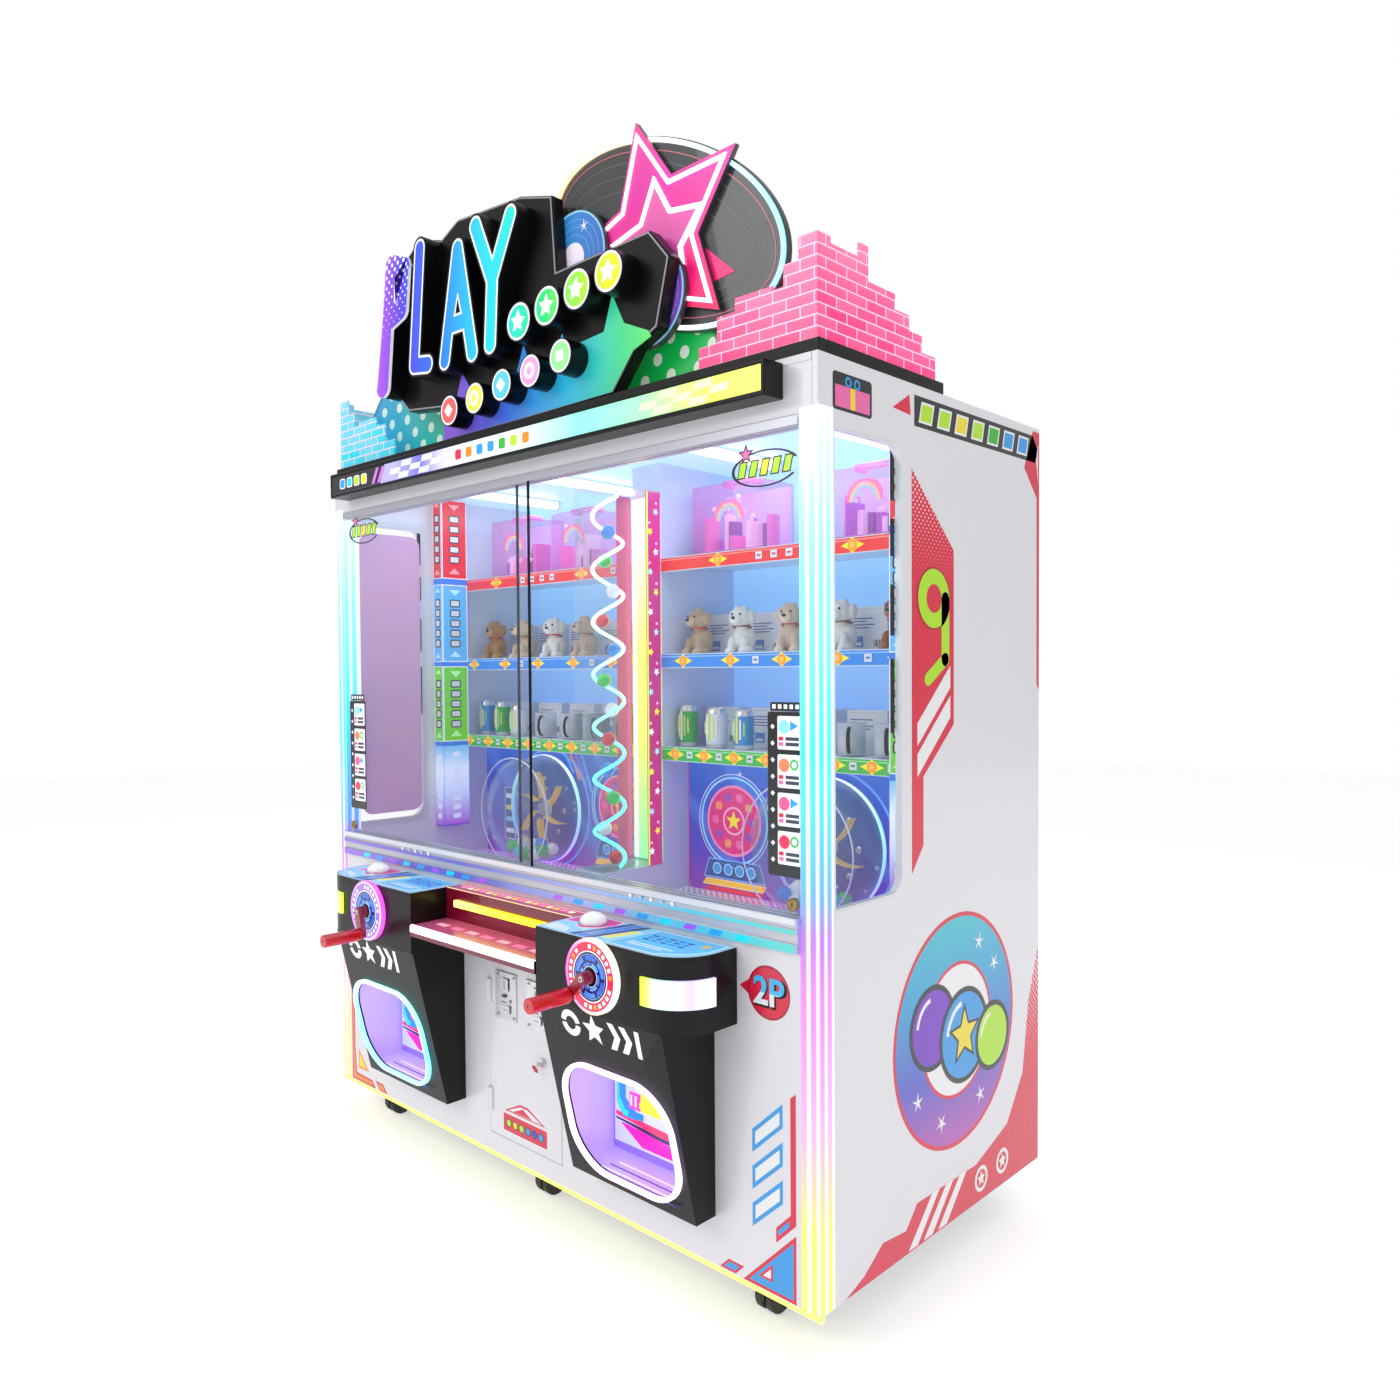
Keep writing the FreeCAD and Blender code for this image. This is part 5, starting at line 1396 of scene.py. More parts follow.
def makeBoxPrints():
    # side light boxes in coloured sections, with plain dark blocks on each
    boxes = [b for b in islands("printed_boards") if b[1].z > 1.9]
    bm = newShape()
    sections = ((1.696, 1.98, (0.78, 0.01, 0.02)), (1.415, 1.676, (0.1, 0.45, 0.85)),
                (1.145, 1.4, (0.15, 0.62, 0.02)), (0.862, 1.13, (0.35, 0.35, 0.9)))
    for low, high in boxes:
        w = cabFront - low.y
        for n, (z0, z1, ink) in enumerate(sections):
            z1 = min(z1, high.z - 0.002)
            flat(bm, rect(low.x + 0.001, high.x - 0.001, z0, z1), w, w + 0.0008, ink, 2 if n == 3 else 1,
                 line=0.0022, lineInk=white)
            if n < 3:
                mid = (low.x + high.x) / 2
                for k in range(5):
                    z = (z0 + z1) / 2 + (k - 2) * 0.034
                    flat(bm, softRect(mid, z, 0.03, 0.028, 0.006), w + 0.0008, w + 0.0014, white, 0,
                         line=0.0045, lineInk=black)
                for z in (z0 + 0.02, z1 - 0.02):
                    flat(bm, [(mid - 0.015, z - 0.006), (mid + 0.015, z - 0.006), (mid, z + 0.01)],
                         w + 0.0008, w + 0.0012,
                         [min(1, c + 0.35) for c in ink], 1)
            else:
                for k in range(7):
                    z = z0 + 0.03 + k * 0.033
                    flat(bm, softRect((low.x + high.x) / 2, z, 0.022, 0.018, 0.003), w + 0.0008, w + 0.0012,
                         (0.75, 0.85, 1), 1)
        face = newShape()
        sx = 1 if low.x < 0 else -1
        x = high.x if sx > 0 else low.x
        u0, u1 = sorted((sx * (low.y - cabFront), sx * (high.y - cabFront)))
        for n, (z0, z1, ink) in enumerate(sections):
            z1 = min(z1, high.z - 0.002)
            flat(face, rect(u0 + 0.001, u1 - 0.001, z0, z1), 0.0, 0.0008, ink, 2 if n == 3 else 1,
                 line=0.003, lineInk=white)
            mid = (u0 + u1) / 2
            for k in range(5 if n < 3 else 8):
                z = (z0 + z1) / 2 + (k - (2 if n < 3 else 3.5)) * (0.034 if n < 3 else 0.03)
                flat(face, softRect(mid, z, 0.04, 0.026, 0.006) if n < 3
                     else softRect(mid, z, 0.03, 0.016, 0.004), 0.0008, 0.0014,
                     white if n < 3 else (0.75, 0.85, 1), 0 if n < 3 else 1, line=0.004 if n < 3 else 0.0,
                     lineInk=black)
            if n < 3:
                for z, way in ((z0 + 0.025, 1), (z1 - 0.025, -1)):
                    flat(face, [(mid - 0.022, z - way * 0.008), (mid + 0.022, z - way * 0.008),
                                (mid, z + way * 0.012)], 0.0008, 0.0012,
                         [min(1, c + 0.35) for c in ink], 1)
        keep(face, "sideBoxFace_" + ("left" if sx > 0 else "right"), [printInk, softLitInk, boxFade],
             matrix=board((x, cabFront, 0), (0, sx, 0), (0, 0, 1)))
    keep(bm, "sideBoxPrint", [printInk, softLitInk, boxFade], matrix=frontBoard)


boxFade = fadePrint("boxFade", "Z", 0.86, 1.13, [(0, (0.35, 0.05, 0.6)), (0.4, (0.6, 0.7, 1)),
                                                 (0.7, (0.8, 0.9, 1)), (1, (0.15, 0.5, 0.85))], 0.4)


def makeBackboards():
    # deep blue boards behind the drums: orbit rings, a red target, a plaque with four coins and a gold one
    boards = [b for b in islands("printed_boards") if b[1].z < 1.2 and b[1].x - b[0].x > 0.3]
    dress("printed_boards", boardBlue)
    for low, high in boards:
        sx = 1 if (low.x + high.x) > 0 else -1
        bm = newShape()
        w = cabFront - low.y
        t = 0.0008
        cx, cz = sx * 0.575, 0.928
        ring(bm, cx, cz, 0.19, 0.19 + 0.006, w, w + t, (0.12, 0.42, 0.95), 1, steps=80)
        tx, tz = sx * 0.236, 0.957
        ring(bm, tx, tz, 0.118, 0.124, w, w + t, (0.3, 0.7, 1), 1, steps=64)
        ring(bm, tx, tz, 0.13, 0.132, w, w + t, (0.8, 0.9, 1), 1, steps=64)
        disc(bm, tx, tz, 0.1, w, w + t, (0.75, 0.0, 0.2), 1, 56, line=0.007, lineInk=(0.98, 0.25, 0.5))
        for k in range(10):
            a = math.radians(36 * k)
            flat(bm, softRect(tx + 0.068 * math.cos(a), tz + 0.068 * math.sin(a), 0.024, 0.022, 0.007),
                 w + t, w + t * 1.6,
                 ((0.3, 0.05, 0.5), (0.9, 0.3, 0.1), (0.95, 0.1, 0.4))[k % 3], 1)
        ring(bm, tx, tz, 0.034, 0.04, w + t, w + t * 1.6, (0.98, 0.4, 0.6), 1, steps=40)
        flat(bm, starPoints(tx, tz, 0.028, 0.012), w + t, w + t * 1.8, yellow, 1)
        flat(bm, [(tx - 0.115, 0.79), (tx - 0.095, 0.845), (tx + 0.095, 0.845), (tx + 0.115, 0.79)], w,
             w + t, (0.02, 0.07, 0.3), 1, line=0.003,
             lineInk=(0.2, 0.5, 0.95))
        for k in range(4):
            disc(bm, tx - 0.063 + 0.042 * k, 0.818, 0.0165, w + t, w + t * 2, (0.05, 0.3, 0.7), 1, 24,
                 line=0.003, lineInk=(0.4, 0.75, 1))
        flat(bm, [(tx - 0.12, 0.768), (tx - 0.105, 0.787), (tx + 0.12, 0.787), (tx + 0.105, 0.768)], w,
             w + t, (0.95, 0.55, 0.03), 1, line=0.003, lineInk=(1, 0.8, 0.2))
        flat(bm, [(tx - 0.11, 0.7525), (tx - 0.1, 0.765), (tx + 0.11, 0.765), (tx + 0.1, 0.7525)], w, w + t,
             red, 1)
        # slanted light streaks and small sparks
        for k in range(4):
            x = sx * (0.36 + 0.03 * k)
            flat(bm, [(x, 0.99 + 0.02 * k), (x + sx * 0.012, 0.99 + 0.02 * k), (x + sx * 0.07, 1.13),
                      (x + sx * 0.058, 1.13)], w, w + t * 0.6,
                 ((0.1, 0.35, 0.95), (0.3, 0.1, 0.7), orange, (0.1, 0.5, 0.95))[k], 1)
        for k in range(14):
            x, z = sx * random.uniform(0.1, 0.86), random.uniform(0.78, 1.12)
            flat(bm, starPoints(x, z, random.uniform(0.006, 0.013), 0.0025, 90), w + t * 0.1, w + t * 0.5,
                 (0.85, 0.92, 1), 1)
        # a striped sign panel near the outer side
        flat(bm, rect(sx * 0.77, sx * 0.83, 0.80, 0.98), w, w + t, (0.02, 0.04, 0.2), 1, line=0.003,
             lineInk=(0.6, 0.8, 1))
        for k in range(4):
            flat(bm, softRect(sx * 0.8, 0.83 + 0.04 * k, 0.044, 0.016, 0.002), w + t, w + t * 1.5,
                 (white, paleBlue, yellow, white)[k], 1)
        keep(bm, "backboardPrint_" + ("right" if sx > 0 else "left"), [printInk, softLitInk],
             matrix=frontBoard)


def makeBoardBlue():
    # blue at the top, purple low down, magenta on the column strips
    mat, tree, shader = newMaterial("boardBlue", {"Coat Weight": 0.4, "Emission Strength": 0.3})
    color, parts = axisRamp(tree, "Z", 0.75, 1.15, [(0, (0.3, 0.02, 0.45)), (0.3, (0.08, 0.03, 0.55)),
                                                    (0.7, (0.01, 0.08, 0.6)), (1, (0.02, 0.2, 0.75))])
    rays = addNode(tree, "TexWave", {"wave_type": "BANDS", "bands_direction": "DIAGONAL"}, Scale=2.2,
                   Distortion=2.0)
    tree.links.new(addNode(tree, "TexCoord").outputs["Object"], rays.inputs["Vector"])
    soft = mapRange(tree, rays.outputs["Fac"], 0.75, 1.0, 0.0, 0.35)
    mixed = mixInks(tree, soft, color, (0.1, 0.35, 0.95))
    away = addNode(tree, "Math", {"operation": "ABSOLUTE"}, i0=parts.outputs["X"])
    column = addNode(tree, "Math", {"operation": "LESS_THAN"}, i0=away.outputs[0], i1=0.0625)
    strip = mixInks(tree, column.outputs[0], mixed, (0.7, 0.01, 0.25))
    skin = wrapSkin(tree, shader, strip, 0.28, drift=0.1)
    tree.links.new(skin.outputs["Color"], shader.inputs["Emission Color"])
    return mat


boardBlue = makeBoardBlue()


def makeColumn():
    # walls of the divider, its light strips and the magenta star strip
    eased("inner_liner", 0.001, [linerBlue, lavenderWall], pick=lambda f: 1
          if max(abs(v.co.x) for v in f.verts) < 0.066 else 0)
    low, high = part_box("divider_case")
    bm = newShape()
    for sx in (-1, 1):
        x = sx * (high[0] - 0.006)
        brick(bm, x - 0.003, x + 0.003, high[1] - 0.006, high[1] - 0.0015, low[2] + 0.01, high[2] - 0.01,
              lime, 2, ease=0.001)
    brick(bm, low[0] + 0.004, high[0] - 0.004, high[1] - 0.004, high[1] - 0.0008, low[2] + 0.006,
          high[2] - 0.006, (0.6, 0.7, 1.0), 2)
    for sx in (-1, 1):
        brick(bm, sx * 0.045 - 0.005, sx * 0.045 + 0.005, high[1] - 0.0065, high[1] - 0.004, low[2] + 0.008,
              high[2] - 0.008, white, 3, ease=0.001)
    keep(bm, "columnLights", [printInk, softLitInk, columnGlow, ledWhite])
    for sx in (-1, 1):
        m = board((sx * high[0], cabFront, 0), (0, sx, 0), (0, 0, 1))
        piece = newShape()
        y1 = (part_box("shelf_edges")[0][1] - cabFront) - 0.004
        y0 = y1 - 0.052
        u0, u1 = (y0, y1) if sx > 0 else (-y1, -y0)
        lift = 0.0027
        for k in range(18):
            z = low[2] + 0.04 + k * 0.056
            u = (u0 + u1) / 2 + (0.011 if k % 2 else -0.011)
            flat(piece, starPoints(u, z, 0.011, 0.005, 90 + 20 * k), lift, lift + 0.0006,
                 (white, yellow, paleBlue)[k % 3], 1)
            disc(piece, u0 + (u1 - u0) * (0.75 if k % 2 else 0.25), z + 0.024, 0.004, lift, lift + 0.0006,
                 (0.95, 0.4, 0.7), 1, 12)
        flat(piece, rect(u0 + 0.001, u0 + 0.006, low[2] + 0.002, high[2] - 0.002), lift,
             lift + 0.0008, lime, 1)
        keep(piece, "columnStrip_" + ("right" if sx > 0 else "left"), [printInk, litInk], matrix=m)


columnGlow = glowMaterial("columnGlow", "Z", 0.83, 1.88,
                          [(0, (0.2, 0.9, 0.3)), (0.3, (0.5, 0.95, 0.1)), (0.6, (0.8, 0.95, 0.1)),
                           (1, (0.95, 0.6, 0.7))], 1.3)
ballInks = {"red": (0.75, 0.01, 0.02), "green": (0.02, 0.6, 0.05), "blue": (0.02, 0.25, 0.8),
            "white": (0.85, 0.88, 0.92), "cyan": (0.1, 0.55, 0.75)}


def makeBalls():
    # hollow two-part balls with a seam, each turned its own way
    bm = newShape()
    column = ("red", "white", "green", "blue")
    heap = ("green", "white", "blue", "white", "cyan", "green", "white")
    inColumn = inDrum = 0
    for low, high in sorted(islands("game_balls"), key=lambda b: (b[0].z, b[0].x)):
        mid, r = (low + high) / 2, (high.x - low.x) / 2
        if abs(mid.x) < 0.1:
            ink = ballInks[column[inColumn % 4]]
            inColumn += 1
        else:
            ink = ballInks[heap[inDrum % 7]]
            inDrum += 1
        made = bmesh.ops.create_uvsphere(bm, u_segments=28, v_segments=18, radius=r)["verts"]
        faces = list({f for v in made for f in v.link_faces})
        seam = [v for v in made if abs(v.co.z) < r * 0.02]
        bmesh.ops.scale(bm, verts=seam, vec=(0.988, 0.988, 1))
        turn = Matrix.Rotation(random.uniform(0, math.pi), 3,
                               Vector((random.random(), random.random(), 0.3)))
        bmesh.ops.rotate(bm, verts=made, cent=(0, 0, 0), matrix=turn)
        bmesh.ops.translate(bm, verts=made, vec=mid)
        for f in faces:
            f.smooth = True
        paint(bm, faces, ink)
    keep(bm, "gameBalls", ballPlastic, replaces=("game_balls",))


# the balls' faint glow in their own ink is painted light: they are no lamp
ballPlastic = inkMaterial("ballPlastic", 0.22, 0.15, {"Coat Weight": 0.8, "Coat Roughness": 0.06})


def makeDrums():
    # clear shell on the CAD solid; lit rim, gold vanes and hub turn with it
    for name in ("left", "right"):
        node = "ball_drum_" + name
        low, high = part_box(node)
        cx, cz = (low[0] + high[0]) / 2, (low[2] + high[2]) / 2
        dress(node, drumGlass)
        bm = newShape()
        r = (high[0] - low[0]) / 2
        turnedShape(bm, [(r + 0.001, 0.0), (r + 0.0032, 0.002), (r + 0.0032, 0.012), (r + 0.001, 0.014),
                         (r + 0.001, 0.0)],
                    (cx, cabFront + 0.522, cz), (0, 1, 0), white, 1, 72)
        turnedShape(bm, [(r - 0.004, 0.0), (r - 0.002, -0.003), (r + 0.001, 0.0), (r - 0.001, 0.003),
                         (r - 0.004, 0.0)],
                    (cx, cabFront + 0.4, cz), (0, 1, 0), (0.75, 0.85, 1), 0, 72)
        keep(bm, "drumRim_" + name, [printInk, rimGlow], "drum_" + name)
        inner = newShape()
        back = cabFront + 0.529
        for k in range(6):
            newBlade(inner, cx, cz, back, math.radians(60 * k + 20))
        turnedShape(inner, [(0.0, -0.02), (0.018, -0.018), (0.022, -0.006), (0.03, 0.0), (0.034, 0.004)],
                    (cx, back - 0.001, cz), (0, 1, 0), (0.8, 0.82, 0.9), 1, 32)
        for k in range(8):
            a = math.radians(45 * k)
            x, z = cx + 0.1 * math.cos(a), cz + 0.1 * math.sin(a)
            turnedShape(inner, [(0, -0.0025), (0.005, -0.0025), (0.009, -0.0008), (0.009, 0)],
                        (x, back - 0.0005, z), (0, 1, 0), (0.7, 0.85, 1), 1, 14)
        keep(inner, "drumWorks_" + name, [goldVane, brushedSteel], "drum_" + name)


def newBlade(bm, cx, cz, y, a):
    # a curved gold scoop standing on the drum's back
    points = [(0.035, 0.0), (0.062, 0.008), (0.088, 0.022), (0.112, 0.044)]
    verts = []
    for r, off in points:
        x = cx + r * math.cos(a) - off * math.sin(a)
        z = cz + r * math.sin(a) + off * math.cos(a)
        verts.append(bm.verts.new((x, y - 0.001, z)))
    edges = [bm.edges.new(pair) for pair in zip(verts, verts[1:])]
    made = bmesh.ops.extrude_edge_only(bm, edges=edges)["geom"]
    tops = [g for g in made if isinstance(g, bmesh.types.BMVert)]
    bmesh.ops.translate(bm, verts=tops, vec=(0, -0.028, 0))
    faces = [g for g in made if isinstance(g, bmesh.types.BMFace)]
    solid = bmesh.ops.solidify(bm, geom=faces, thickness=0.0025)["geom"]
    faces = list({f for f in faces + [g for g in solid if isinstance(g, bmesh.types.BMFace)] if f.is_valid})
    paint(bm, faces, (0.9, 0.6, 0.05))


# the vanes' gold glow is painted light: they are no lamp
goldVane = skinMaterial("goldVane", (0.95, 0.62, 0.08), 0.28,
                        {"Coat Weight": 0.5, "Emission Color": (0.9, 0.55, 0.05, 1),
                         "Emission Strength": 0.25},
                        drift=0.1, grain=500.0)
rimGlow = glowMaterial("rimGlow", "Z", 0.76, 1.1,
                       [(0, (0.5, 0.3, 1)), (0.35, (0.3, 0.6, 1)), (0.7, (0.4, 0.95, 1)),
                        (1, (0.9, 0.95, 1))], 0.9)

makeLamps()
makeShelfEdges()
makeBoxPrints()
makeBackboards()
makeColumn()
makeBalls()
makeDrums()
print("display inside ready")


# consoles

deckBoard = board((0, 0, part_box("console_decks")[1][2]), (1, 0, 0), (0, 1, 0))


def makeDecks():
    # printed clear-coated deck: pale border, dark blue bands, a yellow stripe and a light blue panel
    eased("console_decks", 0.001, [blackGloss, deckSheet], pick=lambda f: 1 if f.normal.z > 0.9 else 0)
    t = 0.00015
    front, back = -0.477, -0.322
    bm, regions = frontRegions("console_decks", (0, 0, 1), deckBoard)
    for region in regions:
        tiers(bm, region, [(0.0035, (0.85, 0.93, 1.0), 0), (0.002, (0.1, 0.45, 0.9), 0),
                           (0, (0.3, 0.72, 0.98), 1)], (0.0, t))
    for sx in (-1, 1):
        def patch(points, ink, lift=1, slot=1, **more):
            if sx > 0:
                pts = points
            else:
                pts = [(max(-0.73, min(-0.27, p[0] - 0.956)), p[1] if p[0] - 0.956 > -0.64
                        else max(p[1], -0.44)) for p in points]
            flat(bm, pts, t * lift, t * (lift + 0.6), ink, slot, **more)
        patch([(0.272, -0.405), (0.315, -0.395), (0.335, -0.42), (0.36, -0.425), (0.395, -0.4),
               (0.408, -0.36), (0.4, back - 0.003), (0.272, back - 0.003)],
              (0.85, 0.02, 0.35), line=0.004, lineInk=(1, 0.75, 0.88))
        patch([(0.275, -0.47), (0.36, -0.47), (0.34, -0.44), (0.275, -0.425)], (0.75, 0.93, 1.0))
        for k, ink in enumerate(((0.01, 0.04, 0.3), (0.02, 0.2, 0.75), (0.01, 0.03, 0.2))):
            x = 0.395 + 0.024 * k
            patch([(x - 0.02, front + 0.004), (x, front + 0.004), (x + 0.045, back - 0.003),
                   (x + 0.025, back - 0.003)], ink, 2)
        patch([(0.452, front + 0.03), (0.478, front + 0.03), (0.502, -0.365), (0.476, -0.365)],
              (0.95, 0.85, 0.02), 3, line=0.003, lineInk=(1, 1, 0.6))
        patch([(0.492, front + 0.006), (0.64, front + 0.006), (0.7, -0.43), (0.722, -0.39),
               (0.722, back - 0.004), (0.52, back - 0.004)], (0.12, 0.55, 0.95), 2,
              line=0.003, lineInk=(0.9, 0.97, 1))
        for row in range(3):
            for col in range(5):
                x, y = 0.535 + 0.026 * col, -0.37 - 0.016 * row
                patch(rect(x, x + 0.018, y, y + 0.009), ((0.01, 0.05, 0.35),
                                                         (0.02, 0.2, 0.7))[(row + col) % 2], 4)
        patch([(0.69 + 0.012 * math.cos(a), -0.362 + 0.012 * math.sin(a))
               for a in [k * math.pi / 6 for k in range(12)]], (0.98, 0.5, 0.03), 4)
        patch([(0.53, -0.433), (0.66, -0.433), (0.655, -0.428), (0.53, -0.428)], white, 4)
        patch([(0.53, -0.445), (0.64, -0.445), (0.635, -0.44), (0.53, -0.44)], (0.9, 0.97, 1), 4)
    keep(bm, "deckPrint", [printInk, softLitInk], matrix=deckBoard)


deckSheet = skinMaterial("deckSheet", (0.25, 0.6, 0.9), 0.15, {"Coat Weight": 0.8, "Coat Roughness": 0.04},
                         drift=0.1)


def makeDials():
    # dark blue hub with segmented rings; a red ring of marks inside a lit cream and magenta rim
    eased("dial_plates", 0.0015, [blackGloss, ringGlow], pick=lambda f: 1 if abs(f.normal.y) < 0.5 else 0)
    t = 0.0006
    for low, high in islands("dial_plates"):
        cx, cz, w = (low.x + high.x) / 2, (low.z + high.z) / 2, cabFront - low.y
        right = cx > 0
        bm = newShape()
        inner = 0.021
        ring(bm, cx, cz, 0.075, 0.0815, w, w + t, (1, 0.85, 0.6) if right else (0.85, 0.75, 1), 2, steps=64)
        ring(bm, cx, cz, 0.056, 0.0748, w, w + t, (0.8, 0.01, 0.05) if right else (0.25, 0.12, 0.8), 1,
             steps=64)
        ring(bm, cx, cz, inner, 0.0558, w, w + t, (0.01, 0.015, 0.16), 0, steps=64)
        for r0, r1, ink in ((0.0535, 0.0555, (0.85, 0.9, 1)), (0.0745, 0.0757, (0.98, 0.3, 0.55)),
                            (0.0475, 0.0485, (0.2, 0.4, 1))):
            ring(bm, cx, cz, r0, r1, w + t, w + t * 1.5, ink, 1, steps=64)
        for k in range(26):
            if k % 9 > 6:
                continue
            a = 360 / 26 * k + 4
            ring(bm, cx, cz, 0.061, 0.0695, w + t, w + t * 1.7, ((1, 0.85, 0.8), orange)[k % 5 == 0]
                 if right else (0.75, 0.8, 1), 1, a0=a, a1=a + 7.5, steps=3)
        for k in range(6):
            ring(bm, cx, cz, 0.036, 0.0455, w + t, w + t * 1.6, ((0.05, 0.2, 0.8), (0.02, 0.1, 0.5))[k % 2],
                 1, a0=60 * k + 4, a1=60 * k + 52, steps=10)
            ring(bm, cx, cz, 0.025, 0.031, w + t, w + t * 1.6,
                 ((0.1, 0.35, 0.95), (0.05, 0.15, 0.6))[k % 2], 1, a0=60 * k + 30, a1=60 * k + 78, steps=8)
        ring(bm, cx, cz, inner + 0.0005, inner + 0.002, w + t, w + t * 1.6, (0.5, 0.7, 1), 1, steps=40)
        keep(bm, "dialPrint_" + ("right" if right else "left"),
             [printInk, litInk, ringGlow if right else ringGlowLeft], matrix=frontBoard)


ringGlow = glowMaterial("ringGlow", "X", 0.4, 0.55,
                        [(0, (0.95, 0.1, 0.7)), (0.35, (1, 0.45, 0.45)), (0.7, (1, 0.85, 0.55)),
                         (1, (1, 0.95, 0.85))], 1.1)
ringGlowLeft = glowMaterial("ringGlowLeft", "X", -0.55, -0.4,
                            [(0, (0.5, 0.2, 0.95)), (0.5, (0.55, 0.4, 1)), (1, (1, 0.6, 0.75))], 1.0)


crankHub = {"x": 0.472, "front": -0.5232, "z": 0.722}


def makeCranks():
    # rounded red arms and grips, a cap on each grip and a screw in each hub
    for name in ("left", "right"):
        eased("crank_arm_" + name, 0.0022, crankRed, steps=3, slot="crank_metal")
        eased("crank_grip_" + name, 0.002, gripRed, steps=3, slot="grip_plastic")
        low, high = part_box("crank_grip_" + name)
        cx, cz = (low[0] + high[0]) / 2, (low[2] + high[2]) / 2
        bm = newShape()
        turnedShape(bm, [(0, -0.0003), (0.0055, -0.0003), (0.006, 0.0005), (0.006, 0.004)],
                    (cx, low[1] + 0.0002, cz), (0, 1, 0), (0.2, 0.01, 0.02), 0, 24)
        turnedShape(bm, [(0.0032, -0.0008), (0.0036, -0.0006), (0.0036, 0.0005)], (cx, low[1] + 0.0002, cz),
                    (0, 1, 0), (0.5, 0.5, 0.52), 1, 6)
        keep(bm, "gripCap_" + name, [printInk, brushedSteel], "grip_" + name)
        bm = newShape()
        hub = (crankHub["x"] if name == "right" else -crankHub["x"], crankHub["front"], crankHub["z"])
        turnedShape(bm, [(0, -0.0006), (0.0055, -0.0006), (0.0065, 0.0002), (0.0065, 0.002)], hub,
                    (0, 1, 0), (0.6, 0.6, 0.62), 1, 24)
        turnedShape(bm, [(0, -0.0012), (0.003, -0.0012), (0.003, 0.0)], hub, (0, 1, 0), (0.05, 0.05, 0.05),
                    0, 6)
        keep(bm, "crankScrew_" + name, [printInk, brushedSteel], "crank_" + name)


def makeDomes():
    # lit white domes, each in a metal bezel on the deck
    for name in ("left", "right"):
        dress("dome_button_" + name, domeWhite)
        low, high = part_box("dome_button_" + name)
        bm = newShape()
        cx, cy, z = (low[0] + high[0]) / 2, (low[1] + high[1]) / 2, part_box("console_decks")[1][2]
        turnedShape(bm, [(0.0312, 0.0004), (0.0345, 0.0002), (0.036, 0.0012), (0.0352, 0.0036),
                         (0.0322, 0.0042), (0.0312, 0.0004)],
                    (cx, cy, z), (0, 0, 1), (0.9, 0.9, 0.93), 1, 56)
        keep(bm, "domeBezel_" + name, [printInk, railMetal])


def makePodLights():
    # arc lamps, delivery rings, light bar and base strip each get their own glow
    bm = bmesh.new()
    bm.from_mesh(nodes["front_lights"].data)
    bmesh.ops.remove_doubles(bm, verts=bm.verts[:], dist=1e-5)
    left = set(bm.verts)
    while left:
        group = touched([next(iter(left))])
        left -= group
        low = [min(v.co[i] for v in group) for i in range(3)]
        high = [max(v.co[i] for v in group) for i in range(3)]
        mid = (low[0] + high[0]) / 2
        if high[0] - low[0] > 1.5:
            slot = 3
        elif high[0] - low[0] > 0.4:
            slot = 2
        elif high[2] < 0.6:
            slot = 1 if mid > 0 else 4
        else:
            slot = 0 if mid > 0 else 5
        for f in {f for v in group for f in v.link_faces}:
            f.material_index = slot
            f.smooth = slot in (0, 5)
    for e in bm.edges:
        if e.is_manifold and e.calc_face_angle(0) > math.radians(35):
            e.smooth = False
    bmesh.ops.bevel(bm, geom=[e for e in bm.edges if not e.smooth], offset=0.0014, offset_type="OFFSET",
                    segments=2, profile=0.5,
                    affect="EDGES", clamp_overlap=True, material=-1)
    keep(bm, "front_lights_shape", [arcGlow, ringPink, barGlow, baseGlow, ringCyan, arcGlowLeft],
         replaces=("front_lights",), recalc=False)


arcGlow = glowMaterial("arcGlow", "X", 0.62, 0.74,
                       [(0, (0.55, 0.95, 0.0)), (0.16, (0.75, 1, 0.1)), (0.34, (0.55, 0.85, 0.75)),
                        (0.6, (0.6, 0.75, 0.95)),
                                                    (0.85, (0.62, 0.5, 0.95)), (1, (0.8, 0.75, 0.95))], 0.7,
                                                    0.2)
arcGlowLeft = glowMaterial("arcGlowLeft", "X", -0.74, -0.62,
                           [(0, (0.9, 0.95, 1)), (0.5, (0.85, 1, 0.6)), (1, (0.6, 0.98, 0.05))], 1.4, 0.2)
ringPink = glowMaterial("ringPink", "Z", 0.22, 0.51,
                        [(0, (0.95, 0.6, 0.95)), (0.3, (0.98, 0.85, 0.98)), (0.6, (0.75, 0.5, 1)),
                         (0.85, (0.95, 0.85, 1)), (1, (0.9, 0.7, 1))], 1.7)
ringCyan = glowMaterial("ringCyan", "Z", 0.22, 0.51,
                        [(0, (0.3, 0.75, 1)), (0.4, (0.2, 0.9, 0.98)), (0.75, (0.3, 0.98, 0.95)),
                         (1, (0.5, 1, 0.85))], 1.5)
barGlow = glowMaterial("barGlow", "X", -0.22, 0.22,
                       [(0, (1, 0.95, 0.2)), (0.4, (1, 0.75, 0.02)), (1, (1, 0.62, 0.0))], 2.0)
baseGlow = glowMaterial("baseGlow", "X", -0.95, 0.95,
                        [(0, (1, 0.85, 0.1)), (0.4, (0.9, 1, 0.1)), (1, (1, 0.98, 0.12))], 1.4)


mouthCentre = 0.478


def slopeBoard():
    # the slanted face of the pods, below the dial
    faces = [f for f in nodes["console_pods"].data.polygons if f.normal.y < -0.8 and f.normal.z < -0.05]
    face = max(faces, key=lambda f: f.area)
    normal = face.normal.copy()
    up = Vector((0, -normal.z, normal.y)) * -1
    if up.z < 0:
        up = -up
    centre = face.center
    origin = Vector((0, centre.y, centre.z)) + up * ((0.45 - centre.z) / up.z)
    return board(origin, (1, 0, 0), up)


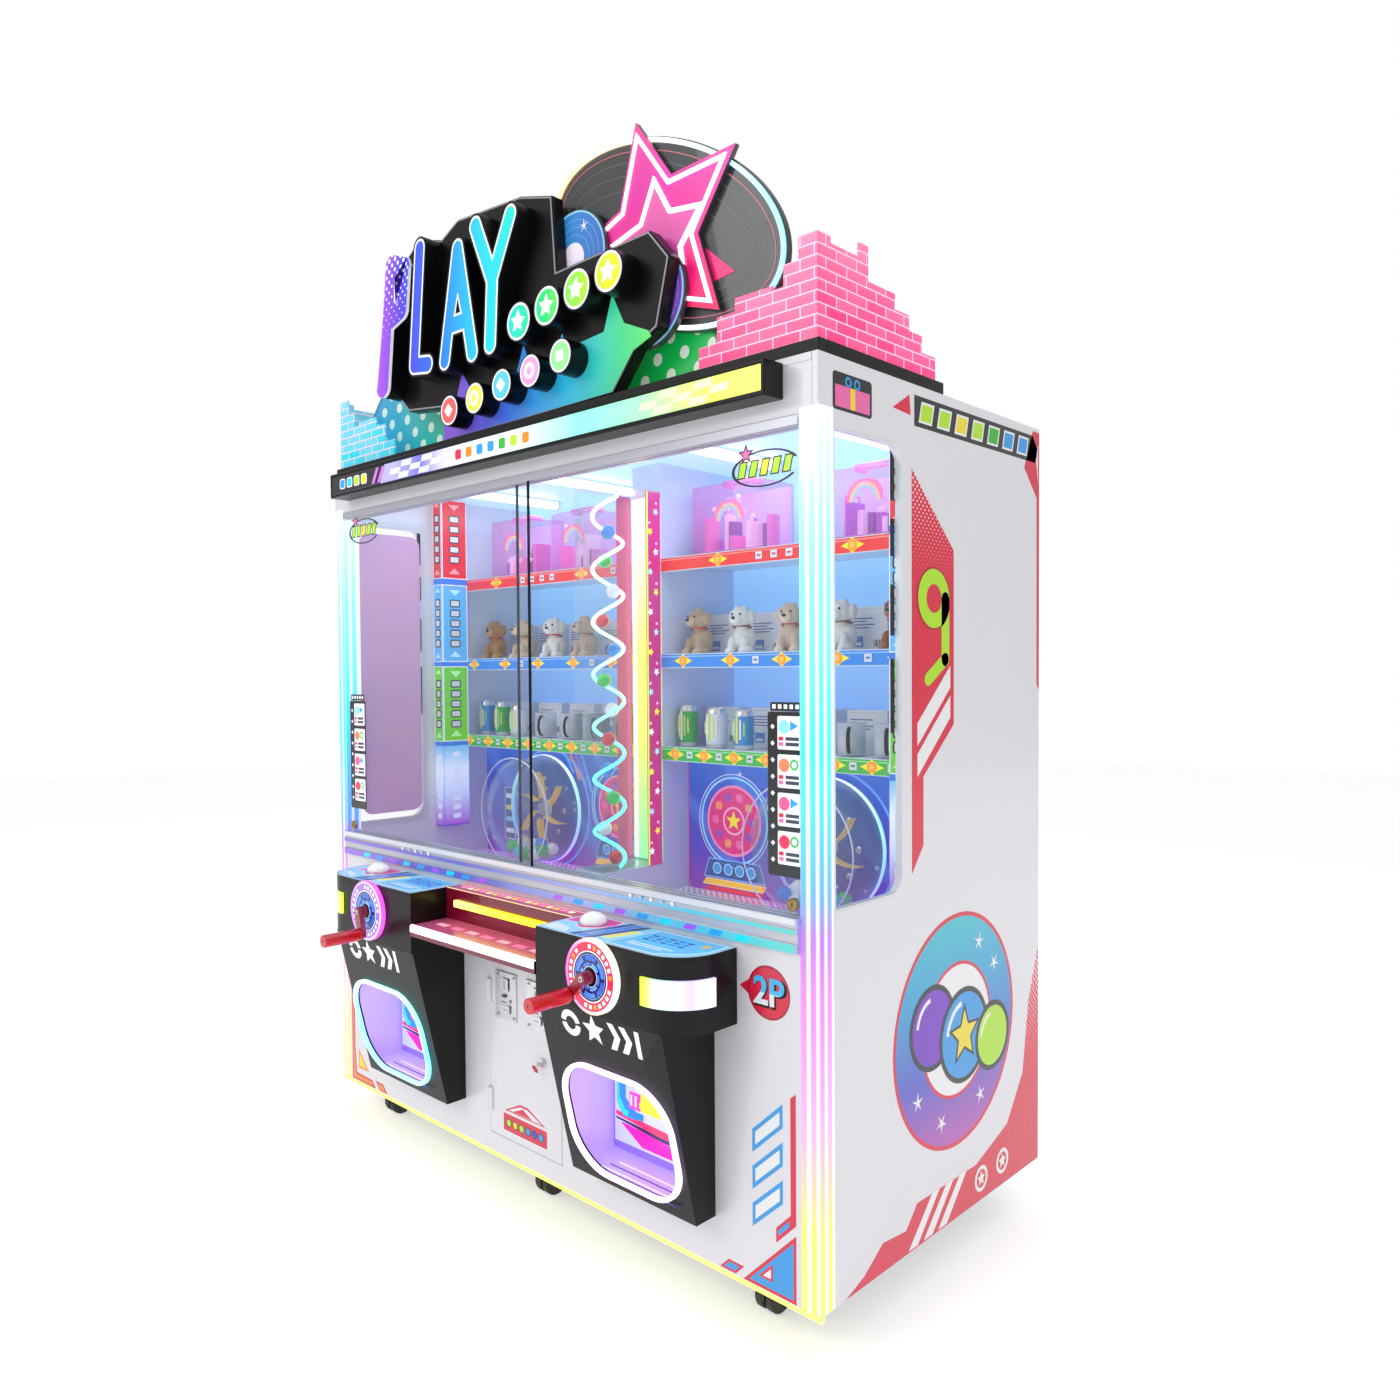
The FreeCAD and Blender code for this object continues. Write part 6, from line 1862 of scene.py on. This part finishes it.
def makeMouths():
    # stencil marks above each mouth, the prize tray behind it and its printed back wall
    m = slopeBoard()
    bm = newShape()
    t = 0.0006
    for sx in (-1, 1):
        cx = sx * mouthCentre
        v = 0.148
        # stencil row: a ball cut by a bar, a star, an arrow and two blocks
        ring(bm, cx - 0.105, v, 0.0165, 0.0315, 0, t, white, 1, a0=8, a1=172, steps=24)
        ring(bm, cx - 0.105, v, 0.0165, 0.0315, 0, t, white, 1, a0=188, a1=352, steps=24)
        flat(bm, starPoints(cx - 0.028, v, 0.036, 0.016), 0, t, white, 1)
        for k in range(2):
            x = cx + 0.034 + 0.037 * k
            flat(bm, [(x - 0.012, v - 0.031), (x + 0.006, v - 0.031), (x + 0.024, v),
                      (x + 0.006, v + 0.031), (x - 0.012, v + 0.031), (x + 0.006, v)], 0, t, white, 1)
        flat(bm, rect(cx + 0.107, cx + 0.12, v - 0.031, v + 0.031), 0, t, white, 1)
    keep(bm, "podMarks", [printInk, softLitInk], matrix=m)
    for name, sx in (("left", -1), ("right", 1)):
        low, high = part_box("delivery_flap_" + name)
        art = newShape()
        w = cabFront - low[1]
        cx = sx * mouthCentre
        z0 = low[2]
        flat(art, rect(low[0] + 0.012, high[0] - 0.012, z0 + 0.02, high[2] - 0.03), w, w + t,
             (0.55, 0.6, 0.95), 1)
        # bold cyan hook, magenta windows and yellow bars over a red line and a magenta wedge
        flat(art, [(cx - 0.14, z0 + 0.215), (cx - 0.12, z0 + 0.215), (cx - 0.12, z0 + 0.13),
                   (cx - 0.085, z0 + 0.105), (cx - 0.06, z0 + 0.105), (cx - 0.06, z0 + 0.085),
                   (cx - 0.1, z0 + 0.085), (cx - 0.14, z0 + 0.115)], w + t, w + 3 * t, cyan, 1, line=0.003,
                   lineInk=(0.02, 0.25, 0.6))
        flat(art, rect(cx - 0.105, cx - 0.075, z0 + 0.2, z0 + 0.18), w + t, w + 3 * t, cyan, 1, line=0.003,
             lineInk=(0.02, 0.25, 0.6))
        for k, (dx, dz) in enumerate(((-0.028, 0.18), (-0.042, 0.13), (-0.012, 0.13))):
            flat(art, softRect(cx + dx, z0 + dz, 0.027, 0.04, 0.004), w + t, w + 3 * t, (0.6, 0.65, 0.98),
                 1, line=0.007, lineInk=(0.95, 0.05, 0.45), lineSlot=1)
        for k in range(3):
            x = cx + 0.022 + 0.032 * k
            flat(art, rect(x, x + 0.012, z0 + 0.11, z0 + 0.2), w + t, w + 3 * t, yellow, 1)
        for z in (0.118, 0.155):
            flat(art, rect(cx + 0.015, cx + 0.115, z0 + z, z0 + z + 0.013), w + 2 * t, w + 4 * t, yellow, 1)
        flat(art, [(low[0] + 0.02, z0 + 0.082), (high[0] - 0.02, z0 + 0.068), (high[0] - 0.02, z0 + 0.078),
                   (low[0] + 0.02, z0 + 0.092)], w + t, w + 2 * t, (0.9, 0.03, 0.12), 1)
        flat(art, [(low[0] + 0.02, z0 + 0.073), (high[0] - 0.02, z0 + 0.059), (high[0] - 0.02, z0 + 0.063),
                   (low[0] + 0.02, z0 + 0.077)], w + t, w + 2 * t, (0.02, 0.02, 0.1), 1)
        flat(art, [(cx - 0.12, z0 + 0.068), (high[0] - 0.03, z0 + 0.05), (high[0] - 0.03, z0 + 0.034),
                   (cx + 0.03, z0 + 0.026)], w + t, w + 2 * t, (0.95, 0.01, 0.4), 1)
        edge = low[0] + 0.012
        for v in art.verts:
            v.co.x = edge + (v.co.x - edge) * (0.5 if v.co.z > w + 1.1 * t else 1.0)
        keep(art, "flapPrint_" + name, [printInk, mouthInk], "flap_" + name, frontBoard)
        dress("delivery_flap_" + name, smokedFlap)
    bm = newShape()
    for sx in (-1, 1):
        cx = sx * mouthCentre
        y0, y1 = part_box("delivery_chutes")[0][1] + 0.03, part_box("delivery_flap_left")[0][1] - 0.012
        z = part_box("delivery_chutes")[0][2] + 0.0032
        for k in range(4):
            y = y0 + 0.02 + (y1 - y0 - 0.03) * k / 4
            brick(bm, cx - 0.13 + 0.01 * k, cx + 0.15, y, y + 0.003, z - 0.0004, z + 0.0008,
                  ((0.03, 0.03, 0.2), (0.75, 0.8, 1))[k % 2], 1)
        dark = cx - 0.15
        brick(bm, dark - 0.008, dark + 0.012, y1 - 0.004, y1 + 0.002, z + 0.19, z + 0.235,
              (0.15, 0.17, 0.2), 0, ease=0.002)
    keep(bm, "chuteTrim", [printInk, mouthInk])


mouthInk = inkMaterial("mouthInk", 0.3, 0.6)


def makeCentre():
    # dark red riser, dotted magenta shelf with a white and pink lit lip, and its red upper deck
    eased("centre_shelf", 0.0012, [deepPanel, dottedMagenta, blackGloss], pick=lambda f: 1
          if f.normal.z > 0.9 else (0 if f.normal.y < -0.5 else 2))
    low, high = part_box("centre_shelf")
    bm = newShape()
    x = high[0] - 0.002
    z = [f.center.z for f in nodes["centre_shelf"].data.polygons if f.normal.z > 0.9]
    shelfZ = min(z)
    brick(bm, -x, x, low[1] - 0.0016, low[1] - 0.0002, shelfZ - 0.0175, shelfZ - 0.0008, white, 3,
          ease=0.0005)
    brick(bm, -x, x, low[1] + 0.0005, low[1] + 0.006, shelfZ + 0.0002, shelfZ + 0.0013, (1, 0.6, 0.8), 3,
          ease=0.0004)
    top = high[2]
    for k in range(-8, 9):
        u = 0.028 * k
        brick(bm, u - 0.009, u + 0.009, -0.346, -0.334, top, top + 0.0006,
              ((0.98, 0.6, 0.1), (1, 0.25, 0.5), (1, 0.9, 0.4))[k % 3], 1)
    brick(bm, -x, x, -0.3715, -0.368, top, top + 0.0006, (1, 0.8, 0.3), 1)
    brick(bm, -x, x, -0.326, -0.3225, top, top + 0.0006, (1, 0.35, 0.55), 1)
    for k in range(-3, 4):
        u = 0.066 * k
        brick(bm, u - 0.02, u + 0.02, low[1] + 0.05, low[1] + 0.068, shelfZ + 0.0001, shelfZ + 0.0006,
              ((0.95, 0.15, 0.35), (0.98, 0.35, 0.45))[k % 2], 1)
    keep(bm, "centreTrim", [printInk, litInk, softLitInk, lipGlow])


# the riser's faint red glow is painted light: it is no lamp
deepPanel = skinMaterial("deepPanel", (0.12, 0.0, 0.015), 0.3,
                         {"Coat Weight": 0.5, "Emission Color": (0.5, 0.0, 0.05, 1),
                          "Emission Strength": 0.12}, drift=0.2)
dottedMagenta = dottedPrint("dottedMagenta", (0.72, 0.0, 0.14), (0.98, 0.3, 0.6), "X", -0.4, 0.4, 0.0105)
lipGlow = glowMaterial("lipGlow", "X", -0.26, 0.26,
                       [(0, (1, 0.75, 0.8)), (0.5, (1, 0.45, 0.6)), (0.8, (1, 0.8, 0.9)),
                        (1, (1, 0.98, 0.98))], 2.2)


def makeDoor():
    # coin plates with slots, screws and a return cup; the lock with its red fob
    eased("coin_acceptors", 0.0009, brushedSteel, steps=2, slot="coin_metal")
    for low, high in islands("coin_acceptors"):
        cx, cz = (low.x + high.x) / 2, (low.z + high.z) / 2
        w = cabFront - low.y
        bm = newShape()
        if high.x - low.x > 0.05:
            for dx in (-0.034, 0.034):
                for dz in (-0.053, 0.053):
                    disc(bm, cx + dx, cz + dz, 0.0042, w - 0.0002, w + 0.0008, (0.55, 0.55, 0.56), 1, 20)
                    # black line: painted shade in each screw's slot
                    flat(bm, rect(cx + dx - 0.0028, cx + dx + 0.0028, cz + dz - 0.0005, cz + dz + 0.0005),
                         w + 0.0008, w + 0.001, (0.05, 0.05, 0.05), 0)
            flat(bm, softRect(cx, cz + 0.03, 0.03, 0.034, 0.003), w, w + 0.0012, (0.8, 0.8, 0.82), 1,
                 line=0.0015, lineInk=(0.3, 0.3, 0.32), lineSlot=1)
            # black line: painted shade in the coin slot
            flat(bm, rect(cx - 0.0012, cx + 0.0012, cz + 0.018, cz + 0.042), w + 0.0012, w + 0.0015,
                 (0.01, 0.01, 0.01), 0)
            # dark patch: painted shade in an opening in the plate
            flat(bm, softRect(cx - 0.004, cz, 0.017, 0.0075, 0.001), w - 0.0002, w + 0.0004,
                 (0.03, 0.03, 0.035), 0)
            disc(bm, cx + 0.018, cz - 0.012, 0.0052, w - 0.0002, w + 0.0012, (0.12, 0.12, 0.13), 1, 20)
            disc(bm, cx - 0.012, cz - 0.028, 0.0062, w - 0.0002, w + 0.0012, (0.12, 0.12, 0.13), 1, 20)
            flat(bm, softRect(cx + 0.006, cz - 0.034, 0.03, 0.022, 0.004), w, w + 0.0014,
                 (0.75, 0.75, 0.78), 1, line=0.0018, lineInk=(0.2, 0.2, 0.22), lineSlot=1)
            flat(bm, rect(cx - 0.006, cx + 0.012, cz - 0.0355, cz - 0.034), w + 0.0014, w + 0.002,
                 (0.9, 0.05, 0.05), 0)
            keep(bm, "coinDetail_" + ("right" if cx > 0 else "left"), [printInk, brushedSteel],
                 nodeBody["coin_acceptors"], frontBoard)
        else:
            disc(bm, cx, cz, 0.0095, w, w + 0.0012, (0.75, 0.75, 0.76), 1, 28)
            # black line: painted shade in the keyhole
            flat(bm, rect(cx - 0.0007, cx + 0.0007, cz - 0.004, cz + 0.004), w + 0.0012, w + 0.0014, black,
                 0)
            bm.transform(frontBoard)
            y = low.y
            brick(bm, cx - 0.0009, cx + 0.0009, y - 0.0125, y - 0.0012, cz - 0.004, cz + 0.004,
                  (0.7, 0.7, 0.72), 1, ease=0.0002)
            brick(bm, cx - 0.0015, cx + 0.0015, y - 0.016, y - 0.0115, cz - 0.0085, cz + 0.0085,
                  (0.7, 0.7, 0.72), 1, ease=0.0006)
            # oval leather fob hanging sideways from the key's bow
            made = bmesh.ops.create_uvsphere(bm, u_segments=24, v_segments=12, radius=0.013)["verts"]
            bmesh.ops.scale(bm, verts=made, vec=(1.0, 0.13, 0.55))
            bmesh.ops.rotate(bm, verts=made, cent=(0, 0, 0),
                             matrix=Matrix.Rotation(math.radians(24), 3, "Y"))
            bmesh.ops.translate(bm, verts=made, vec=(cx - 0.009, y - 0.0138, cz - 0.013))
            faces = list({f for v in made for f in v.link_faces})
            for f in faces:
                f.smooth = True
            paint(bm, faces, (0.55, 0.01, 0.03), 0)
            keep(bm, "doorKey", [printInk, brushedSteel], nodeBody["coin_acceptors"])


def makeCasters():
    # forks with rounded edges, tyres, and a hub cap on both sides of each wheel
    for name in nodes:
        if name.startswith("caster_fork_"):
            eased(name, 0.0008, steelBlack, steps=2)
        elif name.startswith("caster_wheel_"):
            dress(name, tyreBlack)
            low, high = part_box(name)
            cy, cz = (low[1] + high[1]) / 2, (low[2] + high[2]) / 2
            bm = newShape()
            for x, way in ((low[0], -1), (high[0], 1)):
                turnedShape(bm, [(0, 0.0004), (0.006, 0.0004), (0.0075, -0.0006), (0.0145, -0.0008),
                                 (0.0155, -0.002), (0.0155, -0.004)],
                            (x + way * 0.0002, cy, cz), (way, 0, 0), (0.25, 0.25, 0.27), 1, 28)
            keep(bm, name.replace("caster_wheel", "hubCap"), [printInk, gearMetal], nodeBody[name])


makeDecks()
makeDials()
makeCranks()
makeDomes()
makePodLights()
makeMouths()
makeCentre()
makeDoor()
makeCasters()
print("consoles, door and casters ready")


# prizes

cartons = {"stripe": (0.12, 0.16, 0.5)}
clearCase = sheetMaterial("clearCase", (0.85, 0.15, 0.6), 0.3, 0.7, 0.1)
mugClear = sheetMaterial("mugClear", (0.85, 0.9, 0.98), 0.35, 0.9, 0.06)
tinInks = ((0.03, 0.3, 0.75), (0.02, 0.45, 0.06), (0.8, 0.85, 0.92))


def makeGoods():
    # each CAD block becomes a carton, a tin, a mug with a dark handle or a case on a black stand
    bm = newShape()
    tins = {"right": 0, "left": 0}
    for low, high in islands("prize_goods"):
        mid = (low + high) / 2
        wide, tall = high.x - low.x, high.z - low.z
        if tall < 0.03:
            brick(bm, low.x, high.x, low.y, high.y, low.z, high.z, black, 1, ease=0.004)
            continue
        if low.z > 1.69:
            makeCase(bm, low, high)
            continue
        if wide > 0.1:
            makeCarton(bm, low, high)
            continue
        if tall < 0.09:
            makeMug(bm, mid, low.z, wide / 2, tall)
            continue
        side = "right" if mid.x > 0 else "left"
        makeTin(bm, mid, low.z, wide / 2, tall, tins[side] if side == "left" else (tins[side] + 1) % 3)
        tins[side] += 1
    keep(bm, "prizeGoods", [printInk, blackSatin, clearCase, mugClear, brushedSteel, softLitInk],
         replaces=("prize_goods",))


def makeCarton(bm, low, high):
    # pale box with an edge line, four stripes, a blue block and a bar pattern
    brick(bm, low.x, high.x, low.y, high.y, low.z, high.z, (0.88, 0.9, 0.96), 0, ease=0.0015)
    y = low.y
    brick(bm, low.x + 0.0025, high.x - 0.0025, y - 0.0006, y + 0.0004, high.z - 0.0075, high.z - 0.0065,
          (0.6, 0.65, 0.75))
    for k in range(4):
        z = low.z + 0.062 + 0.008 * k
        brick(bm, low.x + 0.012, low.x + (0.07, 0.085, 0.06, 0.08)[k], y - 0.0006, y + 0.0004, z,
              z + 0.0028, cartons["stripe"])
    brick(bm, low.x + 0.016, low.x + 0.05, y - 0.0006, y + 0.0004, low.z + 0.014, low.z + 0.042,
          (0.1, 0.3, 0.75))
    brick(bm, low.x + 0.02, low.x + 0.046, y - 0.001, y, low.z + 0.018, low.z + 0.026, (0.85, 0.9, 0.98))
    for k in range(6):
        x = high.x - 0.04 + 0.005 * k
        brick(bm, x, x + (0.0014, 0.0028)[k % 2], y - 0.0006, y + 0.0004, low.z + 0.014, low.z + 0.032,
              black)


def makeTin(bm, mid, z, r, tall, kind):
    # drink tin with a necked top, a domed lid and a printed label
    ink = tinInks[kind]
    turnedShape(bm, [(0, 0), (r * 0.78, 0), (r * 0.86, 0.0015), (r * 0.98, 0.008), (r, 0.012),
                     (r, tall - 0.014), (r * 0.9, tall - 0.005), (r * 0.87, tall - 0.002),
                     (r * 0.88, tall), (r * 0.82, tall - 0.0005), (r * 0.8, tall - 0.003),
                     (0, tall - 0.003)], (mid.x, mid.y, z), (0, 0, 1), (0.7, 0.72, 0.75), 4, 40)
    turnedShape(bm, [(r + 0.0001, 0.0135), (r + 0.0005, 0.0138), (r + 0.0005, tall - 0.0162),
                     (r + 0.0001, tall - 0.016)], (mid.x, mid.y, z), (0, 0, 1), ink, 0, 40)
    for k in range(5):
        a = math.radians(-90 - 40 + 20 * k)
        x, y = mid.x + (r + 0.0007) * math.cos(a), mid.y + (r + 0.0007) * math.sin(a)
        h = (0.3, 0.55, 0.7, 0.5, 0.35)[k] * tall / 2
        c = z + tall * 0.52
        brick(bm, x - 0.0035, x + 0.0035, y - 0.0006, y + 0.0012, c - h, c + h,
              ((0.9, 0.95, 0.9), (0.5, 0.85, 0.2), (0.95, 0.9, 0.2))[(k + kind) % 3])
    brick(bm, mid.x - 0.004, mid.x + 0.004, mid.y - 0.012, mid.y + 0.004, z + tall - 0.003,
          z + tall - 0.0016, (0.6, 0.6, 0.62), 4, ease=0.0005)


def makeMug(bm, mid, z, r, tall):
    # clear cup with thick base, printed band, and a curved dark handle facing the front
    turnedShape(bm, [(0, 0.0), (r * 0.86, 0.0), (r * 0.95, 0.002), (r, 0.008), (r, tall - 0.001),
                     (r - 0.001, tall), (r - 0.0028, tall - 0.001), (r - 0.003, 0.012),
                     (r * 0.8, 0.0085), (0, 0.008)], (mid.x, mid.y, z), (0, 0, 1), white, 3, 44)
    turnedShape(bm, rect(0, r - 0.0045, 0.0095, tall * 0.62), (mid.x, mid.y, z), (0, 0, 1),
                (0.85, 0.88, 0.95), 0, 40)
    path = []
    for k in range(13):
        a = math.radians(-88 + 176 * k / 12)
        path.append((0.024 * math.cos(a) * 1.1, 0.031 * math.sin(a)))
    rows = []
    a0 = math.radians(-62)
    out = Vector((math.cos(a0), math.sin(a0), 0))
    base = Vector((mid.x, mid.y, z + tall * 0.5)) + out * (r - 0.0012)
    for k, (u, v) in enumerate(path):
        here = base + out * u + Vector((0, 0, v))
        ahead = path[min(k + 1, 12)]
        behind = path[max(k - 1, 0)]
        along = (out * (ahead[0] - behind[0]) + Vector((0, 0, ahead[1] - behind[1]))).normalized()
        flatSide = along.cross(Vector((0, 0, 1)).cross(out)).normalized()
        across = along.cross(flatSide).normalized()
        rows.append([bm.verts.new(here + across * 0.0048 * math.cos(b) + flatSide * 0.0028 * math.sin(b))
                     for b in [n * math.pi / 5 for n in range(10)]])
    faces = [bm.faces.new((p[n], p[(n + 1) % 10], q[(n + 1) % 10], q[n])) for p, q in zip(rows, rows[1:])
             for n in range(10)]
    faces += [bm.faces.new(rows[0][::-1]), bm.faces.new(rows[-1])]
    for f in faces:
        f.smooth = True
    paint(bm, faces, (0.015, 0.015, 0.07), 1)


def makeCase(bm, low, high):
    # tinted clear case with a toy set inside: a little house, trees and a rainbow, and a bar handle on top
    brick(bm, low.x, high.x, low.y, high.y, low.z, high.z - 0.016, (0.9, 0.5, 0.9), 2, ease=0.004)
    cx, cy = (low.x + high.x) / 2, (low.y + high.y) / 2
    for y in (cy - 0.022, cy + 0.022):
        brick(bm, cx - 0.055, cx + 0.055, y - 0.003, y + 0.003, high.z - 0.0065, high.z, (0.85, 0.25, 0.6),
              0, ease=0.002)
    for x in (cx - 0.052, cx + 0.052):
        brick(bm, x - 0.004, x + 0.004, cy - 0.022, cy + 0.022, high.z - 0.017, high.z - 0.001,
              (0.85, 0.25, 0.6), 0, ease=0.0015)
    floorZ = low.z + 0.006
    brick(bm, low.x + 0.006, high.x - 0.006, low.y + 0.006, high.y - 0.006, low.z + 0.002, floorZ,
          (0.75, 0.25, 0.65), 5, ease=0.002)
    brick(bm, low.x + 0.006, high.x - 0.006, high.y - 0.008, high.y - 0.006, floorZ, high.z - 0.024,
          (0.75, 0.6, 0.98), 5)
    rng = random.Random(int(abs(low.x) * 1000))
    for k in range(9):
        x = low.x + 0.02 + (high.x - low.x - 0.04) * k / 8
        h = rng.uniform(0.03, 0.11)
        brick(bm, x - 0.009, x + 0.009, cy - 0.03 + rng.uniform(-0.02, 0.04),
              cy - 0.012 + rng.uniform(0.02, 0.04), floorZ, floorZ + h,
              ((0.85, 0.2, 0.55), (0.35, 0.12, 0.6), (0.95, 0.7, 0.9), (0.15, 0.1, 0.3))[k % 4], 5,
              ease=0.002)
    for k, ink in enumerate(((0.95, 0.3, 0.5), (0.98, 0.8, 0.3), (0.4, 0.8, 0.95))):
        r = 0.05 - 0.008 * k
        points = [(cx + r * math.cos(math.radians(a)), floorZ + 0.085 + r * math.sin(math.radians(a)))
                  for a in range(0, 181, 15)]
        for (x0, z0), (x1, z1) in zip(points, points[1:]):
            brick(bm, min(x0, x1) - 0.002, max(x0, x1) + 0.002, low.y + 0.014, low.y + 0.018,
                  min(z0, z1) - 0.002, max(z0, z1) + 0.002, ink, 5)
    for k in range(7):
        x, z = rng.uniform(low.x + 0.02, high.x - 0.02), rng.uniform(floorZ + 0.03, high.z - 0.05)
        made = bmesh.ops.create_icosphere(bm, subdivisions=1, radius=rng.uniform(0.004, 0.009))["verts"]
        bmesh.ops.translate(bm, verts=made, vec=(x, low.y + 0.03, z))
        paint(bm, list({f for v in made for f in v.link_faces}),
              ((1, 0.85, 0.95), (0.8, 0.9, 1), (1, 0.7, 0.85))[k % 3], 5)


dogParts = [((0, 0.012, 0.042), (0.034, 0.03, 0.043)), ((0, -0.004, 0.1), (0.031, 0.03, 0.03)),
            ((0, -0.031, 0.093), (0.0165, 0.0165, 0.0135)),
            ((0.031, 0.004, 0.102), (0.009, 0.014, 0.021)), ((-0.031, 0.004, 0.102), (0.009, 0.014, 0.021)),
            ((0.02, -0.02, 0.024), (0.0115, 0.013, 0.026)),
            ((-0.02, -0.02, 0.024), (0.0115, 0.013, 0.026)),
            ((0.021, -0.032, 0.009), (0.0125, 0.0145, 0.009)),
            ((-0.021, -0.032, 0.009), (0.0125, 0.0145, 0.009)),
            ((0.029, -0.012, 0.011), (0.011, 0.019, 0.011)),
            ((-0.029, -0.012, 0.011), (0.011, 0.019, 0.011)), ((0, 0.04, 0.03), (0.009, 0.011, 0.012)),
            ((0.012, -0.006, 0.128), (0.009, 0.009, 0.006)),
            ((-0.01, -0.008, 0.127), (0.008, 0.009, 0.006))]
coats = ((0.55, 0.27, 0.1), (0.72, 0.55, 0.36), (0.92, 0.88, 0.8), (0.68, 0.45, 0.3), (0.62, 0.46, 0.3),
         (0.94, 0.92, 0.88), (0.75, 0.6, 0.45), (0.9, 0.87, 0.82),
         (0.4, 0.12, 0.03))


# nose and two eyes
faceParts = [((0, -0.0465, 0.0985), (0.0062, 0.0042, 0.0048)),
             ((0.0125, -0.0305, 0.109), (0.0032, 0.0026, 0.0036)),
             ((-0.0125, -0.0305, 0.109), (0.0032, 0.0026, 0.0036))]
faceInk = (0.006, 0.006, 0.008)


def makeDog():
    # ellipsoids joined into one skin, then softened
    bm = bmesh.new()
    for place, size in dogParts:
        made = bmesh.ops.create_uvsphere(bm, u_segments=20, v_segments=14, radius=1.0)["verts"]
        bmesh.ops.scale(bm, verts=made, vec=size)
        bmesh.ops.translate(bm, verts=made, vec=place)
    mesh = bpy.data.meshes.new("dogSeed")
    bm.to_mesh(mesh)
    bm.free()
    seed = bpy.data.objects.new("dogSeed", mesh)
    bpy.context.scene.collection.objects.link(seed)
    skin = seed.modifiers.new("skin", "REMESH")
    skin.mode, skin.voxel_size = "VOXEL", 0.0026
    ease = seed.modifiers.new("ease", "SMOOTH")
    ease.factor, ease.iterations = 0.5, 5
    made = bpy.data.meshes.new_from_object(seed.evaluated_get(bpy.context.evaluated_depsgraph_get()))
    bpy.data.objects.remove(seed)
    return made


def makePlush():
    template = makeDog()
    bm = newShape()
    for n, (low, high) in enumerate(sorted(islands("prize_plush"), key=lambda b: b[0].x)):
        turn = math.radians(random.Random(n).uniform(-8, 22))
        foot = ((low.x + high.x) / 2, (low.y + high.y) / 2, low.z + 0.0005)
        place = Matrix.Translation(foot) @ Matrix.Rotation(turn, 4, "Z")
        before = set(bm.verts)
        bm.from_mesh(template)
        fresh = [v for v in bm.verts if v not in before]
        faces = list({f for v in fresh for f in v.link_faces})
        coat = coats[n % len(coats)]
        for f in faces:
            f.smooth = True
            c = f.calc_center_median()
            pale = (c.y < -0.036 and c.z > 0.08) or (c.y < -0.03 and c.z < 0.02)
            paint(bm, [f], [min(1, k * 1.25 + 0.04) for k in coat] if pale else coat)
        extras = []
        for spot, size in faceParts:
            made = bmesh.ops.create_uvsphere(bm, u_segments=16, v_segments=10, radius=1.0)["verts"]
            bmesh.ops.scale(bm, verts=made, vec=size)
            bmesh.ops.translate(bm, verts=made, vec=spot)
            parts = list({f for v in made for f in v.link_faces})
            for f in parts:
                f.smooth = True
            paint(bm, parts, faceInk, 1)
            extras += made
        old = set(bm.verts)
        turnedShape(bm, [(0.0238, -0.0025), (0.0262, -0.0028), (0.0268, 0.0), (0.0262, 0.0028),
                         (0.0238, 0.0025), (0.0238, -0.0025)], (0, 0.002, 0.0745), (0, 0.12, 1),
                    (0.25, 0.08, 0.04) if n % 2 else (0.6, 0.05, 0.06), 1, 36)
        extras += [v for v in bm.verts if v not in old]
        bmesh.ops.transform(bm, matrix=place, verts=list(set(fresh + extras)))
    bpy.data.meshes.remove(template)
    dogs = keep(bm, "plushDogs", [plushFur, noseShine], replaces=("prize_plush",))


def makeFurMaterial():
    mat, tree, shader = newMaterial("plushFur", {"Sheen Weight": 0.6, "Sheen Roughness": 0.4,
                                                 "Specular IOR Level": 0.2})
    ink = addNode(tree, "Attribute", {"attribute_name": "ink"})
    place = addNode(tree, "TexCoord").outputs["Object"]
    tufts = addNode(tree, "TexNoise", Vector=place, Scale=420.0, Detail=4.0, Roughness=0.7)
    shade = mapRange(tree, tufts.outputs["Fac"], 0.3, 0.7, 0.72, 1.08)
    toned = addNode(tree, "Mix", {"data_type": "RGBA", "blend_type": "MULTIPLY"}, Factor=1.0)
    tree.links.new(ink.outputs["Color"], toned.inputs["A"])
    tree.links.new(shade, toned.inputs["B"])
    wrapSkin(tree, shader, toned.outputs["Result"], 0.95, drift=0.12, smudge=0.0, grain=900.0, bump=0.9)
    return mat


plushFur = makeFurMaterial()
noseShine = inkMaterial("noseShine", 0.2)
makeGoods()
makePlush()
print("prizes ready")
